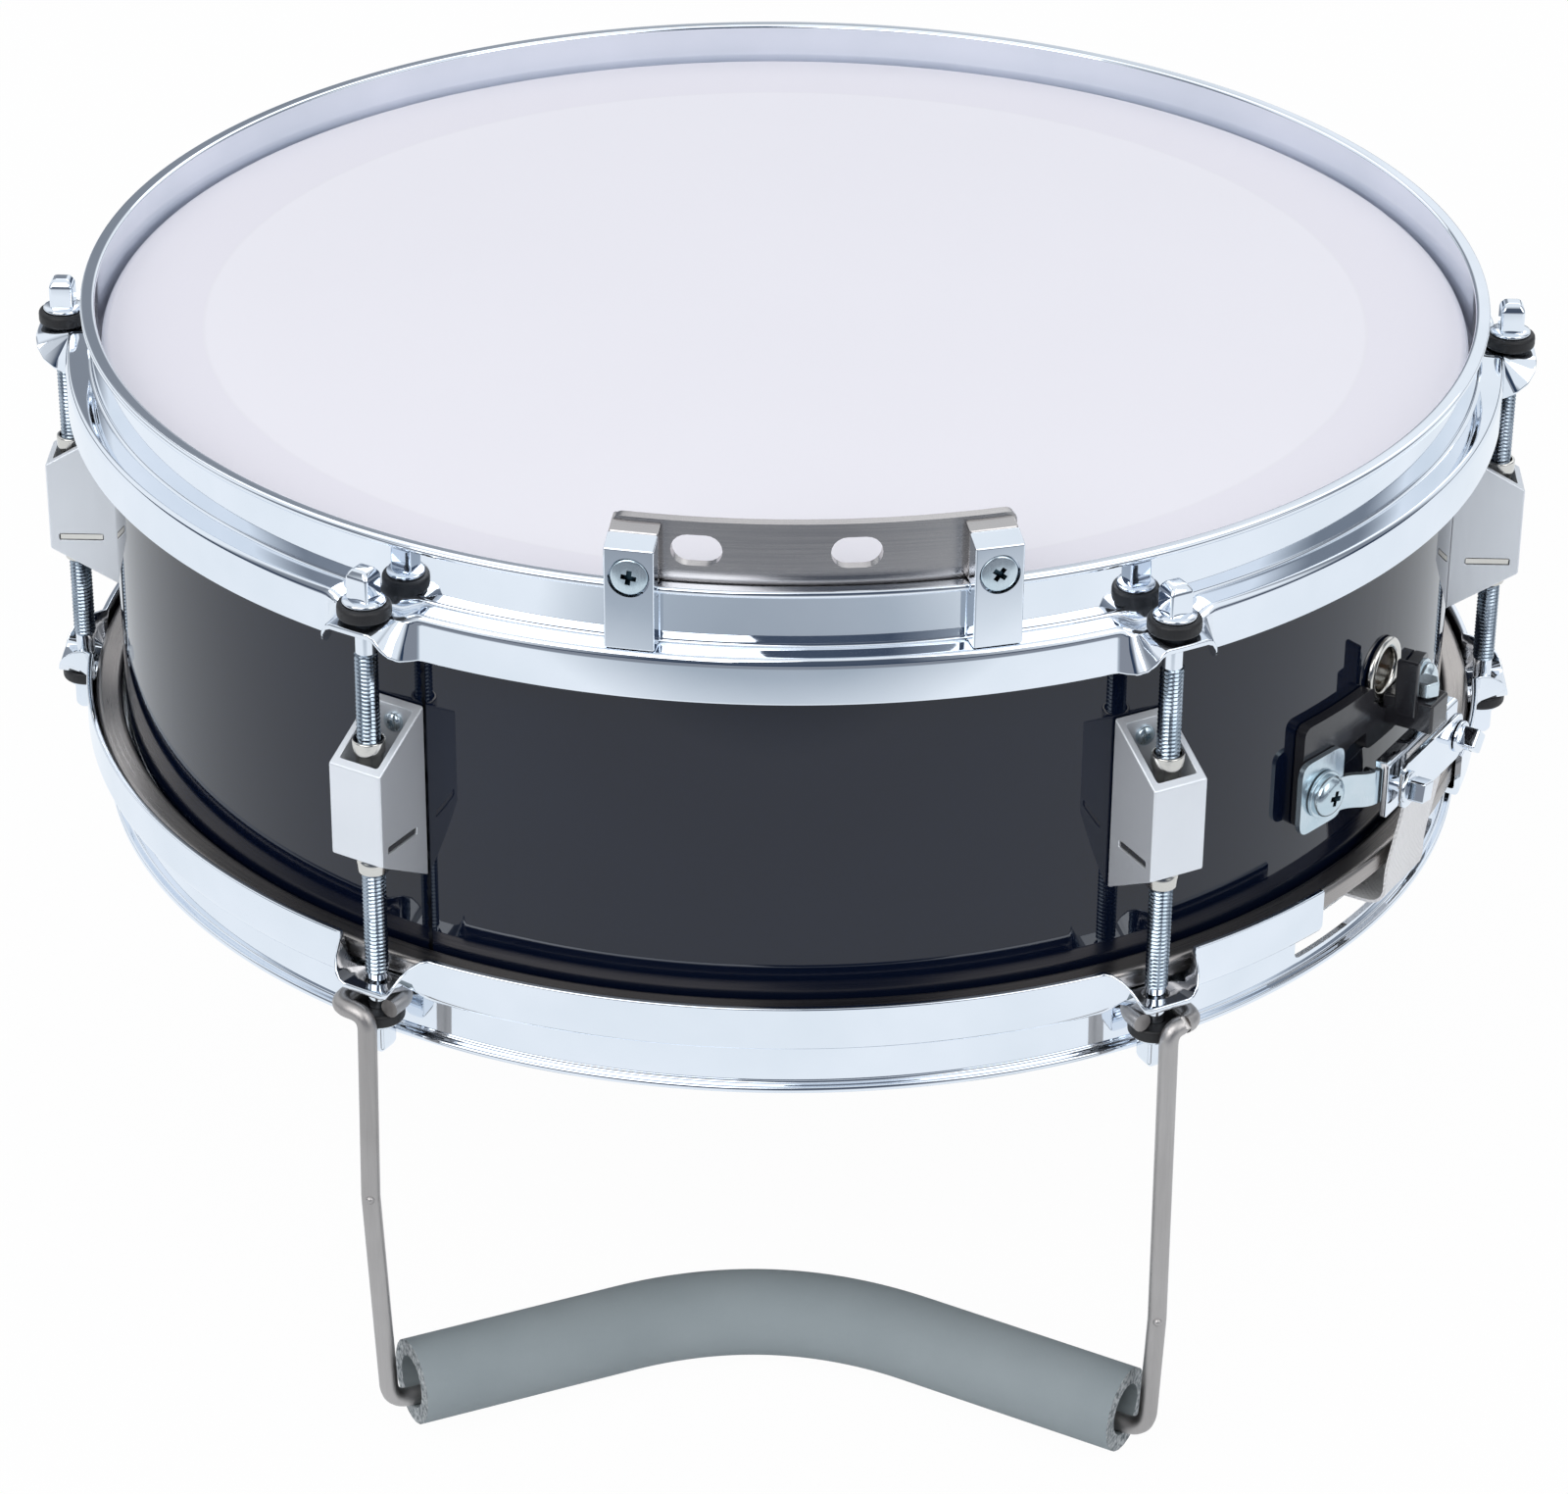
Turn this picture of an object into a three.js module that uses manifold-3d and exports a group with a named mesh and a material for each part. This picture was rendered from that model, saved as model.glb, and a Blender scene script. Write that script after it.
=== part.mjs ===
// Marching snare drum: a wrapped wooden shell, two heads under flanged steel hoops, six tube lugs,
// twelve tension rods, a hook plate, a wire knee rest, and a snare with a butt and a throw-off.
// Lengths are in millimetres. The origin is the middle of the batter head's top face, +Z is up
// and -Y points at the player. A bearing is an angle about +Z, 0 at -Y and 90 degrees at +X.

import * as THREE from 'three';
import { mergeVertices } from 'three/addons/utils/BufferGeometryUtils.js';
import Module from 'manifold-3d';

const wasm = await Module();
wasm.setup();

// Shared fits
const SEAT_GAP = 0.3;
const RUNNING_GAP = 0.4;
const CUT_OVERRUN = 2;

// Shell
const SHELL_RADIUS = 178.3;
const SHELL_WALL = 7;
const SHELL_DEPTH = 116;
const EDGE_LAND = 0.9;
const EDGE_ROUND = 1.1;

// Heads and their flesh hoops
const FILM = 0.4;
const COLLAR_SLOPE = 0.35;
const BEAD_DEPTH = 2.1;
const BEAD_REACH = 1.2;
const FLESH_HOOP_HEIGHT = 5.3;
const FLESH_HOOP_REACH = 8.1;
const FLESH_HOOP_CLEARANCE = 1;
const FLESH_HOOP_ROUND = 1.3;

// Steel hoops
const HOOP_STEEL = 1.6;
const HOOP_CLEARANCE = 1.9;
const LIP_HEIGHT = 10;
const LIP_REACH = 3.8;
const LIP_THICKNESS = 1.8;
const LIP_ROUND = 0.6;
const WALL_DROP = 15.2;
const SKIRT_CLEARANCE = 0.7;
const SKIRT_HEIGHT = 12;

// Hoop ears, folded out of the skirt
const EAR_FOLD_DEGREES = 86;
const EAR_DROP = 2.4;
const EAR_ROOT = 2.2;
const EAR_REACH = 10.6;
const EAR_FLAT_WIDTH = 11;
const EAR_WIDTH = 27.6;
const EAR_HOLE_CLEARANCE = 0.5;

// Tension rods
const ROD_STANDOFF = 12.7;
const THREAD_RADIUS = 3;
const SHANK_RADIUS = 2.5;
const SHANK_LENGTH = 9.7;
const ROD_END_GAP = 2.9;
const WASHER_RADIUS = 6.6;
const WASHER_THICKNESS = 3.6;
const ROD_FLANGE_RADIUS = 5.3;
const ROD_FLANGE_THICKNESS = 1.1;
const ROD_HEAD_WIDTH = 6.3;
const ROD_HEAD_HEIGHT = 7.9;
const ROD_HEAD_DOME = 1.6;

// Lugs and the sleeve nuts inside them
const LUG_WIDTH = 15;
const LUG_DEPTH = 18.9;
const LUG_WALL = 1.9;
const LUG_FRONT_HEIGHT = 24.8;
const LUG_REAR_HEIGHT = 47;
const LUG_SLOT_DROP = 8.9;
const LUG_SLOT_HEIGHT = 2;
const LUG_SLOT_LENGTH = 12;
const LUG_SLOT_SHIFT = 2.1;
const SLEEVE_RADIUS = 4;
const SLEEVE_CUP_RADIUS = 4.1;
const SLEEVE_CUP_HEIGHT = 3;
const SLEEVE_LENGTH = 36.6;
const SLEEVE_BORE_RADIUS = 3.4;

// Vent eyelet
const VENT_BEARING = 59.2;
const VENT_RISE = 2.5;
const VENT_HOLE_RADIUS = 6.4;
const EYELET_RADIUS = 8.9;
const EYELET_BORE_RADIUS = 5.7;
const EYELET_FLANGE = 1.6;

// Hook plate and its rim clamps
const HOOK_PLATE_INSET = 0.8;
const HOOK_PLATE_THICKNESS = 2.8;
const HOOK_PLATE_TOP = 25.3;
const HOOK_PLATE_BOTTOM = 2;
const HOOK_PLATE_LEFT_REACH = 36.6;
const HOOK_PLATE_RIGHT_REACH = 58.6;
const HOOK_SLOT_LENGTH = 12.2;
const HOOK_SLOT_HEIGHT = 7.9;
const HOOK_SLOT_LEVEL = 17.9;
const HOOK_SLOT_PLACES = [-16.6, 20.7];
const JAW_PLACES = [-30.7, 52];
const JAW_NAMES = ['left', 'right'];
const JAW_WIDTH = 12;
const JAW_DEPTH = 5.9;
const JAW_TOP_DROP = 2.3;
const JAW_FRONT_DROP = 4.3;
const JAW_OVERLAP = 0.8;
const JAW_SCREW_LEVEL = 13.8;
const JAW_SCREW_HEAD_RADIUS = 4.6;
const JAW_SCREW_HEAD_HEIGHT = 2.4;
const JAW_SCREW_RADIUS = 2.4;

// Snare clamps, the same at the butt and at the throw-off
const BUTT_BEARING = 60;
const THROWOFF_BEARING = 240;
const FRAME_WALL = 3;
const FRAME_RISE = 0.2;
const FRAME_BEAM = 12;
const FRAME_LEG = 29;
const FRAME_WIDTH = 85;
const FRAME_OPENING_WIDTH = 54.6;
const FRAME_OPENING_CORNER = 10;
const FRAME_CORNER = 3;
const MOUNT_SPACING = 73;
const MOUNT_DROP = 19.5;
const MOUNT_SCREW_RADIUS = 2.4;
const MOUNT_SCREW_HEAD_RADIUS = 5.5;
const MOUNT_SCREW_HEAD_HEIGHT = 3;
const PAN_HEAD_SHARE = 0.7;
const MOUNT_WASHER_RADIUS = 6.3;
const MOUNT_WASHER_THICKNESS = 1;
const CLAMP_STANDOFF = 12.1;
const CLAMP_DROP = 15.7;
const CLAMP_BAR_WIDTH = 41;
const CLAMP_BAR_HEIGHT = 15.5;
const CLAMP_BAR_WALL = 2;
const CLAMP_BAR_DEPTH = 4;
const CLAMP_PLATE_WIDTH = 35;
const CLAMP_PLATE_HEIGHT = 13;
const CLAMP_PLATE_THICKNESS = 1.6;
const CLAMP_PLATE_CORNER = 2.5;
const CLAMP_SCREW_SPACING = 31;
const CLAMP_SCREW_DROP = 7.8;
const CLAMP_SCREW_RADIUS = 2;
const CLAMP_SCREW_COLLAR_RADIUS = 4.2;
const CLAMP_SCREW_COLLAR = 1.2;
const CLAMP_SCREW_HEAD_WIDTH = 5.4;
const CLAMP_SCREW_HEAD_LENGTH = 4.4;
const CLAMP_SCREW_TAIL = 9;

// Butt: a casting that steps down past the vent, an arm that hangs on its left mounting screw and
// carries the clamp, and the adjusting bolt above the arm
const BUTT_STEP_REACH = 12;
const BUTT_END_REACH = 23;
const BUTT_MOUNT_REACH = 16;
const BRIDGE_THICKNESS = 1.5;
const BRIDGE_HEIGHT = 9.4;
const BRIDGE_PAD_WIDTH = 17;
const BRIDGE_PAD_HEIGHT = 20;
const BRIDGE_RISE = 0.7;
const BRIDGE_PAD_RISE = 0.5;
const BRIDGE_PAD_CORNER = 4;
const BRIDGE_OVERHANG = 2;
const BRIDGE_END_MARGIN = 3.5;
const BOSS_WIDTH = 9.6;
const BOSS_HEIGHT = 8.5;
const BOSS_DROP = 5.4;
const BOSS_REACH = 12.6;
const BOLT_RADIUS = 2;
const BOLT_STANDOFF = 11.7;
const BOLT_HEAD_WIDTH = 6;
const BOLT_HEAD_HEIGHT = 4.2;
const BOLT_TAIL_GAP = 0.4;
const FIN_WIDTH = 6;
const FIN_HEIGHT = 11;
const FIN_THICKNESS = 1.8;

// Throw-off: cheeks, bail lever, tension knob and the carriage that slides down
const CHEEK_SPACING = 26.6;
const CHEEK_THICKNESS = 3;
const CHEEK_HEIGHT = 12;
const CHEEK_LOW_SHARE = 2 / 3;
const PIVOT_RADIUS = 2;
const PIVOT_STANDOFF = 15.2;
const PIVOT_DROP = 7;
const LEVER_ARM_THICKNESS = 3;
const LEVER_ARM_WIDTH = 7;
const LEVER_LENGTH = 32;
const LEVER_GRIP_HEIGHT = 10;
const LEVER_CORNER = 4;
const KNOB_STANDOFF = 8.3;
const KNOB_RADIUS = 7.4;
const KNOB_HEIGHT = 10;
const KNOB_NECK_RADIUS = 3.4;
const KNOB_SCREW_RADIUS = 2.4;
const KNOB_SCREW_LENGTH = 22;
const CARRIAGE_BLOCK_WIDTH = 13;
const CARRIAGE_BLOCK_DEPTH = 8;
const CARRIAGE_BLOCK_HEIGHT = 12;

// Snare straps, wires and the gates that they pass through
const STRAP_WIDTH = 22;
const STRAP_THICKNESS = 0.8;
const STRAP_TURN = 5;
const STRAP_INSET = 27.3;
const SNARE_GAP = 0.5;
const SNARE_WIRE_RADIUS = 0.9;
const SNARE_WIRE_COUNT = 12;
const SNARE_WIRE_PITCH = 3.2;
const SNARE_PLATE_INSET = 18.3;
const SNARE_PLATE_LENGTH = 20;
const SNARE_PLATE_THICKNESS = 1;
const SNARE_PLATE_MARGIN = 2;
const GATE_WIDTH = 82;
const GATE_LIP = 4.7;

// Knee rest
const KNEE_WIRE_RADIUS = 2.4;
const HOOK_LOOP_RADIUS = 6.2;
const HOOK_TAIL = 4;
const LEG_STANDOFF = 9.2;
const LEFT_LEG_SHIFT = 3.2;
const RIGHT_LEG_SHIFT = 1.7;
const LEG_BEND_RADIUS = 4.4;
const KNEE_RADIUS = 12;
const THIGH_CORNER_RADIUS = 4;
const THIGH_APEX_DEPTH = 86.7;
const THIGH_LEFT_DEPTH = 111.9;
const THIGH_RIGHT_DEPTH = 117.9;
const LEFT_KNEE_DEPTH = 53;
const RIGHT_KNEE_DEPTH = 85.8;
const LEG_TAPER = 3;
const FOAM_RADIUS = 11;
const FOAM_BORE_RADIUS = 6;
const FOAM_GAP = 1;
const FOAM_END_SHARE = 0.038;

// Facets
const RING_SEGMENTS = 48;
const SMALL_SIDES = 10;
const TINY_SIDES = 8;
const HEXAGON_SIDES = 6;
const SQUARE_SIDES = 4;
const SNARE_WIRE_SIDES = 4;
const EYELET_SIDES = 16;
const KNOB_SIDES = 16;
const ARCH_SIDES = 12;
const HOOP_PLAIN_STEPS = 7;
const ARC_STEP_DEGREES = 5;
const BEND_STEPS = 3;
const LOOP_STEPS = 8;
const THIGH_STEPS = 14;

// Lug places, clockwise from the player's left
const LUG_BEARINGS = [-30, 30, 90, 150, 210, 270];
const LUG_NAMES = ['front_left', 'front_right', 'right', 'rear_right', 'rear_left', 'left'];
const KNEE_REST_LUGS = [0, 1];

// Levels and radii worked out from the sizes above
const SHELL_TOP = -FILM - SEAT_GAP;
const SHELL_BOTTOM = SHELL_TOP - SHELL_DEPTH;
const MID_LEVEL = (SHELL_TOP + SHELL_BOTTOM) / 2;
const SNARE_FACE = 2 * MID_LEVEL;
const HOOP_INNER = SHELL_RADIUS + HOOP_CLEARANCE;
const ROD_CIRCLE_RADIUS = SHELL_RADIUS + ROD_STANDOFF;
const HOOK_PLATE_RADIUS = HOOP_INNER - HOOK_PLATE_INSET;
const CLAMP_RADIUS = SHELL_RADIUS + CLAMP_STANDOFF;
const STRAP_INNER_END = SHELL_RADIUS - STRAP_INSET;
const SNARE_PLATE_OUTER = SHELL_RADIUS - SNARE_PLATE_INSET;
const SNARE_PLATE_INNER = SNARE_PLATE_OUTER - SNARE_PLATE_LENGTH;
const BRIDGE_SHOULDER = CLAMP_BAR_WIDTH / 2 + BRIDGE_OVERHANG;
const HOOP_OUTER = HOOP_INNER + HOOP_STEEL;
const LIP_OUTER = HOOP_INNER + LIP_REACH;
const FLANGE_LEVEL = LIP_HEIGHT - WALL_DROP;
const FLANGE_UNDERSIDE = FLANGE_LEVEL - HOOP_STEEL;
const FLESH_HOOP_INNER = SHELL_RADIUS + FLESH_HOOP_CLEARANCE;
const FLESH_HOOP_OUTER = FLESH_HOOP_INNER + FLESH_HOOP_REACH - FLESH_HOOP_CLEARANCE;
const BEAD_TOP = FLANGE_UNDERSIDE - SEAT_GAP;
const FLESH_HOOP_TOP = BEAD_TOP - EAR_DROP;
const SKIRT_INNER = FLESH_HOOP_OUTER + SKIRT_CLEARANCE;
const SKIRT_LENGTH = SKIRT_HEIGHT - HOOP_STEEL;
const EAR_HOLE_RADIUS = THREAD_RADIUS + EAR_HOLE_CLEARANCE;
const EAR_LEVEL = FLANGE_LEVEL - EAR_DROP;
const WASHER_SEAT = EAR_LEVEL + SEAT_GAP;
const ROD_LENGTH = WASHER_SEAT - MID_LEVEL - ROD_END_GAP;
const HOOK_LIFT = 2 * KNEE_WIRE_RADIUS + SEAT_GAP;
const LUG_BACK = SHELL_RADIUS + SEAT_GAP;
const FRAME_INNER = SHELL_RADIUS + SEAT_GAP;
const FRAME_OUTER = FRAME_INNER + FRAME_WALL;
const VENT_LEVEL = MID_LEVEL + VENT_RISE;
const FRAME_TOP = VENT_LEVEL + FRAME_RISE;
const MOUNT_LEVEL = FRAME_TOP - MOUNT_DROP;
const CLAMP_TOP = FRAME_TOP - CLAMP_DROP;
const CLAMP_SCREW_LEVEL = CLAMP_TOP - CLAMP_SCREW_DROP;
const STRAP_OUTER_FACE = CLAMP_RADIUS + SEAT_GAP + STRAP_THICKNESS;
const CLAMP_PLATE_FACE = STRAP_OUTER_FACE + SEAT_GAP + CLAMP_PLATE_THICKNESS;
const STRAP_LEVEL = SNARE_FACE - SNARE_GAP - SEAT_GAP;
const BOSS_TOP = FRAME_TOP - BOSS_DROP;
const JAW_SEAM = HOOP_OUTER + JAW_OVERLAP;
const JAW_FRONT = HOOP_OUTER + SEAT_GAP + JAW_DEPTH;
const BUTT_MOUNT_LEVEL = BOSS_TOP - FRAME_BEAM / 2;
const PIVOT_OUT = SHELL_RADIUS + PIVOT_STANDOFF;
const PIVOT_LEVEL = FRAME_TOP - PIVOT_DROP;

// Angles that lengths take up around the drum
const FRAME_HALF_ANGLE = angleAlong(FRAME_WIDTH / 2, FRAME_OUTER);
const FRAME_OPENING_HALF_ANGLE = angleAlong(FRAME_OPENING_WIDTH / 2, FRAME_OUTER);
const MOUNT_HALF_ANGLE = angleAlong(MOUNT_SPACING / 2, FRAME_OUTER);
const BUTT_MOUNT_ANGLE = angleAlong(BUTT_MOUNT_REACH, FRAME_OUTER);
const GATE_HALF_ANGLE = angleAlong(GATE_WIDTH / 2, HOOP_INNER);
const HOOK_SLOT_BEARINGS = HOOK_SLOT_PLACES.map((along) => angleAlong(along, HOOK_PLATE_RADIUS));
const JAW_BEARINGS = JAW_PLACES.map((along) => angleAlong(along, HOOK_PLATE_RADIUS));

// Mounting screws of each clamp: turn about the drum from the clamp's middle, level and seat
const BUTT_MOUNTS = [
  { turn: -MOUNT_HALF_ANGLE, level: MOUNT_LEVEL, seat: FRAME_OUTER + SEAT_GAP + BRIDGE_THICKNESS },
  { turn: BUTT_MOUNT_ANGLE, level: BUTT_MOUNT_LEVEL, seat: FRAME_OUTER },
];
const THROWOFF_MOUNTS = [
  { turn: -MOUNT_HALF_ANGLE, level: MOUNT_LEVEL, seat: FRAME_OUTER },
  { turn: MOUNT_HALF_ANGLE, level: MOUNT_LEVEL, seat: FRAME_OUTER },
];

const FINISHES = {
  gloss_black_wrap: { color: 0x0b0b0d, roughness: 0.08, metalness: 0 },
  coated_film: { color: 0xf1eff2, roughness: 0.75, metalness: 0 },
  clear_film: { color: 0xe4e6e8, roughness: 0.3, metalness: 0 },
  brushed_alloy: { color: 0xa9a39c, roughness: 0.4, metalness: 0.9 },
  chrome: { color: 0xe8ebee, roughness: 0.05, metalness: 1 },
  satin_alloy: { color: 0xb4b8bd, roughness: 0.45, metalness: 0.8 },
  nickel: { color: 0xc9c6bd, roughness: 0.25, metalness: 1 },
  zinc: { color: 0xb9c4c8, roughness: 0.3, metalness: 0.9 },
  black_casting: { color: 0x17171a, roughness: 0.4, metalness: 0.2 },
  strap_white: { color: 0xece9df, roughness: 0.6, metalness: 0 },
  stainless: { color: 0x9c9a98, roughness: 0.35, metalness: 0.9 },
  grey_foam: { color: 0x8b979e, roughness: 0.95, metalness: 0 },
};

const toRadians = THREE.MathUtils.degToRad;

// Degrees about the drum's axis that a length takes up along an arc
function angleAlong(length, radius) {
  return THREE.MathUtils.radToDeg(length / radius);
}

// A geometry with shared corners and no collapsed triangles
function welded(geometry) {
  const bare = new THREE.BufferGeometry();
  bare.setAttribute('position', geometry.getAttribute('position').clone());
  if (geometry.index) bare.setIndex(geometry.index.clone());
  const merged = mergeVertices(bare);
  const corners = merged.index.array;
  const kept = [];
  for (let i = 0; i < corners.length; i += 3) {
    const [a, b, c] = [corners[i], corners[i + 1], corners[i + 2]];
    if (a !== b && b !== c && c !== a) kept.push(a, b, c);
  }
  merged.setIndex(kept);
  return merged;
}

function toSolid(geometry) {
  const clean = welded(geometry);
  return new wasm.Manifold(new wasm.Mesh({
    numProp: 3,
    vertProperties: new Float32Array(clean.getAttribute('position').array),
    triVerts: new Uint32Array(clean.index.array),
  }));
}

function toGeometry(solid) {
  const result = solid.getMesh();
  const geometry = new THREE.BufferGeometry();
  geometry.setAttribute('position', new THREE.BufferAttribute(result.vertProperties, result.numProp));
  geometry.setIndex(new THREE.BufferAttribute(result.triVerts, 1));
  return geometry;
}

function join(...geometries) {
  return toGeometry(geometries.map(toSolid).reduce((whole, next) => whole.add(next)));
}

function cut(geometry, ...cutters) {
  return toGeometry(cutters.map(toSolid).reduce((left, cutter) => left.subtract(cutter), toSolid(geometry)));
}

// Outlines are lists of [radius, level], turned about the drum's axis
function turned(outline, segments) {
  const points = outline.map(([radius, level]) => new THREE.Vector2(radius, level));
  return new THREE.LatheGeometry(points, segments).rotateX(Math.PI / 2);
}

function turnedRing(outline, segments = RING_SEGMENTS) {
  return turned([...outline, outline[0]], segments);
}

// Station frame: x runs along the rim, -y straight out of the shell, z up
function block(xLow, xHigh, outLow, outHigh, zLow, zHigh) {
  const box = new THREE.BoxGeometry(xHigh - xLow, outHigh - outLow, zHigh - zLow);
  return box.translate((xLow + xHigh) / 2, -(outLow + outHigh) / 2, (zLow + zHigh) / 2);
}

function outwardRod(radius, outLow, outHigh, x, z, sides = SMALL_SIDES) {
  const rod = new THREE.CylinderGeometry(radius, radius, outHigh - outLow, sides);
  return rod.translate(x, -(outLow + outHigh) / 2, z);
}

function uprightRod(radius, zLow, zHigh, x, out, sides = SMALL_SIDES) {
  const rod = new THREE.CylinderGeometry(radius, radius, zHigh - zLow, sides).rotateX(Math.PI / 2);
  return rod.translate(x, -out, (zLow + zHigh) / 2);
}

function sidewaysRod(radius, xLow, xHigh, out, z, sides = SMALL_SIDES) {
  const rod = new THREE.CylinderGeometry(radius, radius, xHigh - xLow, sides).rotateZ(Math.PI / 2);
  return rod.translate((xLow + xHigh) / 2, -out, z);
}

// A side outline, a list of [out, z], given a width along x
function sideProfile(outline, xLow, xHigh) {
  const shape = new THREE.Shape(outline.map(([out, z]) => new THREE.Vector2(out, z)));
  const plate = new THREE.ExtrudeGeometry(shape, { depth: xHigh - xLow, bevelEnabled: false });
  const across = new THREE.Vector3(-1, 0, 0);
  const outward = new THREE.Vector3(0, -1, 0);
  const up = new THREE.Vector3(0, 0, 1);
  plate.applyMatrix4(new THREE.Matrix4().makeBasis(outward, up, across));
  return plate.translate(xHigh, 0, 0);
}

// A plan outline, a list of [x, out], given a height
function planProfile(outline, zLow, zHigh) {
  const shape = new THREE.Shape(outline.map(([x, out]) => new THREE.Vector2(x, -out)));
  const plate = new THREE.ExtrudeGeometry(shape, { depth: zHigh - zLow, bevelEnabled: false });
  return plate.translate(0, 0, zLow);
}

// A face outline, a list of [x, z], given a reach outward
function faceProfile(outline, outLow, outHigh) {
  const shape = new THREE.Shape(outline.map(([x, level]) => new THREE.Vector2(x, level)));
  const plate = new THREE.ExtrudeGeometry(shape, { depth: outHigh - outLow, bevelEnabled: false });
  return plate.rotateX(Math.PI / 2).translate(0, -outLow, 0);
}

// A plate facing outward with its four corners cut
function facePlate(width, height, corner, outLow, outHigh, z) {
  const [w, h] = [width / 2, height / 2];
  return faceProfile([
    [-w, z - h + corner], [-w + corner, z - h], [w - corner, z - h], [w, z - h + corner],
    [w, z + h - corner], [w - corner, z + h], [-w + corner, z + h], [-w, z + h - corner],
  ], outLow, outHigh);
}

// Part of a ring between two bearings
function arcBand(inner, outer, startDegrees, endDegrees, zLow, zHigh) {
  const steps = Math.max(1, Math.round((endDegrees - startDegrees) / ARC_STEP_DEGREES));
  const bearings = Array.from({ length: steps + 1 },
    (_, i) => toRadians(startDegrees + (endDegrees - startDegrees) * i / steps));
  const arc = (radius) => bearings.map((angle) => [radius * Math.sin(angle), radius * Math.cos(angle)]);
  return planProfile([...arc(outer), ...arc(inner).reverse()], zLow, zHigh);
}

function swung(geometry, degrees) {
  return geometry.rotateZ(toRadians(degrees));
}

function piece(name, geometry, finish) {
  const mesh = new THREE.Mesh(welded(geometry), new THREE.MeshStandardMaterial(FINISHES[finish]));
  mesh.geometry.computeVertexNormals();
  mesh.name = name;
  return mesh;
}

function station(bearing, ...meshes) {
  const group = new THREE.Group();
  group.rotation.z = toRadians(bearing);
  group.add(...meshes);
  return group;
}

// Shell, bevelled to a bearing edge at both ends
function shellGeometry() {
  const inner = SHELL_RADIUS - SHELL_WALL;
  const landOuter = SHELL_RADIUS - EDGE_ROUND;
  const landInner = landOuter - EDGE_LAND;
  const bevel = landInner - inner;
  const tube = turnedRing([
    [inner, SHELL_BOTTOM + bevel],
    [landInner, SHELL_BOTTOM],
    [landOuter, SHELL_BOTTOM],
    [SHELL_RADIUS, SHELL_BOTTOM + EDGE_ROUND],
    [SHELL_RADIUS, SHELL_TOP - EDGE_ROUND],
    [landOuter, SHELL_TOP],
    [landInner, SHELL_TOP],
    [inner, SHELL_TOP - bevel],
  ]);
  const hole = (radius, bearing, level, sides) => swung(outwardRod(
    radius, inner - CUT_OVERRUN, SHELL_RADIUS + CUT_OVERRUN, 0, level, sides), bearing);
  const atMounts = (bearing, mounts) => mounts.map(({ turn, level }) => hole(
    MOUNT_SCREW_RADIUS + RUNNING_GAP, bearing + turn, level, TINY_SIDES));
  return cut(tube, hole(VENT_HOLE_RADIUS, VENT_BEARING, VENT_LEVEL, EYELET_SIDES),
    ...atMounts(BUTT_BEARING, BUTT_MOUNTS), ...atMounts(THROWOFF_BEARING, THROWOFF_MOUNTS));
}

function eyeletGeometry() {
  const flangeFace = SHELL_RADIUS + SEAT_GAP;
  const tubeRadius = VENT_HOLE_RADIUS - SEAT_GAP;
  const eyelet = turnedRing([
    [EYELET_BORE_RADIUS, SHELL_RADIUS - SHELL_WALL],
    [tubeRadius, SHELL_RADIUS - SHELL_WALL],
    [tubeRadius, flangeFace],
    [EYELET_RADIUS, flangeFace],
    [(EYELET_RADIUS + tubeRadius) / 2, flangeFace + EYELET_FLANGE],
    [EYELET_BORE_RADIUS, flangeFace],
  ], EYELET_SIDES);
  return eyelet.rotateX(Math.PI / 2).translate(0, 0, VENT_LEVEL);
}

// Everything at an end is drawn with level 0 at the head's outer face and +z out of the drum
function headGeometry() {
  const collarInner = SHELL_RADIUS + COLLAR_SLOPE;
  const collarFoot = collarInner + COLLAR_SLOPE;
  const beadOuter = collarFoot + FILM + BEAD_REACH;
  return turned([
    [0, -FILM],
    [SHELL_RADIUS - EDGE_ROUND + SEAT_GAP, -FILM],
    [collarInner, -FILM - EDGE_ROUND],
    [collarFoot, BEAD_TOP - BEAD_DEPTH],
    [beadOuter, BEAD_TOP - BEAD_DEPTH],
    [beadOuter, BEAD_TOP],
    [collarFoot + FILM, BEAD_TOP],
    [collarInner + FILM, -EDGE_ROUND],
    [SHELL_RADIUS - EDGE_ROUND + FILM, 0],
    [0, 0],
  ], RING_SEGMENTS);
}

function fleshHoopGeometry() {
  const foot = FLESH_HOOP_TOP - FLESH_HOOP_HEIGHT;
  return turnedRing([
    [FLESH_HOOP_INNER, foot + FLESH_HOOP_ROUND],
    [FLESH_HOOP_INNER + FLESH_HOOP_ROUND, foot],
    [FLESH_HOOP_OUTER - FLESH_HOOP_ROUND, foot],
    [FLESH_HOOP_OUTER, foot + FLESH_HOOP_ROUND],
    [FLESH_HOOP_OUTER, FLESH_HOOP_TOP],
    [FLESH_HOOP_INNER, FLESH_HOOP_TOP],
  ]);
}

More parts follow.
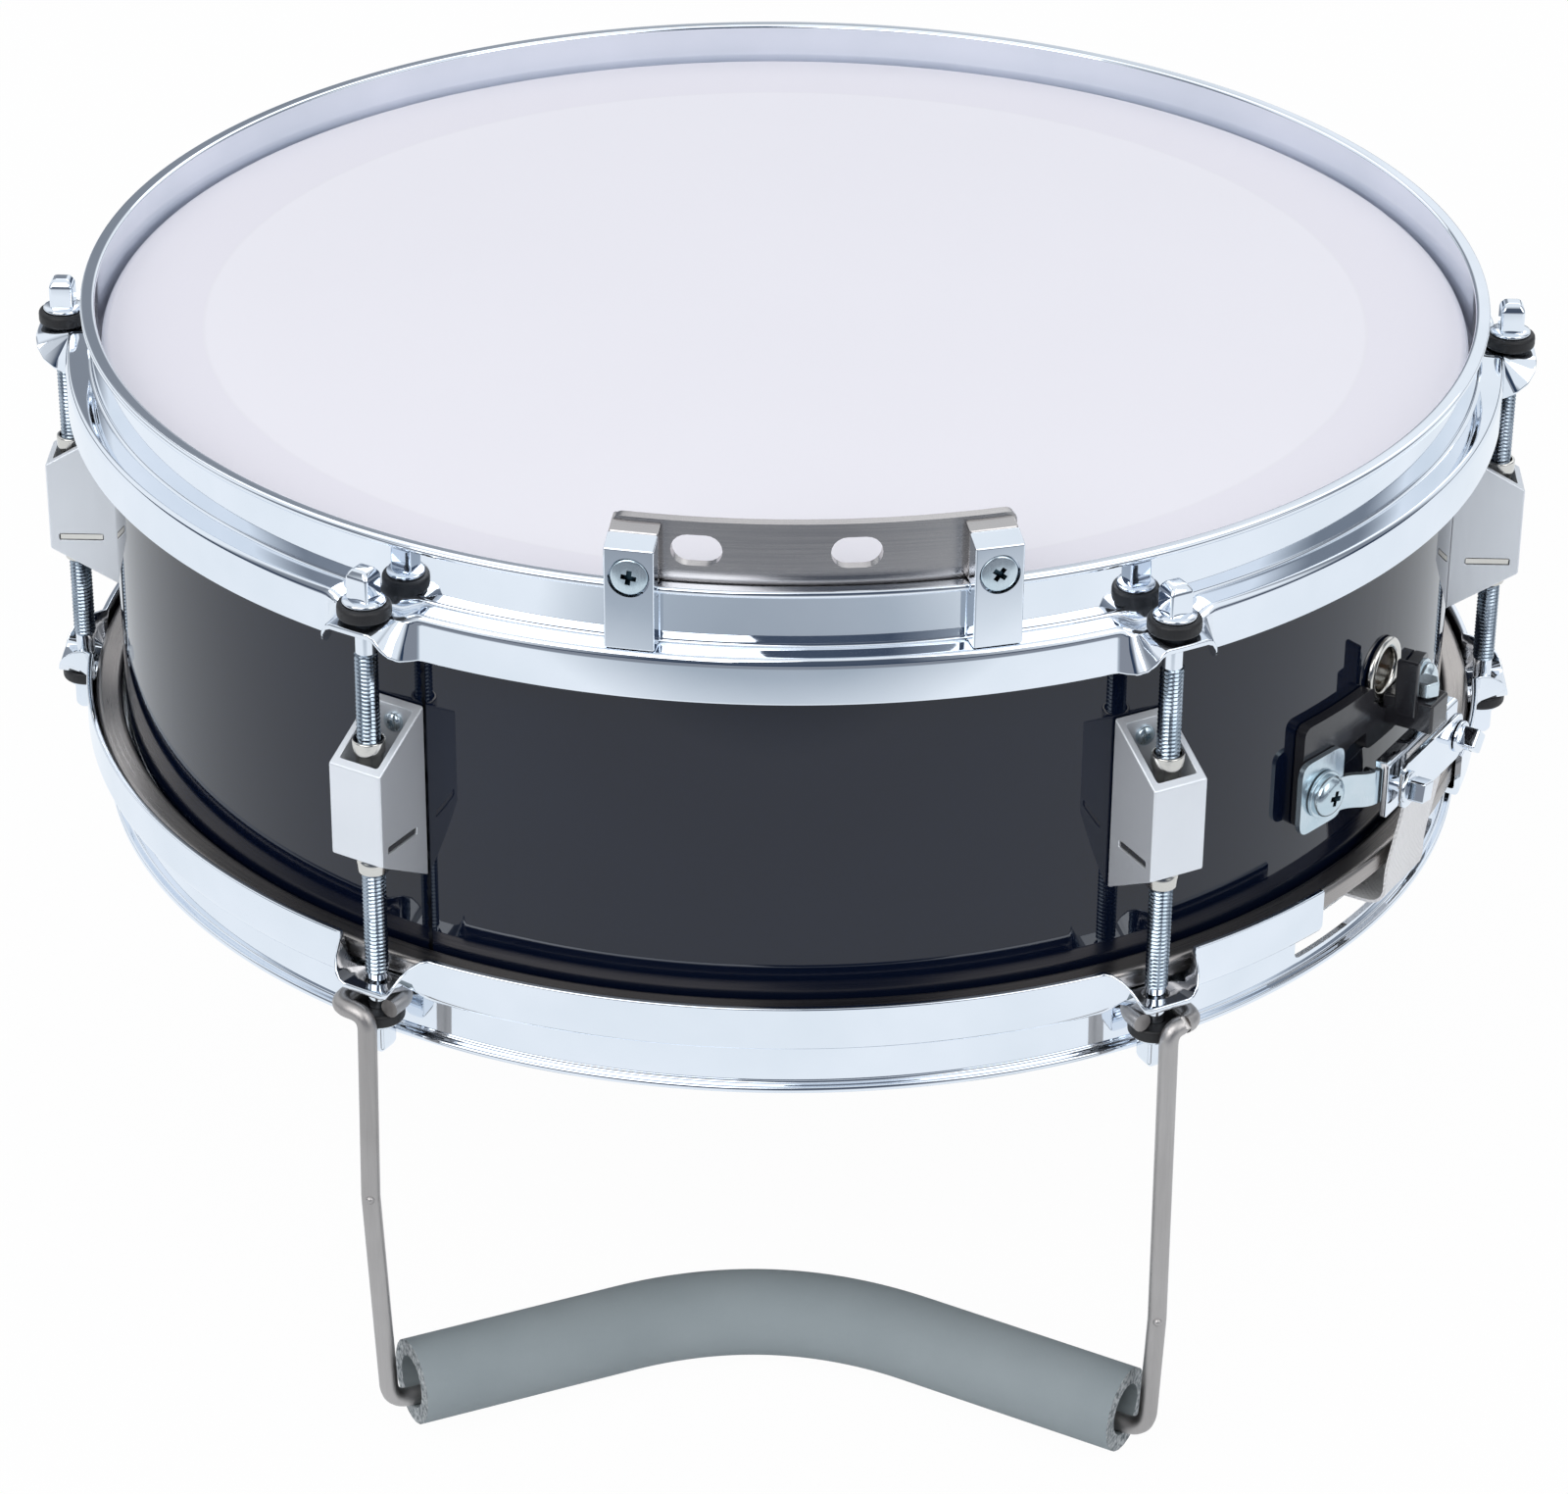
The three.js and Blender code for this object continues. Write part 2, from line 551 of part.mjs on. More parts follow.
// Hoop section where the skirt hangs straight, at share 0, to where it is folded out as an ear
// from a flange that is pressed down, at share 1
function hoopSection(share) {
  const fold = toRadians(EAR_FOLD_DEGREES) * share;
  const top = FLANGE_LEVEL - EAR_DROP * share;
  const underside = top - HOOP_STEEL;
  const edge = HOOP_STEEL / 2;
  const length = THREE.MathUtils.lerp(SKIRT_LENGTH, EAR_REACH, share);
  const tip = [SKIRT_INNER + length * Math.sin(fold), underside - length * Math.cos(fold)];
  const tipOuter = [tip[0] + HOOP_STEEL * Math.cos(fold), tip[1] + HOOP_STEEL * Math.sin(fold)];
  const lipUnderside = LIP_HEIGHT - LIP_THICKNESS;
  return [
    tip,
    tipOuter,
    [SKIRT_INNER + HOOP_STEEL, Math.min(underside + HOOP_STEEL * Math.tan(fold / 2), top - edge)],
    [SKIRT_INNER + edge, top],
    [HOOP_OUTER + EAR_ROOT, top],
    [HOOP_OUTER, FLANGE_LEVEL],
    [HOOP_OUTER, lipUnderside],
    [LIP_OUTER - LIP_ROUND, lipUnderside],
    [LIP_OUTER, LIP_HEIGHT - LIP_THICKNESS / 2],
    [LIP_OUTER - LIP_ROUND, LIP_HEIGHT],
    [HOOP_INNER + LIP_ROUND, LIP_HEIGHT],
    [HOOP_INNER, LIP_HEIGHT - LIP_ROUND],
    [HOOP_INNER, FLANGE_UNDERSIDE],
    [HOOP_OUTER - edge, FLANGE_UNDERSIDE],
    [HOOP_OUTER + EAR_ROOT - edge, underside],
    [SKIRT_INNER, underside],
  ];
}

// Bearings of the hoop's sections, with the share of the full fold at each
function hoopStations() {
  const flat = angleAlong(EAR_FLAT_WIDTH / 2, ROD_CIRCLE_RADIUS);
  const wide = angleAlong(EAR_WIDTH / 2, ROD_CIRCLE_RADIUS);
  const rampShares = [0, 1 / 3, 2 / 3, 1];
  const ramp = rampShares.map((share) => ({
    offset: flat + (wide - flat) * share, fold: (1 + Math.cos(Math.PI * share)) / 2 }));
  const pitch = 360 / LUG_BEARINGS.length;
  const stations = [];
  for (const bearing of LUG_BEARINGS) {
    for (const { offset, fold } of [...ramp].reverse()) stations.push({ bearing: bearing - offset, fold });
    stations.push({ bearing, fold: ramp[0].fold });
    for (const { offset, fold } of ramp) stations.push({ bearing: bearing + offset, fold });
    for (let i = 1; i < HOOP_PLAIN_STEPS; i += 1) {
      stations.push({ bearing: bearing + wide + (pitch - 2 * wide) * i / HOOP_PLAIN_STEPS, fold: 0 });
    }
  }
  return stations;
}

// A lathe whose columns are moved to the stations and given each station's own section
function hoopBlank() {
  const stations = hoopStations();
  const flatSection = hoopSection(0);
  const ring = turnedRing(flatSection, stations.length);
  const positions = ring.getAttribute('position');
  for (let i = 0; i <= stations.length; i += 1) {
    const { bearing, fold } = stations[i % stations.length];
    const angle = toRadians(bearing);
    const section = hoopSection(fold);
    for (let j = 0; j <= section.length; j += 1) {
      const [radius, level] = section[j % section.length];
      const index = i * (section.length + 1) + j;
      positions.setXYZ(index, radius * Math.sin(angle), -radius * Math.cos(angle), level);
    }
  }
  return ring;
}

function hoopGeometry(gateBearings) {
  const skirtFoot = FLANGE_LEVEL - SKIRT_HEIGHT;
  const holes = LUG_BEARINGS.map((bearing) => swung(uprightRod(
    EAR_HOLE_RADIUS, skirtFoot, FLANGE_LEVEL + CUT_OVERRUN, 0, ROD_CIRCLE_RADIUS), bearing));
  const gateInner = HOOP_INNER - CUT_OVERRUN;
  const gateOuter = SKIRT_INNER + HOOP_STEEL + CUT_OVERRUN;
  const gates = gateBearings.map((bearing) => arcBand(
    gateInner, gateOuter, bearing - GATE_HALF_ANGLE, bearing + GATE_HALF_ANGLE,
    skirtFoot - CUT_OVERRUN, LIP_HEIGHT - GATE_LIP));
  return cut(hoopBlank(), ...holes, ...gates);
}

// Tension rod in an end's frame: key head, flange, rubber washer, plain shank and thread
function rodGeometry(lift) {
  const washerFoot = WASHER_SEAT + lift;
  const washerTop = washerFoot + WASHER_THICKNESS;
  const flangeTop = washerTop + ROD_FLANGE_THICKNESS;
  const headTop = flangeTop + ROD_HEAD_HEIGHT;
  const headRadius = ROD_HEAD_WIDTH / 2 / Math.cos(Math.PI / SQUARE_SIDES);
  const threadTop = washerFoot - SHANK_LENGTH;
  const body = turned([
    [0, washerFoot - ROD_LENGTH],
    [THREAD_RADIUS, washerFoot - ROD_LENGTH],
    [THREAD_RADIUS, threadTop],
    [SHANK_RADIUS, threadTop],
    [SHANK_RADIUS, washerFoot],
    [WASHER_RADIUS, washerFoot],
    [WASHER_RADIUS, washerTop],
    [ROD_FLANGE_RADIUS, washerTop],
    [ROD_FLANGE_RADIUS, flangeTop],
    [0, flangeTop],
  ], TINY_SIDES);
  const head = turned([
    [0, washerTop],
    [headRadius, washerTop],
    [headRadius, headTop - ROD_HEAD_DOME],
    [headRadius / 2, headTop],
    [0, headTop],
  ], SQUARE_SIDES).rotateZ(Math.PI / SQUARE_SIDES);
  return join(body, head).translate(0, -ROD_CIRCLE_RADIUS, 0);
}

// Lug: a slice of box tube with both mouths cut on a slant
function lugGeometry() {
  const front = LUG_BACK + LUG_DEPTH;
  const body = sideProfile([
    [LUG_BACK, MID_LEVEL - LUG_REAR_HEIGHT / 2],
    [front, MID_LEVEL - LUG_FRONT_HEIGHT / 2],
    [front, MID_LEVEL + LUG_FRONT_HEIGHT / 2],
    [LUG_BACK, MID_LEVEL + LUG_REAR_HEIGHT / 2],
  ], -LUG_WIDTH / 2, LUG_WIDTH / 2);
  const halfBore = LUG_WIDTH / 2 - LUG_WALL;
  const bore = block(-halfBore, halfBore, LUG_BACK + LUG_WALL, front - LUG_WALL,
    MID_LEVEL - LUG_REAR_HEIGHT, MID_LEVEL + LUG_REAR_HEIGHT);
  const slotLevel = MID_LEVEL - LUG_SLOT_DROP;
  const slotInner = ROD_CIRCLE_RADIUS - LUG_SLOT_SHIFT - LUG_SLOT_LENGTH / 2;
  const slot = block(-LUG_WIDTH, LUG_WIDTH, slotInner, slotInner + LUG_SLOT_LENGTH,
    slotLevel - LUG_SLOT_HEIGHT / 2, slotLevel + LUG_SLOT_HEIGHT / 2);
  return cut(body, bore, slot);
}

// Sleeve nut with the retaining plate that keys it into the lug's side slots
function sleeveNutGeometry() {
  const top = MID_LEVEL + SLEEVE_LENGTH / 2;
  const bottom = MID_LEVEL - SLEEVE_LENGTH / 2;
  const sleeve = turned([
    [0, bottom],
    [SLEEVE_RADIUS, bottom],
    [SLEEVE_RADIUS, top - SLEEVE_CUP_HEIGHT],
    [SLEEVE_CUP_RADIUS, top - SLEEVE_CUP_HEIGHT],
    [SLEEVE_CUP_RADIUS, top],
    [0, top],
  ], TINY_SIDES).translate(0, -ROD_CIRCLE_RADIUS, 0);
  const slotLevel = MID_LEVEL - LUG_SLOT_DROP;
  const slotInner = ROD_CIRCLE_RADIUS - LUG_SLOT_SHIFT - LUG_SLOT_LENGTH / 2;
  const halfPlate = LUG_SLOT_HEIGHT / 2 - SEAT_GAP;
  const plate = block(-LUG_WIDTH / 2, LUG_WIDTH / 2, slotInner + SEAT_GAP,
    slotInner + LUG_SLOT_LENGTH - SEAT_GAP, slotLevel - halfPlate, slotLevel + halfPlate);
  const bore = uprightRod(SLEEVE_BORE_RADIUS, bottom - CUT_OVERRUN, top + CUT_OVERRUN, 0, ROD_CIRCLE_RADIUS,
    TINY_SIDES);
  return cut(join(sleeve, plate), bore);
}

// Hook plate: a curved strip inside the rim, with a rear jaw at each end
function hookPlateGeometry() {
  const inner = HOOK_PLATE_RADIUS - HOOK_PLATE_THICKNESS;
  const strip = arcBand(inner, HOOK_PLATE_RADIUS, -angleAlong(HOOK_PLATE_LEFT_REACH, HOOK_PLATE_RADIUS),
    angleAlong(HOOK_PLATE_RIGHT_REACH, HOOK_PLATE_RADIUS), HOOK_PLATE_BOTTOM, HOOK_PLATE_TOP);
  const jaw = () => sideProfile([
    [inner, HOOK_PLATE_BOTTOM],
    [HOOK_PLATE_RADIUS, HOOK_PLATE_BOTTOM],
    [HOOK_PLATE_RADIUS, LIP_HEIGHT + SEAT_GAP],
    [JAW_SEAM, LIP_HEIGHT + SEAT_GAP],
    [JAW_SEAM, HOOK_PLATE_TOP - JAW_TOP_DROP],
    [inner, HOOK_PLATE_TOP],
  ], -JAW_WIDTH / 2, JAW_WIDTH / 2);
  const jaws = JAW_BEARINGS.map((bearing) => swung(jaw(), bearing));
  const straight = (HOOK_SLOT_LENGTH - HOOK_SLOT_HEIGHT) / 2;
  const slotOuter = HOOK_PLATE_RADIUS + CUT_OVERRUN;
  const slotInner = inner - CUT_OVERRUN;
  const slots = HOOK_SLOT_BEARINGS.map((bearing) => swung(join(
    outwardRod(HOOK_SLOT_HEIGHT / 2, slotInner, slotOuter, -straight, HOOK_SLOT_LEVEL),
    outwardRod(HOOK_SLOT_HEIGHT / 2, slotInner, slotOuter, straight, HOOK_SLOT_LEVEL),
    block(-straight, straight, slotInner, slotOuter,
      HOOK_SLOT_LEVEL - HOOK_SLOT_HEIGHT / 2, HOOK_SLOT_LEVEL + HOOK_SLOT_HEIGHT / 2),
  ), bearing));
  const screwHoles = JAW_BEARINGS.map((bearing) => swung(outwardRod(
    JAW_SCREW_RADIUS + RUNNING_GAP, slotInner, JAW_SEAM + CUT_OVERRUN, 0, JAW_SCREW_LEVEL), bearing));
  return cut(join(strip, ...jaws), ...slots, ...screwHoles);
}

// Front jaw: clamps the rim from outside and hooks over its lip
function frontJawGeometry() {
  const back = HOOP_OUTER + SEAT_GAP;
  const seam = JAW_SEAM + SEAT_GAP;
  const lipFace = LIP_OUTER + SEAT_GAP;
  const lipUnderside = LIP_HEIGHT - LIP_THICKNESS - SEAT_GAP;
  const body = sideProfile([
    [back, FLANGE_LEVEL + SEAT_GAP],
    [JAW_FRONT, FLANGE_LEVEL + SEAT_GAP],
    [JAW_FRONT, HOOK_PLATE_TOP - JAW_FRONT_DROP],
    [seam, HOOK_PLATE_TOP - JAW_TOP_DROP],
    [seam, LIP_HEIGHT + SEAT_GAP],
    [lipFace, LIP_HEIGHT + SEAT_GAP],
    [lipFace, lipUnderside],
    [back, lipUnderside],
  ], -JAW_WIDTH / 2, JAW_WIDTH / 2);
  return cut(body,
    outwardRod(JAW_SCREW_RADIUS + RUNNING_GAP, back - CUT_OVERRUN, JAW_FRONT, 0, JAW_SCREW_LEVEL),
    outwardRod(JAW_SCREW_HEAD_RADIUS + RUNNING_GAP, JAW_FRONT - JAW_SCREW_HEAD_HEIGHT - SEAT_GAP,
      JAW_FRONT + CUT_OVERRUN, 0, JAW_SCREW_LEVEL));
}

function jawScrewGeometry() {
  const tip = HOOK_PLATE_RADIUS - HOOK_PLATE_THICKNESS;
  const headBack = JAW_FRONT - JAW_SCREW_HEAD_HEIGHT;
  return join(
    outwardRod(JAW_SCREW_HEAD_RADIUS, headBack, JAW_FRONT, 0, JAW_SCREW_LEVEL),
    outwardRod(JAW_SCREW_RADIUS, tip, headBack + JAW_SCREW_HEAD_HEIGHT / 2, 0, JAW_SCREW_LEVEL));
}

// Black casting on the shell: a beam on two legs with rounded corners, arched below the beam
function clampFrame() {
  const legFoot = FRAME_TOP - FRAME_LEG;
  const [cutInner, cutOuter] = [FRAME_INNER - CUT_OVERRUN, FRAME_OUTER + CUT_OVERRUN];
  const atBothSides = (radius, inner, outer, angle, level, sides) => [-1, 1].map((side) => swung(
    outwardRod(radius, inner, outer, 0, level, sides), side * angle));
  const innerAngle = FRAME_HALF_ANGLE - angleAlong(FRAME_CORNER, FRAME_OUTER);
  const cornerLevels = [legFoot + FRAME_CORNER, FRAME_TOP - FRAME_CORNER];
  const band = join(
    arcBand(FRAME_INNER, FRAME_OUTER, -innerAngle, innerAngle, legFoot, FRAME_TOP),
    arcBand(FRAME_INNER, FRAME_OUTER, -FRAME_HALF_ANGLE, FRAME_HALF_ANGLE, ...cornerLevels),
    ...cornerLevels.flatMap((level) => atBothSides(
      FRAME_CORNER, FRAME_INNER, FRAME_OUTER, innerAngle, level, TINY_SIDES)));
  const archAngle = FRAME_OPENING_HALF_ANGLE - angleAlong(FRAME_OPENING_CORNER, FRAME_OUTER);
  const openingTop = FRAME_TOP - FRAME_BEAM;
  const archLevel = openingTop - FRAME_OPENING_CORNER;
  const opening = [
    arcBand(cutInner, cutOuter, -FRAME_OPENING_HALF_ANGLE, FRAME_OPENING_HALF_ANGLE,
      legFoot - CUT_OVERRUN, archLevel),
    arcBand(cutInner, cutOuter, -archAngle, archAngle, archLevel - CUT_OVERRUN, openingTop)];
  const arches = atBothSides(FRAME_OPENING_CORNER, cutInner, cutOuter, archAngle, archLevel, ARCH_SIDES);
  const holes = atBothSides(
    MOUNT_SCREW_RADIUS + RUNNING_GAP, cutInner, cutOuter, MOUNT_HALF_ANGLE, MOUNT_LEVEL, TINY_SIDES);
  return cut(band, join(...opening, ...arches), ...holes);
}

// Boss that stands out of the beam around an upright screw
function screwBoss(reach, standoff, screwRadius) {
  const back = FRAME_INNER + FRAME_WALL / 2;
  const body = block(-BOSS_WIDTH / 2, BOSS_WIDTH / 2, back, FRAME_OUTER + reach,
    BOSS_TOP - BOSS_HEIGHT, BOSS_TOP);
  const hole = uprightRod(screwRadius + RUNNING_GAP, BOSS_TOP - BOSS_HEIGHT - CUT_OVERRUN,
    BOSS_TOP + CUT_OVERRUN, 0, SHELL_RADIUS + standoff);
  return cut(body, hole);
}

// The butt's casting is the left half of the frame, then a beam that steps down, scalloped round the vent
function buttFrameGeometry() {
  const stepAngle = angleAlong(BUTT_STEP_REACH, FRAME_OUTER);
  const beamFoot = BOSS_TOP - FRAME_BEAM;
  const rightHalf = arcBand(FRAME_INNER - CUT_OVERRUN, FRAME_OUTER + CUT_OVERRUN, -stepAngle,
    FRAME_HALF_ANGLE + stepAngle, FRAME_TOP - FRAME_LEG - CUT_OVERRUN, FRAME_TOP + CUT_OVERRUN);
  const beam = arcBand(FRAME_INNER, FRAME_OUTER, -stepAngle - angleAlong(FRAME_WALL, FRAME_OUTER),
    angleAlong(BUTT_END_REACH, FRAME_OUTER), beamFoot, BOSS_TOP);
  const mountHole = swung(outwardRod(MOUNT_SCREW_RADIUS + RUNNING_GAP, FRAME_INNER - CUT_OVERRUN,
    FRAME_OUTER + CUT_OVERRUN, 0, BUTT_MOUNT_LEVEL), BUTT_MOUNT_ANGLE);
  const vent = (outer) => swung(outwardRod(EYELET_RADIUS + RUNNING_GAP, FRAME_INNER - CUT_OVERRUN, outer,
    0, VENT_LEVEL, EYELET_SIDES), VENT_BEARING - BUTT_BEARING);
  const casting = cut(join(cut(clampFrame(), rightHalf), beam), mountHole, vent(FRAME_OUTER + CUT_OVERRUN));
  const finFace = RUNNING_GAP - BOSS_WIDTH / 2;
  const finBack = SHELL_RADIUS + BOLT_STANDOFF - FIN_WIDTH;
  const fin = block(finFace - FIN_THICKNESS, finFace, finBack, finBack + FIN_WIDTH,
    BOSS_TOP - BOSS_HEIGHT / 2, BOSS_TOP + FIN_HEIGHT);
  return cut(join(casting, screwBoss(BOSS_REACH, BOLT_STANDOFF, BOLT_RADIUS), fin),
    vent(FRAME_INNER + EYELET_FLANGE + SEAT_GAP));
}

// The two clamp screws pass straight in through whatever lies between the strap and the shell
function clampScrewHoles(outLow, outHigh) {
  return [-1, 1].map((side) => outwardRod(CLAMP_SCREW_RADIUS + RUNNING_GAP, outLow - CUT_OVERRUN,
    outHigh + CUT_OVERRUN, side * CLAMP_SCREW_SPACING / 2, CLAMP_SCREW_LEVEL, TINY_SIDES));
}

// A strip of even thickness along a line of [x, out] points
function stripOutline(line, thickness) {
  const points = line.map(([x, out]) => new THREE.Vector2(x, out));
  const normals = points.map((point, i) => {
    const before = points[Math.max(i - 1, 0)];
    const after = points[Math.min(i + 1, points.length - 1)];
    const leg = after.clone().sub(before).normalize();
    return new THREE.Vector2(-leg.y, leg.x);
  });
  const side = (sign) => points.map((point, i) => point.clone().addScaledVector(
    normals[i], sign * thickness / 2));
  return [...side(1), ...side(-1).reverse()].map((point) => [point.x, point.y]);
}

// Arm: a pad under the left mounting screw, bent out to a strip that ends behind the clamp
function bridgeGeometry() {
  const padCentre = FRAME_OUTER + SEAT_GAP + BRIDGE_THICKNESS / 2;
  const mountAngle = toRadians(MOUNT_HALF_ANGLE);
  const onPad = (along) => [
    -padCentre * Math.sin(mountAngle) + along * Math.cos(mountAngle),
    padCentre * Math.cos(mountAngle) + along * Math.sin(mountAngle)];
  const bridgeOut = CLAMP_RADIUS - CLAMP_BAR_WALL - SEAT_GAP - BRIDGE_THICKNESS / 2;
  const middle = CLAMP_SCREW_LEVEL + BRIDGE_RISE;
  const line = [onPad(BRIDGE_PAD_WIDTH / 4), onPad(BRIDGE_PAD_WIDTH / 2), [-BRIDGE_SHOULDER, bridgeOut],
    [CLAMP_SCREW_SPACING / 2 + BRIDGE_END_MARGIN, bridgeOut]];
  const strip = planProfile(stripOutline(line, BRIDGE_THICKNESS),
    middle - BRIDGE_HEIGHT / 2, middle + BRIDGE_HEIGHT / 2);
  const pad = swung(facePlate(BRIDGE_PAD_WIDTH, BRIDGE_PAD_HEIGHT, BRIDGE_PAD_CORNER,
    padCentre - BRIDGE_THICKNESS / 2, padCentre + BRIDGE_THICKNESS / 2, MOUNT_LEVEL + BRIDGE_PAD_RISE),
  -MOUNT_HALF_ANGLE);
  const padHole = swung(outwardRod(MOUNT_SCREW_RADIUS + RUNNING_GAP, FRAME_OUTER - CUT_OVERRUN,
    padCentre + CUT_OVERRUN, 0, MOUNT_LEVEL), -MOUNT_HALF_ANGLE);
  return cut(join(strip, pad), padHole, ...clampScrewHoles(bridgeOut, bridgeOut + BRIDGE_THICKNESS));
}

// Clamp bar: an angle section with its top flange turned in over the bridge
function clampBarGeometry() {
  const back = CLAMP_RADIUS - CLAMP_BAR_DEPTH;
  const web = CLAMP_RADIUS - CLAMP_BAR_WALL;
  const bar = sideProfile([
    [back, CLAMP_TOP],
    [CLAMP_RADIUS, CLAMP_TOP],
    [CLAMP_RADIUS, CLAMP_TOP - CLAMP_BAR_HEIGHT],
    [web, CLAMP_TOP - CLAMP_BAR_HEIGHT],
    [web, CLAMP_TOP - CLAMP_BAR_WALL],
    [back, CLAMP_TOP - CLAMP_BAR_WALL],
  ], -CLAMP_BAR_WIDTH / 2, CLAMP_BAR_WIDTH / 2);
  return cut(bar, ...clampScrewHoles(back, CLAMP_RADIUS));
}

function clampPlateGeometry() {
  const back = STRAP_OUTER_FACE + SEAT_GAP;
  const plate = facePlate(CLAMP_PLATE_WIDTH, CLAMP_PLATE_HEIGHT, CLAMP_PLATE_CORNER, back, CLAMP_PLATE_FACE,
    CLAMP_SCREW_LEVEL);
  return cut(plate, ...clampScrewHoles(back, CLAMP_PLATE_FACE));
}

function clampScrewGeometry(side) {
  const x = side * CLAMP_SCREW_SPACING / 2;
  const collarBack = CLAMP_PLATE_FACE + SEAT_GAP;
  const headBack = collarBack + CLAMP_SCREW_COLLAR;
  const halfHead = CLAMP_SCREW_HEAD_WIDTH / 2;
  return join(
    outwardRod(CLAMP_SCREW_RADIUS, CLAMP_RADIUS - CLAMP_SCREW_TAIL, headBack, x, CLAMP_SCREW_LEVEL,
      TINY_SIDES),
    outwardRod(CLAMP_SCREW_COLLAR_RADIUS, collarBack, headBack, x, CLAMP_SCREW_LEVEL),
    block(x - halfHead, x + halfHead, collarBack, headBack + CLAMP_SCREW_HEAD_LENGTH,
      CLAMP_SCREW_LEVEL - halfHead, CLAMP_SCREW_LEVEL + halfHead));
}

function mountScrewGeometry(seat, level) {
  const washerFace = seat + SEAT_GAP + MOUNT_WASHER_THICKNESS;
  const tip = SHELL_RADIUS - SHELL_WALL;
  const screw = turned([
    [0, tip],
    [MOUNT_SCREW_RADIUS, tip],
    [MOUNT_SCREW_RADIUS, seat + SEAT_GAP],
    [MOUNT_WASHER_RADIUS, seat + SEAT_GAP],
    [MOUNT_WASHER_RADIUS, washerFace],
    [MOUNT_SCREW_HEAD_RADIUS, washerFace],
    [MOUNT_SCREW_HEAD_RADIUS * PAN_HEAD_SHARE, washerFace + MOUNT_SCREW_HEAD_HEIGHT],
    [0, washerFace + MOUNT_SCREW_HEAD_HEIGHT],
  ], SMALL_SIDES);
  return screw.rotateX(Math.PI / 2).translate(0, 0, level);
}

function adjustingBoltGeometry() {
  const out = SHELL_RADIUS + BOLT_STANDOFF;
  const headFoot = BOSS_TOP + SEAT_GAP;
  const headRadius = BOLT_HEAD_WIDTH / 2 / Math.cos(Math.PI / HEXAGON_SIDES);
  return join(
    uprightRod(BOLT_RADIUS, CLAMP_TOP + BOLT_TAIL_GAP, headFoot + BOLT_HEAD_HEIGHT / 2, 0, out),
    uprightRod(headRadius, headFoot, headFoot + BOLT_HEAD_HEIGHT, 0, out, HEXAGON_SIDES));
}

// Two blocks of one size, mirrored to both sides of a station
function pairedBlocks(near, far, outLow, outHigh, zLow, zHigh) {
  return [block(near, far, outLow, outHigh, zLow, zHigh), block(-far, -near, outLow, outHigh, zLow, zHigh)];
}

function throwoffBaseGeometry() {
  const back = FRAME_INNER + FRAME_WALL / 2;
  const cheekFoot = BOSS_TOP - CHEEK_HEIGHT * CHEEK_LOW_SHARE;
  const cheekNear = CHEEK_SPACING / 2;
  const cheeks = pairedBlocks(cheekNear, cheekNear + CHEEK_THICKNESS, back,
    PIVOT_OUT + PIVOT_RADIUS * 2, cheekFoot, cheekFoot + CHEEK_HEIGHT);
  const pivotHole = sidewaysRod(
    PIVOT_RADIUS + RUNNING_GAP, -CHEEK_SPACING, CHEEK_SPACING, PIVOT_OUT, PIVOT_LEVEL);
  const boss = screwBoss(KNOB_STANDOFF, KNOB_STANDOFF, KNOB_SCREW_RADIUS);
  return cut(join(clampFrame(), ...cheeks, boss), pivotHole);
}

// Bail lever with its pivot pin: two arms outside the cheeks and a grip above the knob
function leverGeometry() {
  const near = CHEEK_SPACING / 2 + CHEEK_THICKNESS + SEAT_GAP;
  const far = near + LEVER_ARM_THICKNESS;
  const back = PIVOT_OUT - LEVER_ARM_WIDTH / 2;
  const front = PIVOT_OUT + LEVER_ARM_WIDTH / 2;
  const foot = PIVOT_LEVEL - LEVER_ARM_WIDTH / 2;
  const top = PIVOT_LEVEL + LEVER_LENGTH;
  const gripFoot = top - LEVER_GRIP_HEIGHT;
  const rightHalf = [
    [near - LEVER_CORNER / 2, gripFoot],
    [near, gripFoot - LEVER_CORNER / 2],
    [near, foot],
    [far, foot],
    [far, top - LEVER_CORNER],
    [far - LEVER_CORNER, top],
  ];
  const leftHalf = rightHalf.map(([x, level]) => [-x, level]).reverse();
  const bail = faceProfile([...rightHalf, ...leftHalf], back, front);
  const pinEnd = (near + far) / 2;
  return join(bail, sidewaysRod(PIVOT_RADIUS, -pinEnd, pinEnd, PIVOT_OUT, PIVOT_LEVEL, TINY_SIDES));
}

function tensionKnobGeometry() {
  const out = SHELL_RADIUS + KNOB_STANDOFF;
  const neckFoot = BOSS_TOP + SEAT_GAP;
  const knobFoot = FRAME_TOP + RUNNING_GAP;
  return turned([
    [0, neckFoot - KNOB_SCREW_LENGTH],
    [KNOB_SCREW_RADIUS, neckFoot - KNOB_SCREW_LENGTH],
    [KNOB_SCREW_RADIUS, neckFoot],
    [KNOB_NECK_RADIUS, neckFoot],
    [KNOB_NECK_RADIUS, knobFoot],
    [KNOB_RADIUS, knobFoot],
    [KNOB_RADIUS, knobFoot + KNOB_HEIGHT],
    [0, knobFoot + KNOB_HEIGHT],
  ], KNOB_SIDES).translate(0, -out, 0);
}

// Carriage: the same clamp bar on a block that the knob's screw passes through
function carriageGeometry() {
  const halfBlock = CARRIAGE_BLOCK_WIDTH / 2;
  const guide = block(-halfBlock, halfBlock, CLAMP_RADIUS - CARRIAGE_BLOCK_DEPTH,
    CLAMP_RADIUS - CLAMP_BAR_WALL / 2, CLAMP_TOP - CARRIAGE_BLOCK_HEIGHT, CLAMP_TOP);
  const bore = uprightRod(KNOB_SCREW_RADIUS + RUNNING_GAP, CLAMP_TOP - CARRIAGE_BLOCK_HEIGHT - CUT_OVERRUN,
    CLAMP_TOP + CUT_OVERRUN, 0, SHELL_RADIUS + KNOB_STANDOFF);
  return cut(join(clampBarGeometry(), guide), bore);
}

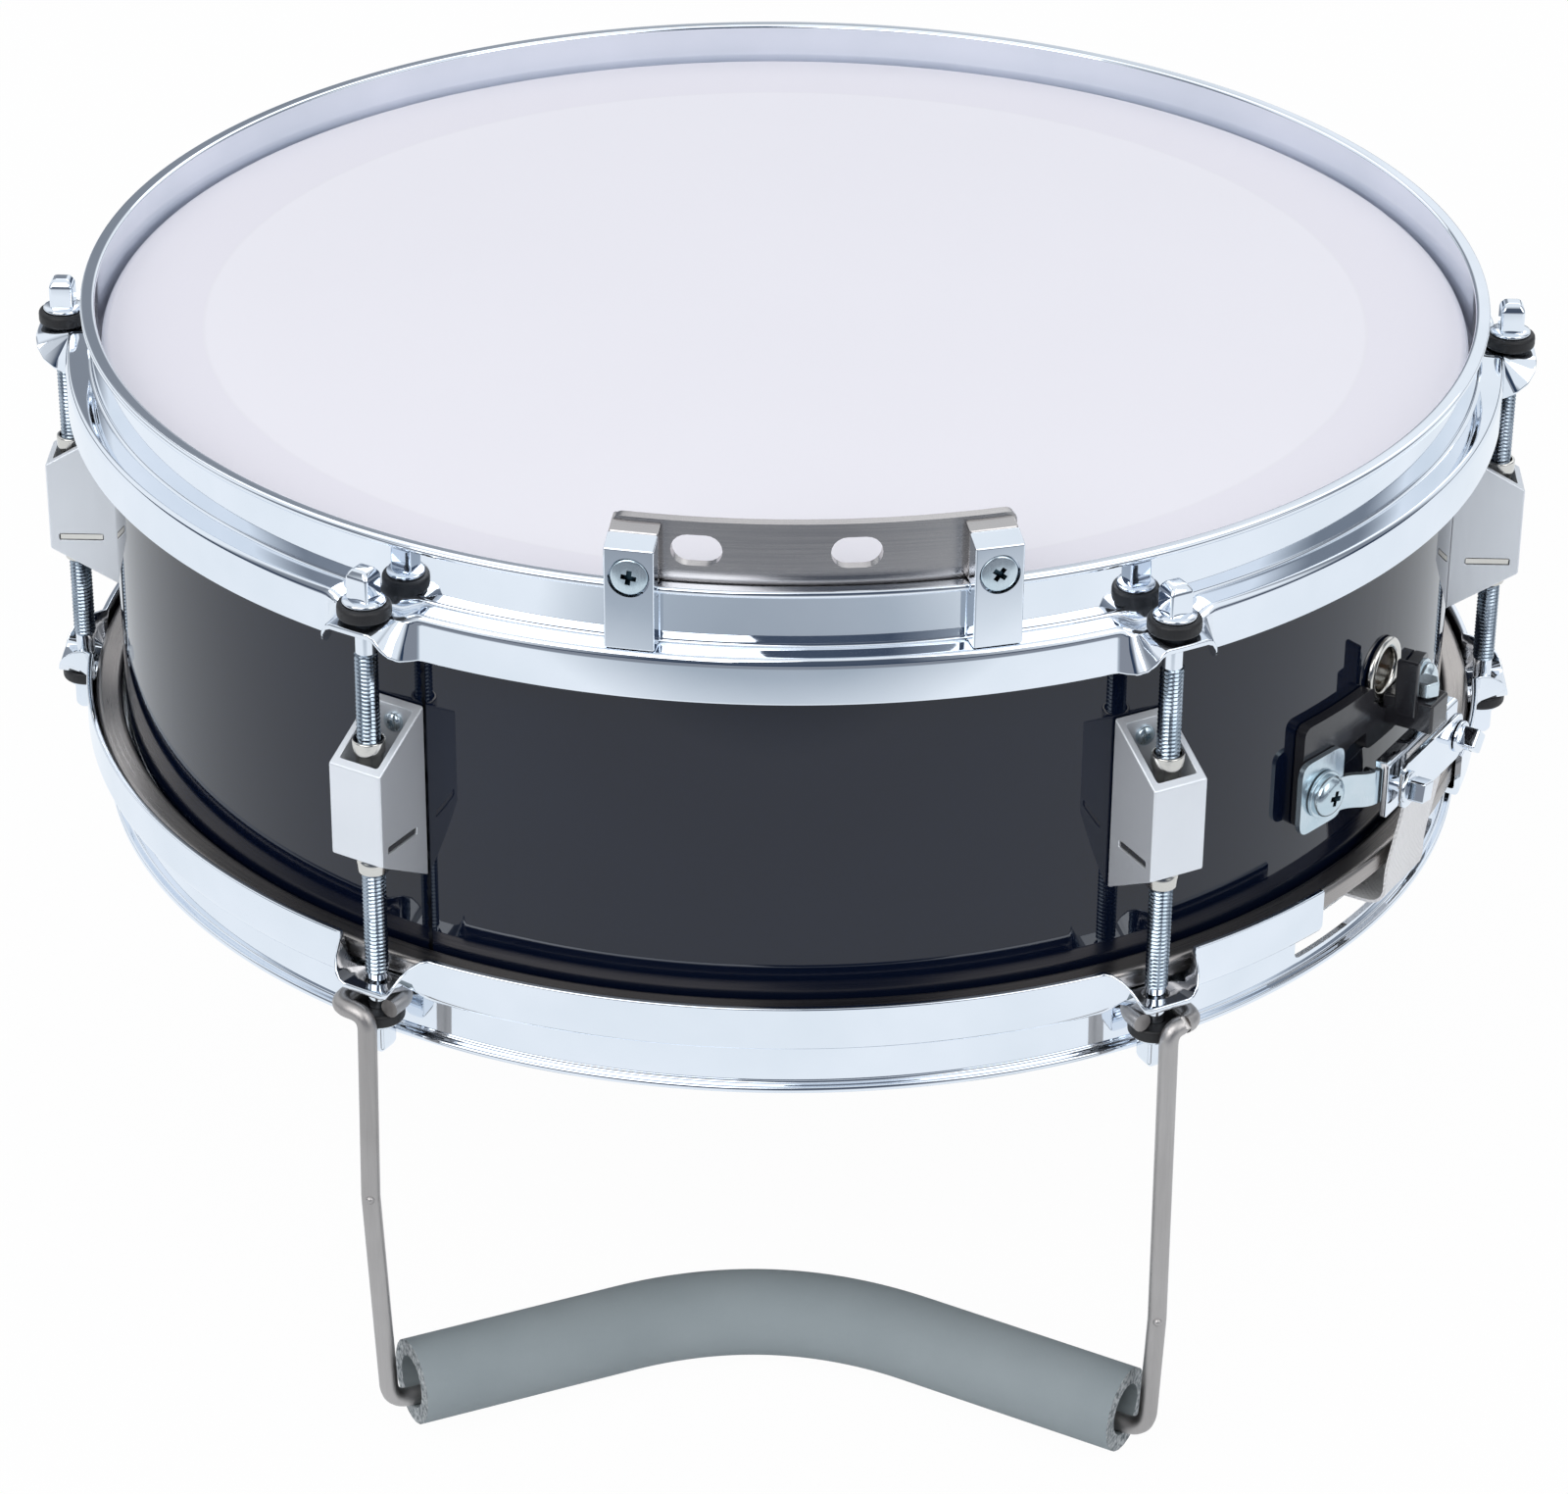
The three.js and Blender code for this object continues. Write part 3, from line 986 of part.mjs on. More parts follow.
// Snare strap: down from the clamp, in through the gate and under the snare head
function strapGeometry() {
  const inner = CLAMP_RADIUS + SEAT_GAP;
  const top = CLAMP_SCREW_LEVEL + CLAMP_PLATE_HEIGHT / 2;
  const clampFoot = CLAMP_TOP - CLAMP_BAR_HEIGHT;
  const flankOut = FLESH_HOOP_OUTER + 2 * SEAT_GAP;
  const turnLevel = STRAP_LEVEL + STRAP_TURN;
  const under = STRAP_LEVEL - STRAP_THICKNESS;
  return sideProfile([
    [inner, top],
    [inner, clampFoot],
    [flankOut, SNARE_FACE - FLESH_HOOP_TOP],
    [flankOut, turnLevel],
    [flankOut - STRAP_TURN, STRAP_LEVEL],
    [STRAP_INNER_END, STRAP_LEVEL],
    [STRAP_INNER_END, under],
    [flankOut - STRAP_TURN + STRAP_THICKNESS / 2, under],
    [flankOut + STRAP_THICKNESS, turnLevel - STRAP_THICKNESS / 2],
    [flankOut + STRAP_THICKNESS, SNARE_FACE - FLESH_HOOP_TOP],
    [inner + STRAP_THICKNESS, clampFoot],
    [inner + STRAP_THICKNESS, top],
  ], -STRAP_WIDTH / 2, STRAP_WIDTH / 2);
}

function bothEnds(make, near, far) {
  return [make(near, far), make(-far, -near)];
}

// Snare wires fused to an end plate at each side, lying under the snare head
function snareWiresGeometry() {
  const wireLevel = SNARE_FACE - SNARE_GAP - SNARE_WIRE_RADIUS;
  const plateTop = STRAP_LEVEL - STRAP_THICKNESS - SEAT_GAP;
  const plateFoot = plateTop - SNARE_PLATE_THICKNESS;
  const wireEnd = STRAP_INNER_END - SEAT_GAP * 2;
  const half = SNARE_WIRE_PITCH * (SNARE_WIRE_COUNT - 1) / 2 + SNARE_PLATE_MARGIN;
  const plates = bothEnds((near, far) => block(-half, half, near, far, plateFoot, plateTop),
    SNARE_PLATE_INNER, SNARE_PLATE_OUTER);
  const seats = bothEnds((near, far) => block(-half, half, near, far, (plateFoot + plateTop) / 2, wireLevel),
    SNARE_PLATE_INNER, wireEnd - SEAT_GAP);
  const wires = Array.from({ length: SNARE_WIRE_COUNT }, (_, i) => outwardRod(SNARE_WIRE_RADIUS,
    -wireEnd, wireEnd, (i - (SNARE_WIRE_COUNT - 1) / 2) * SNARE_WIRE_PITCH, wireLevel, SNARE_WIRE_SIDES));
  return join(...plates, ...seats, ...wires);
}

// A path through chosen stations, so that an extrusion's steps land exactly on them
class StationPath extends THREE.Curve {
  constructor(points) {
    super();
    this.points = points;
  }

  getPoint(t, target = new THREE.Vector3()) {
    const place = Math.min(Math.max(t, 0), 1) * (this.points.length - 1);
    const before = Math.min(Math.floor(place), this.points.length - 2);
    return target.copy(this.points[before]).lerp(this.points[before + 1], place - before);
  }

  getPointAt(u, target) {
    return this.getPoint(u, target);
  }

  getTangentAt(u, target = new THREE.Vector3()) {
    const half = 0.5 / (this.points.length - 1);
    return target.copy(this.getPoint(u + half)).sub(this.getPoint(u - half)).normalize();
  }
}

// A line of corner points, each corner rounded to its own radius
function roundedLine(corners) {
  const points = [corners[0].at];
  for (let i = 1; i < corners.length - 1; i += 1) {
    const { at, radius } = corners[i];
    const toBefore = corners[i - 1].at.clone().sub(at).normalize();
    const toAfter = corners[i + 1].at.clone().sub(at).normalize();
    const turn = Math.PI - toBefore.angleTo(toAfter);
    const reach = radius * Math.tan(turn / 2);
    const bend = new THREE.QuadraticBezierCurve3(
      at.clone().addScaledVector(toBefore, reach), at, at.clone().addScaledVector(toAfter, reach));
    points.push(...bend.getPoints(BEND_STEPS));
  }
  points.push(corners[corners.length - 1].at);
  return points;
}

// Level of the wire's middle, resting under the lower ears
function hookLevel() {
  return SNARE_FACE - (WASHER_SEAT + KNEE_WIRE_RADIUS);
}

// Points of one hook and the top of its leg, from the cut end to the leg; side is -1 or 1
function hookPoints(side, legShift, kneeDepth) {
  const level = hookLevel();
  const bearing = toRadians(side * Math.abs(LUG_BEARINGS[KNEE_REST_LUGS[0]]));
  const out = new THREE.Vector3(Math.sin(bearing), -Math.cos(bearing), 0);
  const inwards = new THREE.Vector3(-side * Math.cos(bearing), -Math.abs(Math.sin(bearing)), 0);
  const place = (along, outward, z) => new THREE.Vector3(0, 0, z)
    .addScaledVector(out, ROD_CIRCLE_RADIUS + outward).addScaledVector(inwards, along);
  const points = [place(HOOK_LOOP_RADIUS, HOOK_TAIL, level)];
  for (let i = 0; i <= LOOP_STEPS; i += 1) {
    const angle = Math.PI * i / LOOP_STEPS;
    points.push(place(HOOK_LOOP_RADIUS * Math.cos(angle), -HOOK_LOOP_RADIUS * Math.sin(angle), level));
  }
  const legTop = place(legShift, LEG_STANDOFF, level);
  const knee = legTop.clone().setZ(level - kneeDepth);
  knee.x += side * LEG_TAPER / 4;
  const bend = roundedLine([
    { at: place(-HOOK_LOOP_RADIUS, 0, level) },
    { at: place(-HOOK_LOOP_RADIUS, LEG_STANDOFF, level), radius: LEG_BEND_RADIUS },
    { at: legTop, radius: LEG_BEND_RADIUS },
    { at: knee },
  ]);
  return { points: [...points, ...bend.slice(1, -1)], knee };
}

// Thigh arch between the two lower corners, a circular arc through the apex
function thighArch(left, right) {
  const apex = new THREE.Vector3((left.x + right.x) / 2, left.y, hookLevel() - THIGH_APEX_DEPTH);
  const chord = right.clone().sub(left);
  const half = chord.length() / 2;
  const middle = left.clone().add(right).multiplyScalar(0.5);
  const rise = apex.distanceTo(middle);
  const radius = (half * half + rise * rise) / (2 * rise);
  const up = new THREE.Vector3(-chord.z, 0, chord.x).normalize();
  const centre = middle.clone().addScaledVector(up, rise - radius);
  const sweep = 2 * Math.asin(half / radius);
  const along = chord.clone().normalize();
  return (share, offset = 0) => {
    const angle = (share - 0.5) * sweep;
    return centre.clone().addScaledVector(along, (radius + offset) * Math.sin(angle))
      .addScaledVector(up, (radius + offset) * Math.cos(angle));
  };
}

function kneeRestCorners() {
  const left = hookPoints(-1, LEFT_LEG_SHIFT, LEFT_KNEE_DEPTH);
  const right = hookPoints(1, RIGHT_LEG_SHIFT, RIGHT_KNEE_DEPTH);
  const leftCorner = left.knee.clone().setZ(hookLevel() - THIGH_LEFT_DEPTH);
  leftCorner.x += LEG_TAPER;
  const rightCorner = right.knee.clone().setZ(hookLevel() - THIGH_RIGHT_DEPTH);
  rightCorner.x -= LEG_TAPER / 2;
  return { left, right, leftCorner, rightCorner, arch: thighArch(leftCorner, rightCorner) };
}

function kneeRestGeometry() {
  const { left, right, leftCorner, rightCorner, arch } = kneeRestCorners();
  const archShares = Array.from({ length: THIGH_STEPS - 1 }, (_, i) => (i + 1) / THIGH_STEPS);
  const leftRun = roundedLine([
    { at: left.points[left.points.length - 1] },
    { at: left.knee, radius: KNEE_RADIUS },
    { at: leftCorner, radius: THIGH_CORNER_RADIUS },
    { at: arch(archShares[0] * 2) },
  ]);
  const rightRun = roundedLine([
    { at: right.points[right.points.length - 1] },
    { at: right.knee, radius: KNEE_RADIUS },
    { at: rightCorner, radius: THIGH_CORNER_RADIUS },
    { at: arch(1 - archShares[0] * 2) },
  ]);
  const middle = archShares.slice(2, -2).map((share) => arch(share));
  const route = [...left.points, ...leftRun.slice(1), ...middle, ...rightRun.slice(1).reverse(),
    ...[...right.points].reverse()];
  const section = new THREE.Shape();
  section.absarc(0, 0, KNEE_WIRE_RADIUS, 0, Math.PI * 2);
  return new THREE.ExtrudeGeometry(section, {
    steps: route.length - 1,
    curveSegments: TINY_SIDES / 2,
    extrudePath: new StationPath(route),
    bevelEnabled: false,
  });
}

// Foam grip hanging on the arch of the wire
function foamGeometry() {
  const { arch } = kneeRestCorners();
  const sag = FOAM_BORE_RADIUS - KNEE_WIRE_RADIUS - FOAM_GAP;
  const route = Array.from({ length: THIGH_STEPS + 1 }, (_, i) => arch(
    FOAM_END_SHARE + (1 - 2 * FOAM_END_SHARE) * i / THIGH_STEPS, -sag));
  const section = new THREE.Shape();
  section.absarc(0, 0, FOAM_RADIUS, 0, Math.PI * 2);
  const bore = new THREE.Path();
  bore.absarc(0, 0, FOAM_BORE_RADIUS, 0, Math.PI * 2, true);
  section.holes.push(bore);
  return new THREE.ExtrudeGeometry(section, {
    steps: THIGH_STEPS,
    curveSegments: TINY_SIDES * 3 / 4,
    extrudePath: new StationPath(route),
    bevelEnabled: false,
  });
}

// The snare end is the batter end turned over, about a line through the shell's middle
function snareEnd() {
  const group = new THREE.Group();
  group.rotation.y = Math.PI;
  group.position.z = SNARE_FACE;
  return group;
}

function assembleEnds(drum) {
  const snare = snareEnd();
  const turnedBearing = (bearing) => -bearing;
  drum.add(
    piece('batter_head', headGeometry(), 'coated_film'),
    piece('batter_flesh_hoop', fleshHoopGeometry(), 'brushed_alloy'),
    piece('batter_hoop', hoopGeometry([]), 'chrome'));
  snare.add(
    piece('snare_head', headGeometry(), 'clear_film'),
    piece('snare_flesh_hoop', fleshHoopGeometry(), 'brushed_alloy'),
    piece('snare_hoop', hoopGeometry([BUTT_BEARING, THROWOFF_BEARING].map(turnedBearing)), 'chrome'));
  LUG_BEARINGS.forEach((bearing, i) => {
    const lift = KNEE_REST_LUGS.includes(i) ? HOOK_LIFT : 0;
    const place = LUG_NAMES[i];
    drum.add(station(bearing, piece(`batter_rod_${place}`, rodGeometry(0), 'chrome')));
    snare.add(station(turnedBearing(bearing), piece(`snare_rod_${place}`, rodGeometry(lift), 'chrome')));
  });
  drum.add(snare);
}

function assembleLugs(drum) {
  LUG_BEARINGS.forEach((bearing, i) => {
    drum.add(station(bearing,
      piece(`lug_${LUG_NAMES[i]}`, lugGeometry(), 'satin_alloy'),
      piece(`sleeve_nut_${LUG_NAMES[i]}`, sleeveNutGeometry(), 'nickel')));
  });
}

function assembleHookPlate(drum) {
  drum.add(piece('hook_plate', hookPlateGeometry(), 'stainless'));
  JAW_BEARINGS.forEach((bearing, i) => {
    drum.add(station(bearing,
      piece(`rim_clamp_jaw_${JAW_NAMES[i]}`, frontJawGeometry(), 'chrome'),
      piece(`rim_clamp_screw_${JAW_NAMES[i]}`, jawScrewGeometry(), 'zinc')));
  });
}

// Clamp plate, its two screws, the strap and the two mounting screws
function clampPieces(prefix, mountPlaces) {
  const screws = JAW_NAMES.map((name, i) => piece(
    `${prefix}_clamp_screw_${name}`, clampScrewGeometry(i * 2 - 1), 'chrome'));
  const mounts = mountPlaces.map(({ turn, level, seat }, i) => station(turn,
    piece(`${prefix}_mounting_screw_${JAW_NAMES[i]}`, mountScrewGeometry(seat, level), 'zinc')));
  return [
    piece(`${prefix}_clamp_plate`, clampPlateGeometry(), 'chrome'),
    piece(`${prefix}_snare_strap`, strapGeometry(), 'strap_white'),
    ...screws,
    ...mounts,
  ];
}

function assembleSnares(drum) {
  drum.add(station(BUTT_BEARING,
    piece('butt_frame', buttFrameGeometry(), 'black_casting'),
    piece('butt_bridge', bridgeGeometry(), 'zinc'),
    piece('butt_clamp_bar', clampBarGeometry(), 'chrome'),
    piece('butt_adjusting_bolt', adjustingBoltGeometry(), 'zinc'),
    ...clampPieces('butt', BUTT_MOUNTS),
    piece('snare_wires', snareWiresGeometry(), 'stainless')));
  drum.add(station(THROWOFF_BEARING,
    piece('throwoff_base', throwoffBaseGeometry(), 'black_casting'),
    piece('throwoff_lever', leverGeometry(), 'chrome'),
    piece('throwoff_carriage', carriageGeometry(), 'chrome'),
    piece('throwoff_tension_knob', tensionKnobGeometry(), 'chrome'),
    ...clampPieces('throwoff', THROWOFF_MOUNTS)));
}

function assembleDrum() {
  const drum = new THREE.Group();
  drum.add(piece('shell', shellGeometry(), 'gloss_black_wrap'));
  drum.add(station(VENT_BEARING, piece('vent_eyelet', eyeletGeometry(), 'nickel')));
  assembleEnds(drum);
  assembleLugs(drum);
  assembleHookPlate(drum);
  assembleSnares(drum);
  drum.add(piece('knee_rest_wire', kneeRestGeometry(), 'stainless'));
  drum.add(piece('knee_rest_foam', foamGeometry(), 'grey_foam'));
  return drum;
}

export default assembleDrum();
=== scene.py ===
"""The looks of a marching snare drum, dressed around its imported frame.

Sizes are in millimetres in the drum's own frame and become metres as they are handed to Blender.
The origin is the middle of the batter head's top face, +Z is up and -Y points at the player. A
bearing is an angle about +Z, 0 at -Y and 90 degrees at +X. At a station on the rim, x runs along
the rim, "out" is the distance from the drum's axis along -Y, and z is up.
"""

import logging
import math
from collections.abc import Callable, Iterator, Sequence
from contextlib import contextmanager
from dataclasses import dataclass
from enum import Enum

import bmesh
import bpy
from mathutils import Matrix, Vector


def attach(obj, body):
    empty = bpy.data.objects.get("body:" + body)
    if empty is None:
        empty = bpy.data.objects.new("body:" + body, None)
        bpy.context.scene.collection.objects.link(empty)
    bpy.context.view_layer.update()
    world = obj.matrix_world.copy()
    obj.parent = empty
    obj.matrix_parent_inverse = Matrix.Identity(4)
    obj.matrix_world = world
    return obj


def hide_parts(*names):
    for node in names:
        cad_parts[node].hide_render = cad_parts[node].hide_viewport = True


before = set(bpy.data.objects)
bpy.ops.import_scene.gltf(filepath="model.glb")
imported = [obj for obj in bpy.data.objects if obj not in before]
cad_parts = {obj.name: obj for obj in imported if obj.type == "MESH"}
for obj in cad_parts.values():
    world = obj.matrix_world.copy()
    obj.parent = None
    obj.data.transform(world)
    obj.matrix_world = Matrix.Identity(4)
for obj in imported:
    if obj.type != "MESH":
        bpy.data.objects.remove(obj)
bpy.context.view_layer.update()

LOG = logging.getLogger("drum")

MM = 0.001
WELD = 1e-6
SEAT = 0.3
OVERRUN = 2.0
TUCK = 0.1
RING_STEPS = 256
ROUND_STEPS = 40
BEND_STRIP = 2.0
HOOK_STEPS = 20
GLUE_STEPS = 160
FILM_IOR = 1.6
WHITE = (1, 1, 1, 1)

SHELL_RADIUS = 178.3
SHELL_WALL = 7.0
SHELL_TOP = -0.7
SHELL_BOTTOM = -116.7
MIDDLE = (SHELL_TOP + SHELL_BOTTOM) / 2
SNARE_FACE = 2 * MIDDLE
ROD_CIRCLE = 191.0
FLESH_OUTER = SHELL_RADIUS + 8.1
FLANGE_LEVEL = -5.2
EAR_DROP = 2.4
EAR_SEAT = FLANGE_LEVEL - EAR_DROP + SEAT
KNEE_WIRE = 2.4
STRAP_THICKNESS = 0.8
STRAP_LEVEL = SNARE_FACE - 0.8
STRAP_END = SHELL_RADIUS - 27.3
LUG_BEARINGS = {"front_left": -30, "front_right": 30, "right": 90,
                "rear_right": 150, "rear_left": 210, "left": 270}
KNEE_REST_LUGS = ("front_left", "front_right")
BUTT_BEARING = 60.0
THROWOFF_BEARING = 240.0

Pair = tuple[float, float]
Point = tuple[float, float, float]
Outline = list[Pair]
Piece = bpy.types.Object
Socket = bpy.types.NodeSocket
Tree = bpy.types.NodeTree
Layout = Callable[..., Socket]


class Plane(Enum):
    """A station's drawing planes: which of an outline's two numbers and its depth is x, out and z."""

    SIDE = (2, 0, 1)
    PLAN = (0, 1, 2)
    FACE = (0, 2, 1)

    def place(self, first: float, second: float, depth: float) -> Vector:
        """Turn an outline's point and a depth into a place.

        Args:
            first: The outline's first number, in millimetres.
            second: The outline's second number.
            depth: How far along the plane's own direction.

        Returns:
            The place, in metres.
        """
        x, out, z = ((first, second, depth)[i] for i in self.value)
        return Vector((x, -out, z)) * MM


class Run(Enum):
    """The direction that a round bar runs in at a station."""

    OUT = "straight out of the shell"
    UP = "upwards"
    ALONG = "along the rim"


class End(Enum):
    """An end of the drum. Each is drawn with level 0 at its head's face and z out of the drum."""

    BATTER = "batter"
    SNARE = "snare"

    def matrix(self) -> Matrix:
        """Return the turn that takes a drawing of this end to its place.

        Returns:
            The matrix, in metres.
        """
        if self is End.BATTER:
            return Matrix.Identity(4)
        return Matrix.Translation((0, 0, SNARE_FACE * MM)) @ Matrix.Rotation(math.pi, 4, "Y")

    def bearing(self, degrees: float) -> float:
        """Return the bearing to draw at, for a true bearing at this end."""
        return degrees if self is End.BATTER else -degrees


# Bench work: selecting, editing and finishing

def pick(*objects: Piece) -> None:
    """Select these objects and nothing else, with the first one active.

    Args:
        *objects: The objects, the active one first.
    """
    bpy.ops.object.select_all(action="DESELECT")
    for piece in objects:
        piece.select_set(True)
    bpy.context.view_layer.objects.active = objects[0]


@contextmanager
def editing(piece: Piece, mode: str = "VERT") -> Iterator[bmesh.types.BMesh]:
    """Open a piece in edit mode with all of it selected.

    Args:
        piece: The piece to edit.
        mode: The kind of selection, VERT, EDGE or FACE.

    Yields:
        The mesh under edit.
    """
    pick(piece)
    bpy.ops.object.mode_set(mode="EDIT")
    bpy.ops.mesh.select_mode(type=mode)
    bpy.ops.mesh.select_all(action="SELECT")
    try:
        yield bmesh.from_edit_mesh(piece.data)
    finally:
        bpy.ops.object.mode_set(mode="OBJECT")


def fresh(adder: Callable[..., set[str]], **settings: object) -> Piece:
    """Add a primitive with nothing else selected.

    Args:
        adder: The operator that adds it.
        **settings: What the operator takes.

    Returns:
        The new object.
    """
    bpy.ops.object.select_all(action="DESELECT")
    adder(**settings)
    return bpy.context.object


def settle(piece: Piece) -> Piece:
    """Bake an object's place and turn into its mesh.

    Args:
        piece: The object.

    Returns:
        The object, at the origin.
    """
    piece.data.transform(piece.matrix_basis)
    piece.matrix_basis = Matrix.Identity(4)
    return piece


def moved(piece: Piece, matrix: Matrix) -> Piece:
    """Move a piece's mesh and leave its object at the origin.

    Args:
        piece: The piece.
        matrix: The move, in metres.

    Returns:
        The piece.
    """
    piece.data.transform(matrix)
    piece.data.update()
    return piece


def shifted(piece: Piece, x: float = 0, out: float = 0, z: float = 0) -> Piece:
    """Shift a piece's mesh by millimetres at a station."""
    return moved(piece, Matrix.Translation((x * MM, -out * MM, z * MM)))


def swung(piece: Piece, degrees: float) -> Piece:
    """Swing a piece's mesh about the drum's axis to a bearing."""
    return moved(piece, Matrix.Rotation(math.radians(degrees), 4, "Z"))


def polar(vertex: bpy.types.MeshVertex) -> Pair:
    """Return a vertex's distance from the drum's axis in millimetres, and its bearing in radians."""
    return math.hypot(vertex.co.x, vertex.co.y) / MM, math.atan2(vertex.co.x, -vertex.co.y)


def spread(vertex: bpy.types.MeshVertex, factor: float) -> None:
    """Change a vertex's distance from the drum's axis by a factor."""
    vertex.co.x *= factor
    vertex.co.y *= factor


def twin(piece: Piece) -> Piece:
    """Copy a piece, with a mesh of its own.

    Args:
        piece: The piece to copy.

    Returns:
        The copy.
    """
    copy = piece.copy()
    copy.data = piece.data.copy()
    bpy.context.scene.collection.objects.link(copy)
    return copy


def tidy(piece: Piece) -> Piece:
    """Merge doubles, drop loose bits and turn every face outwards.

    Args:
        piece: The piece.

    Returns:
        The piece.
    """
    with editing(piece):
        bpy.ops.mesh.remove_doubles(threshold=WELD)
        bpy.ops.mesh.delete_loose(use_verts=True, use_edges=True, use_faces=False)
        bpy.ops.mesh.select_all(action="SELECT")
        bpy.ops.mesh.normals_make_consistent(inside=False)
    return piece


def applied(piece: Piece, kind: str, **settings: object) -> Piece:
    """Add a modifier, set it and apply it.

    Args:
        piece: The piece to modify.
        kind: Blender's name for the modifier.
        **settings: The modifier's settings.

    Returns:
        The piece.
    """
    modifier = piece.modifiers.new(kind.lower(), kind)
    for setting, value in settings.items():
        setattr(modifier, setting, value)
    pick(piece)
    bpy.ops.object.modifier_apply(modifier=modifier.name)
    return piece


def eased(piece: Piece, width: float, segments: int = 2, angle: float = 40) -> Piece:
    """Round every edge that turns by more than an angle.

    Args:
        piece: The piece to ease.
        width: The rounding's width in millimetres.
        segments: The steps across it.
        angle: The least turn in degrees.

    Returns:
        The piece.
    """
    return applied(piece, "BEVEL", width=width * MM, segments=segments, limit_method="ANGLE",
                   angle_limit=math.radians(angle))


def combined(piece: Piece, operation: str, others: Sequence[Piece]) -> Piece:
    """Cut other shapes out of a piece or fuse them to it, and remove them.

    Args:
        piece: The piece that stays.
        operation: DIFFERENCE or UNION.
        others: The shapes that are used up.

    Returns:
        The piece.
    """
    for other in others:
        applied(piece, "BOOLEAN", operation=operation, object=other, solver="EXACT")
        bpy.data.objects.remove(other)
    return piece


def carved(piece: Piece, *cutters: Piece) -> Piece:
    """Cut shapes out of a piece."""
    return combined(piece, "DIFFERENCE", cutters)


def fused(piece: Piece, *others: Piece) -> Piece:
    """Fuse shapes to a piece."""
    return combined(piece, "UNION", others)


def gathered(*parts: Piece) -> Piece:
    """Join closed shapes into one object, each still a shell of its own.

    Args:
        *parts: The shapes; the first one takes in the others.

    Returns:
        The first one.
    """
    pick(*parts)
    bpy.ops.object.join()
    return parts[0]


def soften(piece: Piece, angle: float = 35) -> Piece:
    """Shade a piece smooth, with edges sharp past an angle and its large faces shaded flat.

    Args:
        piece: The piece.
        angle: The least turn of a sharp edge, in degrees.

    Returns:
        The piece.
    """
    pick(piece)
    bpy.ops.object.shade_smooth_by_angle(angle=math.radians(angle))
    return applied(piece, "WEIGHTED_NORMAL", mode="FACE_AREA", keep_sharp=True)


# Shapes

def curved(start: Vector, corner: Vector, finish: Vector, steps: int) -> list[Vector]:
    """Return points along the curve that takes a corner's place."""
    shares = [k / steps for k in range(steps + 1)]
    return [start * (1 - t) ** 2 + corner * 2 * t * (1 - t) + finish * t ** 2 for t in shares]


def rounded(outline: Outline, radii: dict[int, float], steps: int = 3) -> Outline:
    """Round chosen corners of a closed outline.

    Args:
        outline: The corners in order.
        radii: The rounding's reach at a corner's place in the list, in millimetres.
        steps: The steps across each rounding.

    Returns:
        The new outline, always with the same number of points for the same corners.
    """
    points: Outline = []
    for i, corner in enumerate(outline):
        if i not in radii:
            points.append(corner)
            continue
        here = Vector(corner)
        reach = radii[i]
        neighbours = []
        for j in ((i - 1) % len(outline), (i + 1) % len(outline)):
            side = Vector(outline[j]) - here
            reach = min(reach, side.length * (0.49 if j in radii else 0.98))
            neighbours.append(side.normalized())
        start, finish = (here + side * reach for side in neighbours)
        points += [(place.x, place.y) for place in curved(start, here, finish, steps)]
    return points


def ribbon(path: Outline, first: float, second: float) -> Outline:
    """Return the outline between two lines that run beside a path.

    Args:
        path: The path's points.
        first: How far to the path's left the first line runs, in millimetres.
        second: How far to its left the second line runs.

    Returns:
        The closed outline.
    """
    sides: list[Outline] = [[], []]
    for i, (x, y) in enumerate(path):
        leg = (Vector(path[min(i + 1, len(path) - 1)]) - Vector(path[max(i - 1, 0)])).normalized()
        for side, shift in zip(sides, (first, second)):
            side.append((x - leg.y * shift, y + leg.x * shift))
    return sides[0] + sides[1][::-1]


def spun(outline: Outline, steps: int = RING_STEPS) -> Piece:
    """Turn a closed outline of (radius, level) about the Z axis.

    Args:
        outline: The points in order, in millimetres.
        steps: The steps round the ring.

    Returns:
        The closed solid.
    """
    ring = fresh(bpy.ops.mesh.primitive_circle_add, vertices=len(outline), radius=1)
    for vertex, (radius, level) in zip(ring.data.vertices, outline):
        vertex.co = (0, -radius * MM, level * MM)
    with editing(ring):
        bpy.ops.mesh.spin(steps=steps, angle=2 * math.pi, center=(0, 0, 0), axis=(0, 0, 1))
    return tidy(ring)


def turned_out(outline: Outline, x: float = 0, z: float = 0, steps: int = ROUND_STEPS) -> Piece:
    """Turn a closed outline of (radius, out) about a line straight out of the shell.

    Args:
        outline: The points in order.
        x: The line's place along the rim.
        z: The line's level.
        steps: The steps round it.

    Returns:
        The closed solid.
    """
    return shifted(moved(spun(outline, steps), Matrix.Rotation(math.pi / 2, 4, "X")), x, z=z)


def slab(plane: Plane, outline: Outline, low: float, high: float) -> Piece:
    """Give a flat outline a thickness.

    Args:
        plane: The plane that the outline is drawn in.
        outline: Its corners in order.
        low: Where the thickness starts.
        high: Where it ends.

    Returns:
        The closed solid.
    """
    plate = fresh(bpy.ops.mesh.primitive_circle_add, vertices=len(outline), radius=1, fill_type="NGON")
    for vertex, (first, second) in zip(plate.data.vertices, outline):
        vertex.co = plane.place(first, second, low)
    rise = plane.place(0, 0, high - low)
    with editing(plate, "FACE"):
        bpy.ops.mesh.extrude_region_move(TRANSFORM_OT_translate={"value": rise})
    return tidy(plate)


def across(outline: Outline, width: float) -> Piece:
    """Give a side view of a station its width, half to each side."""
    return slab(Plane.SIDE, outline, -width / 2, width / 2)


def block(x: Pair, out: Pair, z: Pair) -> Piece:
    """Make a square-cornered block from its limits at a station."""
    corners = [(x[0], z[0]), (x[1], z[0]), (x[1], z[1]), (x[0], z[1])]
    return slab(Plane.FACE, corners, *out)


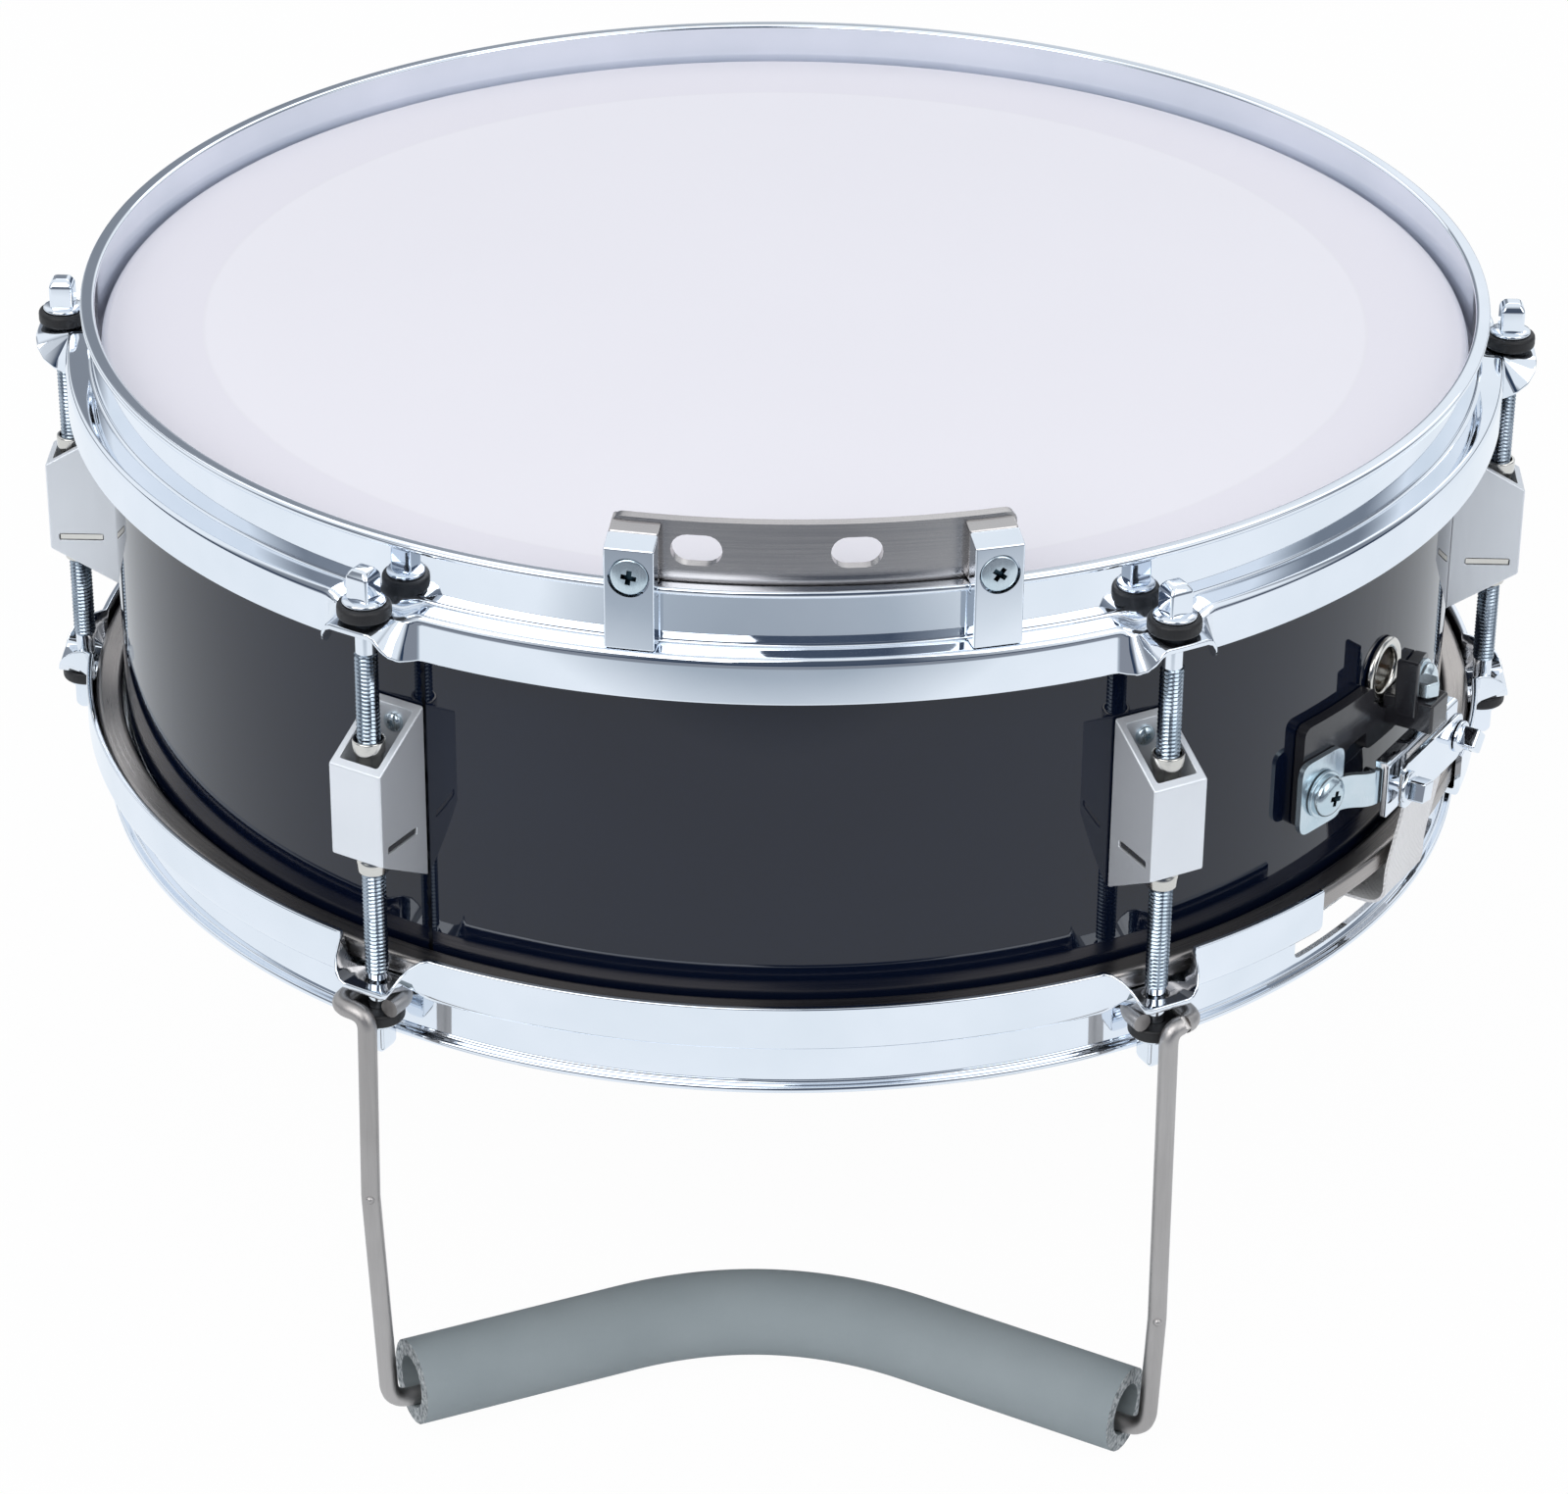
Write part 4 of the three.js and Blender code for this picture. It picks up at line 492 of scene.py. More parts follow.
def bar(run: Run, radius: float, span: Pair, at: Pair,
        sides: int = ROUND_STEPS) -> Piece:
    """Make a round bar at a station.

    Args:
        run: The way that it runs.
        radius: Its radius.
        span: Its two ends along that way.
        at: Its middle: x and z for OUT, x and out for UP, out and z for ALONG.
        sides: The steps round it.

    Returns:
        The closed solid.
    """
    middle = (span[0] + span[1]) / 2
    place, turn = {
        Run.OUT: ((at[0], -middle, at[1]), (math.pi / 2, 0, 0)),
        Run.UP: ((at[0], -at[1], middle), (0, 0, 0)),
        Run.ALONG: ((middle, -at[0], at[1]), (0, math.pi / 2, 0)),
    }[run]
    made = fresh(bpy.ops.mesh.primitive_cylinder_add, vertices=sides, radius=radius * MM,
                 depth=(span[1] - span[0]) * MM, location=Vector(place) * MM, rotation=turn)
    return settle(made)


def wrapped(outline: Outline, inner: float, thickness: float) -> Piece:
    """Bend a flat outline of (along, z) round the drum, as a plate that lies on the shell.

    Args:
        outline: The corners in order. Along is measured on the plate's outer face.
        inner: The radius of its inner face.
        thickness: Its thickness.

    Returns:
        The closed solid.
    """
    outer = inner + thickness
    plate = slab(Plane.FACE, outline, inner, outer)
    low = min(x for x, _ in outline)
    high = max(x for x, _ in outline)
    cut = math.floor(low / BEND_STRIP) * BEND_STRIP + BEND_STRIP
    while cut < high:
        with editing(plate):
            bpy.ops.mesh.bisect(plane_co=(cut * MM, 0, 0), plane_no=(1, 0, 0))
        cut += BEND_STRIP
    for vertex in plate.data.vertices:
        along, out, z = vertex.co.x, -vertex.co.y, vertex.co.z
        angle = along / (outer * MM)
        vertex.co = (out * math.sin(angle), -out * math.cos(angle), z)
    plate.data.update()
    return plate


def stadium(length: float, height: float, level: float) -> Outline:
    """Return a long hole's outline in the FACE plane: straight sides and half-round ends.

    Args:
        length: The hole's length.
        height: Its height.
        level: Its middle's level.

    Returns:
        The outline.
    """
    radius = height / 2
    straight = length / 2 - radius
    points: Outline = []
    for side in (1, -1):
        for degrees in range(0, 181, 18):
            angle = math.radians(degrees - side * 90)
            points.append((side * straight + radius * math.cos(angle), level + radius * math.sin(angle)))
    return points


def rounded_box(width: float, height: float, level: float, radius: float) -> Outline:
    """Return a rectangle's outline in the FACE plane, with its corners rounded.

    Args:
        width: The rectangle's width.
        height: Its height.
        level: Its middle's level.
        radius: The corners' reach.

    Returns:
        The outline.
    """
    w, h = width / 2, height / 2
    corners = [(-w, level - h), (w, level - h), (w, level + h), (-w, level + h)]
    return rounded(corners, dict.fromkeys(range(4), radius), 5)


def tube(points: Sequence[Vector], radius: float, sides: int = 6) -> Piece:
    """Sweep a round bar along a line.

    Args:
        points: The line, in millimetres.
        radius: The bar's radius.
        sides: A quarter of the steps round it, less one.

    Returns:
        The closed solid, as a mesh.
    """
    curve = bpy.data.curves.new("line", "CURVE")
    curve.dimensions = "3D"
    curve.bevel_depth = radius * MM
    curve.bevel_resolution = sides
    curve.use_fill_caps = True
    line = curve.splines.new("POLY")
    line.points.add(len(points) - 1)
    for knot, point in zip(line.points, points):
        knot.co = (*(point * MM), 1)
    made = bpy.data.objects.new("line", curve)
    bpy.context.scene.collection.objects.link(made)
    pick(made)
    bpy.ops.object.convert(target="MESH")
    return tidy(bpy.context.object)


# Finishes

def node(tree: Tree, kind: str, inputs: dict[str | int, object] | None = None,
         **settings: object) -> bpy.types.Node:
    """Add a node to a tree.

    Args:
        tree: The tree.
        kind: The node's type.
        inputs: What goes into its sockets: a value, or another node's socket.
        **settings: The node's own settings.

    Returns:
        The node.
    """
    made = tree.nodes.new(kind)
    for setting, value in settings.items():
        setattr(made, setting, value)
    for name, value in (inputs or {}).items():
        if isinstance(value, Socket):
            tree.links.new(value, made.inputs[name])
        else:
            made.inputs[name].default_value = value
    return made


def sums(tree: Tree, operation: str, *values: object) -> Socket:
    """Add a Math node for one sum and return what it gives."""
    return node(tree, "ShaderNodeMath", dict(enumerate(values)), operation=operation).outputs[0]


def ramp(tree: Tree, value: Socket, low: float, high: float, first: float = 0, last: float = 1) -> Socket:
    """Map the range from low to high to the one from first to last, and hold it at both ends."""
    return node(tree, "ShaderNodeMapRange", {0: value, 1: low, 2: high, 3: first, 4: last}).outputs[0]


def rays(tree: Tree) -> tuple[Socket, Socket]:
    """Return 1 for rays from the camera, also through film, and 1 for rays from glossy faces."""
    path = node(tree, "ShaderNodeLightPath").outputs
    return sums(tree, "MAXIMUM", path["Is Camera Ray"], path["Is Transmission Ray"]), path["Is Glossy Ray"]


def own_node(tree: Tree, kind: str) -> bpy.types.Node:
    """Return the node of a type that a new tree comes with."""
    return next(each for each in tree.nodes if each.type == kind)


def vectors(tree: Tree, operation: str, inputs: dict[str | int, object]) -> Socket:
    """Add a Vector Math node and return the vector that it gives."""
    return node(tree, "ShaderNodeVectorMath", inputs, operation=operation).outputs[0]


def blend_colours(tree: Tree, share: Socket, first: object, second: object) -> Socket:
    """Mix two colours by a share and return the colour."""
    mix = node(tree, "ShaderNodeMix", {0: share, 6: first, 7: second}, data_type="RGBA")
    return mix.outputs[2]


def new_group(name: str, output: str, inputs: dict[str, float], lay_out: Layout) -> Tree:
    """Build a node group.

    Args:
        name: The group's name.
        output: The name of its output.
        inputs: The names and usual values of its inputs.
        lay_out: Lays out its nodes from the input sockets, and gives the output's socket.

    Returns:
        The group.
    """
    tree = bpy.data.node_groups.new(name, "ShaderNodeTree")
    for label, value in inputs.items():
        socket = tree.interface.new_socket(label, in_out="INPUT", socket_type="NodeSocketFloat")
        socket.default_value = value
    tree.interface.new_socket(output, in_out="OUTPUT", socket_type="NodeSocketFloat")
    start = tree.nodes.new("NodeGroupInput")
    end = tree.nodes.new("NodeGroupOutput")
    made = lay_out(tree, {label: start.outputs[label] for label in inputs})
    tree.links.new(made, end.inputs[output])
    return tree


def shared(name: str, output: str, **inputs: float) -> Callable[[Layout], Layout]:
    """Turn a function that lays out nodes into one that places them as a group.

    Args:
        name: The group's name.
        output: The name of its output.
        **inputs: The names and usual values of its inputs.

    Returns:
        The decorator. What it makes takes a material's tree and values for the inputs, builds the group
        on first use, and returns the output's socket.
    """
    def decorate(lay_out: Layout) -> Layout:
        """Make the function that places the group."""
        def place(tree: Tree, **values: float) -> Socket:
            """Place the group in a tree."""
            found = bpy.data.node_groups.get(name) or new_group(name, output, inputs, lay_out)
            return node(tree, "ShaderNodeGroup", values, node_tree=found).outputs[0]
        return place
    return decorate


def drum_place(tree: Tree) -> tuple[Socket, Socket, Socket, Socket]:
    """Return the radius, the angle in radians, the level and the plain place of a point, in metres.

    Args:
        tree: The tree that reads them.

    Returns:
        The four sockets.
    """
    where = node(tree, "ShaderNodeTexCoord").outputs["Object"]
    parts = node(tree, "ShaderNodeSeparateXYZ", {0: where})
    x, y, z = parts.outputs
    squares = [sums(tree, "MULTIPLY", side, side) for side in (x, y)]
    radius = sums(tree, "SQRT", sums(tree, "ADD", *squares))
    angle = sums(tree, "ARCTAN2", x, sums(tree, "MULTIPLY", y, -1.0))
    return radius, angle, z, where


def noise(tree: Tree, vector: Socket, scale: object, detail: float = 3, roughness: float = 0.5) -> Socket:
    """Add a noise texture and return its grey value."""
    inputs = {"Vector": vector, "Scale": scale, "Detail": detail, "Roughness": roughness}
    return node(tree, "ShaderNodeTexNoise", inputs).outputs[0]


@shared("drift", "Drift", Scale=20)
def drift(tree: Tree, given: dict[str, Socket]) -> Socket:
    """Slow cloudy change over a surface, from 0 to 1."""
    *_, where = drum_place(tree)
    return ramp(tree, noise(tree, where, given["Scale"]), 0.32, 0.68)


@shared("rim_grain", "Grain", Lines=2500, Breaks=30)
def rim_grain(tree: Tree, given: dict[str, Socket]) -> Socket:
    """Fine lines that run round the drum, as rolling, turning or brushing leaves them.

    Args:
        tree: The group's tree.
        given: Its inputs.

    Returns:
        The grain, from 0 to 1.
    """
    radius, _, level, where = drum_place(tree)
    section = node(tree, "ShaderNodeCombineXYZ", {0: radius, 1: level}).outputs[0]
    lines = vectors(tree, "SCALE", {0: section, "Scale": given["Lines"]})
    slow = vectors(tree, "SCALE", {0: where, "Scale": given["Breaks"]})
    return noise(tree, vectors(tree, "ADD", {0: lines, 1: slow}), 1.0, 4, 0.6)


@shared("upright_grain", "Grain", Lines=2500)
def upright_grain(tree: Tree, given: dict[str, Socket]) -> Socket:
    """Fine lines that run up and down, as drawing or extruding leaves them."""
    squashed = vectors(tree, "MULTIPLY", {0: drum_place(tree)[-1], 1: (1, 1, 0.03)})
    return noise(tree, squashed, given["Lines"], 4, 0.6)


@shared("speckle", "Grain", Scale=2500)
def speckle(tree: Tree, given: dict[str, Socket]) -> Socket:
    """Even fine grit: sprayed coats, blasted metal, moulded rubber and foam skin.

    Args:
        tree: The group's tree.
        given: Its inputs.

    Returns:
        The grain, from 0 to 1.
    """
    *_, where = drum_place(tree)
    fine = noise(tree, where, given["Scale"], 2, 0.7)
    coarse = noise(tree, where, sums(tree, "MULTIPLY", given["Scale"], 0.37), 1, 0.5)
    return sums(tree, "ADD", sums(tree, "MULTIPLY", fine, 0.6), sums(tree, "MULTIPLY", coarse, 0.4))


@shared("weave", "Grain", Pitch=0.0014)
def weave(tree: Tree, given: dict[str, Socket]) -> Socket:
    """Plain weave that runs up and round: high where a thread passes over.

    Args:
        tree: The group's tree.
        given: Its inputs.

    Returns:
        The threads' height, from 0 to 1.
    """
    radius, angle, level, _ = drum_place(tree)
    turn = sums(tree, "DIVIDE", 2 * math.pi, given["Pitch"])
    along = sums(tree, "SINE", sums(tree, "MULTIPLY", sums(tree, "MULTIPLY", angle, 0.19), turn))
    length = sums(tree, "SUBTRACT", level, radius)
    up = sums(tree, "SINE", sums(tree, "MULTIPLY", length, turn))
    crossed = sums(tree, "MULTIPLY", along, up)
    return sums(tree, "ADD", sums(tree, "MULTIPLY", crossed, 0.5), 0.5)


class Grain(Enum):
    """The fine pattern on a finish: its group, and the name of the input that sets its size."""

    RIM = (rim_grain, "Lines")
    UPRIGHT = (upright_grain, "Lines")
    SPECKLE = (speckle, "Scale")
    WEAVE = (weave, "Pitch")

    def lay(self, tree: Tree, size: float) -> Socket:
        """Put the pattern in a material.

        Args:
            tree: The material's tree.
            size: Lines or spots per metre, or the pitch of a weave in metres.

        Returns:
            The pattern's value.
        """
        pattern, label = self.value
        return pattern(tree, **{label: size})


@dataclass(frozen=True)
class Finish:
    """A finish: two close colours that drift into each other, and a fine grain in gloss and relief.

    Attributes:
        name: The material's name.
        slot: The record's material slot. It is not used.
        colour: The main colour, linear.
        second: The colour that it drifts to.
        gloss: The roughness at the grain's low and high places.
        metallic: 1 for bare metal.
        grain: The fine pattern.
        size: The pattern's size, as Grain.lay takes it.
        relief: The pattern's height in millimetres.
        drift: The drift's spots per metre.
        coat: The weight of a clear coat.
        clearness: How much light goes through.
    """

    name: str
    slot: str
    colour: Point
    second: Point
    gloss: Pair
    metallic: float = 0.0
    grain: Grain = Grain.SPECKLE
    size: float = 2500.0
    relief: float = 0.01
    drift: float = 25.0
    coat: float = 0.0
    clearness: float = 0.0

    def material(self) -> bpy.types.Material:
        """Return the finish's material, made on first use.

        Returns:
            The material.
        """
        made = bpy.data.materials.get(self.name)
        if made is None:
            made = bpy.data.materials.new(self.name)
            made.use_nodes = True
            tree = made.node_tree
            surface = own_node(tree, "BSDF_PRINCIPLED")
            surface.inputs["Metallic"].default_value = self.metallic
            surface.inputs["Coat Weight"].default_value = self.coat
            surface.inputs["Coat Roughness"].default_value = 0.03
            if self.clearness:
                surface.inputs["Transmission Weight"].default_value = self.clearness
                surface.inputs["IOR"].default_value = FILM_IOR
            self.lay_out(tree, surface)
        return made

    def lay_out(self, tree: Tree, surface: bpy.types.Node) -> None:
        """Lay out the colour, gloss and relief.

        Args:
            tree: The material's tree.
            surface: Its Principled BSDF.
        """
        grain = self.grain.lay(tree, self.size)
        tree.links.new(self.base_colour(tree), surface.inputs["Base Color"])
        tree.links.new(ramp(tree, grain, 0.3, 0.7, *self.gloss), surface.inputs["Roughness"])
        bump = node(tree, "ShaderNodeBump", {"Height": grain, "Distance": self.relief * MM, "Strength": 1.0})
        tree.links.new(bump.outputs[0], surface.inputs["Normal"])

    def base_colour(self, tree: Tree) -> Socket:
        """Return a colour that drifts between the two."""
        return blend_colours(tree, drift(tree, Scale=self.drift), (*self.colour, 1), (*self.second, 1))


@dataclass(frozen=True)
class CoatedHead(Finish):
    """Sprayed white film with the faint ring where the coating ends.

    Attributes:
        ring: The ring's radius in millimetres.
        bare: The film's colour outside the ring.
        line: The colour of the coating's edge.
        line_weight: How strongly that edge shows.
    """

    ring: float = 152.5
    bare: Point = (0.82, 0.805, 0.865)
    line: Point = (0.5, 0.48, 0.52)
    line_weight: float = 0.08

    def base_colour(self, tree: Tree) -> Socket:
        """Return the coat's drifting colour inside the ring, the bare film's outside, and a line between.

        Args:
            tree: The material's tree.

        Returns:
            The colour.
        """
        radius, *_ = drum_place(tree)
        outside = ramp(tree, radius, self.ring * MM, (self.ring + 0.6) * MM)
        mixed = blend_colours(tree, outside, Finish.base_colour(self, tree), (*self.bare, 1))
        away = sums(tree, "ABSOLUTE", sums(tree, "SUBTRACT", radius, self.ring * MM))
        weight = ramp(tree, away, 0.0, 0.7 * MM, self.line_weight, 0.0)
        return blend_colours(tree, weight, mixed, (*self.line, 1))


WRAP = Finish("black_covering", "gloss_black_wrap", (0.002, 0.004, 0.013), (0.003, 0.006, 0.017),
              (0.015, 0.04), size=900, relief=0.0006, drift=12)
GLUE = Finish("rough_glue", "gloss_black_wrap", (0.004, 0.004, 0.006), (0.03, 0.033, 0.04), (0.3, 0.6),
              metallic=1, size=1400, relief=0.08, drift=260)
WOOD = Finish("pale_shell_wood", "gloss_black_wrap", (0.36, 0.22, 0.11), (0.27, 0.15, 0.07),
              (0.4, 0.6), grain=Grain.RIM, size=900, relief=0.03, drift=14)
COATED = CoatedHead("sprayed_film", "coated_film", (0.86, 0.85, 0.9), (0.85, 0.84, 0.89),
                    (0.55, 0.8), size=1800, relief=0.02, drift=9)
CLEAR = Finish("hazy_film", "clear_film", (0.86, 0.88, 0.9), (0.82, 0.85, 0.87), (0.16, 0.28),
               relief=0.004, clearness=0.85)
ALLOY = Finish("ring_alloy", "brushed_alloy", (0.42, 0.39, 0.37), (0.34, 0.32, 0.31), (0.22, 0.42),
               metallic=1, grain=Grain.RIM, size=2600, relief=0.006)
CHROME = Finish("chrome_plate", "chrome", (0.84, 0.88, 0.94), (0.77, 0.82, 0.88), (0.02, 0.06),
                metallic=1, size=500, relief=0.0008, drift=30)
STEEL = Finish("thread_steel", "zinc", (0.4, 0.46, 0.53), (0.3, 0.36, 0.42), (0.12, 0.22),
               metallic=1, size=2200, relief=0.004, drift=90)
SATIN = Finish("lug_alloy", "satin_alloy", (0.8, 0.83, 0.87), (0.75, 0.78, 0.82), (0.34, 0.46),
               metallic=0.6, grain=Grain.UPRIGHT, size=3500, relief=0.006)
NICKEL = Finish("nickel_plate", "nickel", (0.72, 0.7, 0.66), (0.62, 0.6, 0.56), (0.1, 0.22),
                metallic=1, grain=Grain.RIM, size=2500, relief=0.003)
ZINC = Finish("zinc_plate", "zinc", (0.66, 0.74, 0.79), (0.54, 0.65, 0.71), (0.12, 0.28),
              metallic=0.9, grain=Grain.UPRIGHT, size=2600, relief=0.005, drift=90)
CASTING = Finish("enamelled_casting", "black_casting", (0.012, 0.012, 0.015), (0.02, 0.02, 0.024),
                 (0.12, 0.28), size=1200, relief=0.01, coat=0.2)
RUBBER = Finish("black_rubber", "black_casting", (0.005, 0.005, 0.006), (0.01, 0.01, 0.012),
                (0.42, 0.62), size=2600, relief=0.02)
STRAP = Finish("strap_weave", "strap_white", (0.82, 0.82, 0.82), (0.76, 0.76, 0.76), (0.6, 0.8),
               grain=Grain.WEAVE, size=0.0014, relief=0.12)
ROLLED = Finish("rolled_stainless", "stainless", (0.52, 0.5, 0.49), (0.44, 0.42, 0.42), (0.16, 0.3),
                metallic=1, grain=Grain.RIM, size=3000, relief=0.003)
# Painted shade: the dark finish that the faces inside a screw's cross recess take.
PAINTED_RECESS_SHADE = Finish("recess_shade", "zinc", (0.03, 0.06, 0.08), (0.06, 0.1, 0.12), (0.2, 0.4), metallic=1)
DRAWN = Finish("drawn_stainless", "stainless", (0.47, 0.45, 0.44), (0.38, 0.36, 0.35), (0.32, 0.5),
               metallic=1, grain=Grain.UPRIGHT, size=3000, relief=0.01)
FOAM = Finish("foam_skin", "grey_foam", (0.28, 0.32, 0.335), (0.25, 0.29, 0.305), (0.85, 0.98),
              size=2300, relief=0.06, drift=35)
CELLS = Finish("foam_cells", "grey_foam", (0.5, 0.53, 0.54), (0.1, 0.12, 0.13), (0.9, 1.0),
               size=800, relief=0.6, drift=850)


def dress(piece: Piece, name: str, finish: Finish, body: str = "drum",
          replaces: Sequence[str] = (), sharp: float = 35) -> Piece:
    """Name a finished piece, give it its finish, and hang it on its body.

    Args:
        piece: The piece, in its place.
        name: Its name.
        finish: Its finish.
        body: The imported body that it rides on.
        replaces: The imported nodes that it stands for.
        sharp: The angle in degrees past which its edges stay sharp.

    Returns:
        The piece.
    """
    piece.name = name
    piece.data.name = name
    soften(piece, sharp)
    piece.data.materials.clear()
    piece.data.materials.append(finish.material())
    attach(piece, body)
    if replaces:
        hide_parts(*replaces)
    LOG.info("%s: %d faces on %s", name, len(piece.data.polygons), body)
    return piece


@dataclass(frozen=True)
class CrossRecess:
    """The cross in a screw's head, whose arms narrow towards the bottom.

    Attributes:
        depth: Its depth.
        reach: Half of the cross's width.
        arm_share: An arm's half width as a share of the reach.
        bottom_reach: The share of the reach that is left at the bottom.
        bottom_width: The share of an arm's width that is left at the bottom.
    """

    depth: float
    reach: float
    arm_share: float = 0.28
    bottom_reach: float = 0.45
    bottom_width: float = 0.7

    def cutter(self, front: float, level: float, turn: float) -> Piece:
        """Make the cutter for a screw that points out of the shell.

        Args:
            front: How far out the head's face is.
            level: The screw's level.
            turn: The cross's turn in degrees.

        Returns:
            The cutter.
        """
        half = self.reach * self.arm_share
        arms = []
        for extra in (0, 90):
            arm = block((-self.reach, self.reach), (front - self.depth, front + OVERRUN), (-half, half))
            for vertex in arm.data.vertices:
                if vertex.co.y > -(front - self.depth / 2) * MM:
                    vertex.co.x *= self.bottom_reach
                    vertex.co.z *= self.bottom_width
            arms.append(moved(arm, Matrix.Rotation(math.radians(turn + extra), 4, "Y")))
        return shifted(fused(*arms), z=level)

    def shade(self, screw: Piece, bearing: float, level: float, front: float) -> None:
        """Give the faces inside the recess a dark finish of their own, as painted shade.

        Args:
            screw: The screw, dressed and in its place.
            bearing: The bearing that it points to, in degrees.
            level: Its level.
            front: How far out its face is.
        """
        turn = math.radians(bearing)
        out = Vector((math.sin(turn), -math.cos(turn), 0))
        # The recess's steep faces get this painted shade as the screw's second material.
        screw.data.materials.append(PAINTED_RECESS_SHADE.material())
        for face in screw.data.polygons:
            arm = face.center - Vector((0, 0, level * MM))
            sunk = front - arm.dot(out) / MM
            inside = (arm - out * arm.dot(out)).length < (self.reach + 0.1) * MM
            steep = sunk > self.depth * 0.6 or face.normal.dot(out) < 0.5
            if inside and steep and sunk < self.depth + 0.2:
                face.material_index = 1


# The drum's round parts

@dataclass
class Shell:
    """The wooden shell, its black covering with the lap where the sheet ends, and the vent.

    Attributes:
        wall: The thickness of wood and covering.
        sheet: The covering's thickness.
        edge_round: The reach of the rounding at the bearing edge.
        edge_land: The flat on the bearing edge.
        lap_bearing: Where the covering's lap ends.
        lap_width: How far the sheet overlaps itself.
        lap_thickness: How far the lap stands proud at its end.
        glue_width: The width of the bead of glue at that end.
        glue_rise: The bead's height.
    """

    wall: float = SHELL_WALL
    sheet: float = 0.5
    edge_round: float = 1.1
    edge_land: float = 0.9
    lap_bearing: float = -27.5
    lap_width: float = 22.0
    lap_thickness: float = 0.24
    glue_width: float = 0.9
    glue_rise: float = 0.3
    vent_bearing: float = 59.2
    vent_level: float = MIDDLE + 2.5
    vent_radius: float = 6.4
    eyelet_radius: float = 8.9
    eyelet_bore: float = 5.7
    eyelet_rise: float = 1.6

    def vent_cutter(self) -> Piece:
        """Make the cutter for the vent hole.

        Returns:
            The cutter.
        """
        hole = bar(Run.OUT, self.vent_radius, (SHELL_RADIUS - self.wall - OVERRUN, SHELL_RADIUS + OVERRUN),
                   (0, self.vent_level))
        return swung(hole, self.vent_bearing)

    def wood(self) -> Piece:
        """Turn the wooden shell, bevelled inside to a bearing edge at both ends.

        Returns:
            The wood.
        """
        outer = SHELL_RADIUS - self.sheet
        inner = SHELL_RADIUS - self.wall
        land = SHELL_RADIUS - self.edge_round
        bevel = land - self.edge_land - inner
        corners = [
            (inner, SHELL_BOTTOM + bevel), (land - self.edge_land, SHELL_BOTTOM), (land, SHELL_BOTTOM),
            (outer, SHELL_BOTTOM + self.edge_round), (outer, SHELL_TOP - self.edge_round),
            (land, SHELL_TOP), (land - self.edge_land, SHELL_TOP), (inner, SHELL_TOP - bevel),
        ]
        return carved(spun(rounded(corners, {0: 1.0, 1: 0.4, 2: 0.4, 5: 0.4, 6: 0.4, 7: 1.0}, 2)),
                      self.vent_cutter())

    def covering(self) -> Piece:
        """Turn the black sheet on the wood, with its lap.

        Returns:
            The covering.
        """
        low = SHELL_BOTTOM + self.edge_round
        high = SHELL_TOP - self.edge_round
        inner = SHELL_RADIUS - self.sheet
        skin = spun([(inner, low), (SHELL_RADIUS, low), (SHELL_RADIUS, high), (inner, high)])
        sides = [(0, low), (self.lap_width, low), (self.lap_width, high), (0, high)]
        lap = wrapped(sides, SHELL_RADIUS - TUCK, self.lap_thickness + TUCK)
        for vertex in lap.data.vertices:
            radius, angle = polar(vertex)
            if radius > SHELL_RADIUS:
                share = max(0.0, angle * SHELL_RADIUS / self.lap_width)
                spread(vertex, 1 - share * self.lap_thickness / SHELL_RADIUS)
        return gathered(carved(skin, self.vent_cutter()), swung(lap, self.lap_bearing))

    def glue_line(self) -> Piece:
        """Lay the rough bead of glue along the edge of the lap, chipped here and there.

        Returns:
            The bead.
        """
        low, high = SHELL_BOTTOM + self.edge_round + 0.2, SHELL_TOP - self.edge_round - 0.2
        levels = [low + (high - low) * i / GLUE_STEPS for i in range(GLUE_STEPS + 1)]
        waves = [0.22 * math.sin(2.1 * z) + 0.18 * math.sin(5.3 * z + 1) for z in levels]
        outline = [(wave - self.glue_width, z) for wave, z in zip(waves, levels)]
        outline += [(0.15, levels[-1]), (0.15, levels[0])]
        return swung(wrapped(outline, SHELL_RADIUS - TUCK, self.glue_rise + TUCK), self.lap_bearing)

    def eyelet(self) -> Piece:
        """Turn the rolled ring of the vent.

        Returns:
            The ring.
        """
        face = SHELL_RADIUS + SEAT
        neck = self.vent_radius - SEAT
        crown = (self.eyelet_radius + neck) / 2
        outline = rounded([
            (self.eyelet_bore, SHELL_RADIUS - self.wall), (neck, SHELL_RADIUS - self.wall), (neck, face),
            (self.eyelet_radius, face), (self.eyelet_radius - 0.2, face + self.eyelet_rise * 0.7),
            (crown, face + self.eyelet_rise), (self.eyelet_bore + 0.2, face + self.eyelet_rise * 0.6),
            (self.eyelet_bore, face - 1)], {3: 0.3, 4: 0.8, 5: 0.9, 6: 0.7}, 4)
        return swung(turned_out(outline, 0, self.vent_level, 64), self.vent_bearing)

    def build(self) -> None:
        """Make the shell's pieces and dress them."""
        dress(self.wood(), "shell_wood", WOOD, replaces=["shell"])
        dress(self.covering(), "shell_covering", WRAP)
        dress(self.glue_line(), "lap_glue_line", GLUE)
        dress(self.eyelet(), "vent_ring", NICKEL, replaces=["vent_eyelet"])


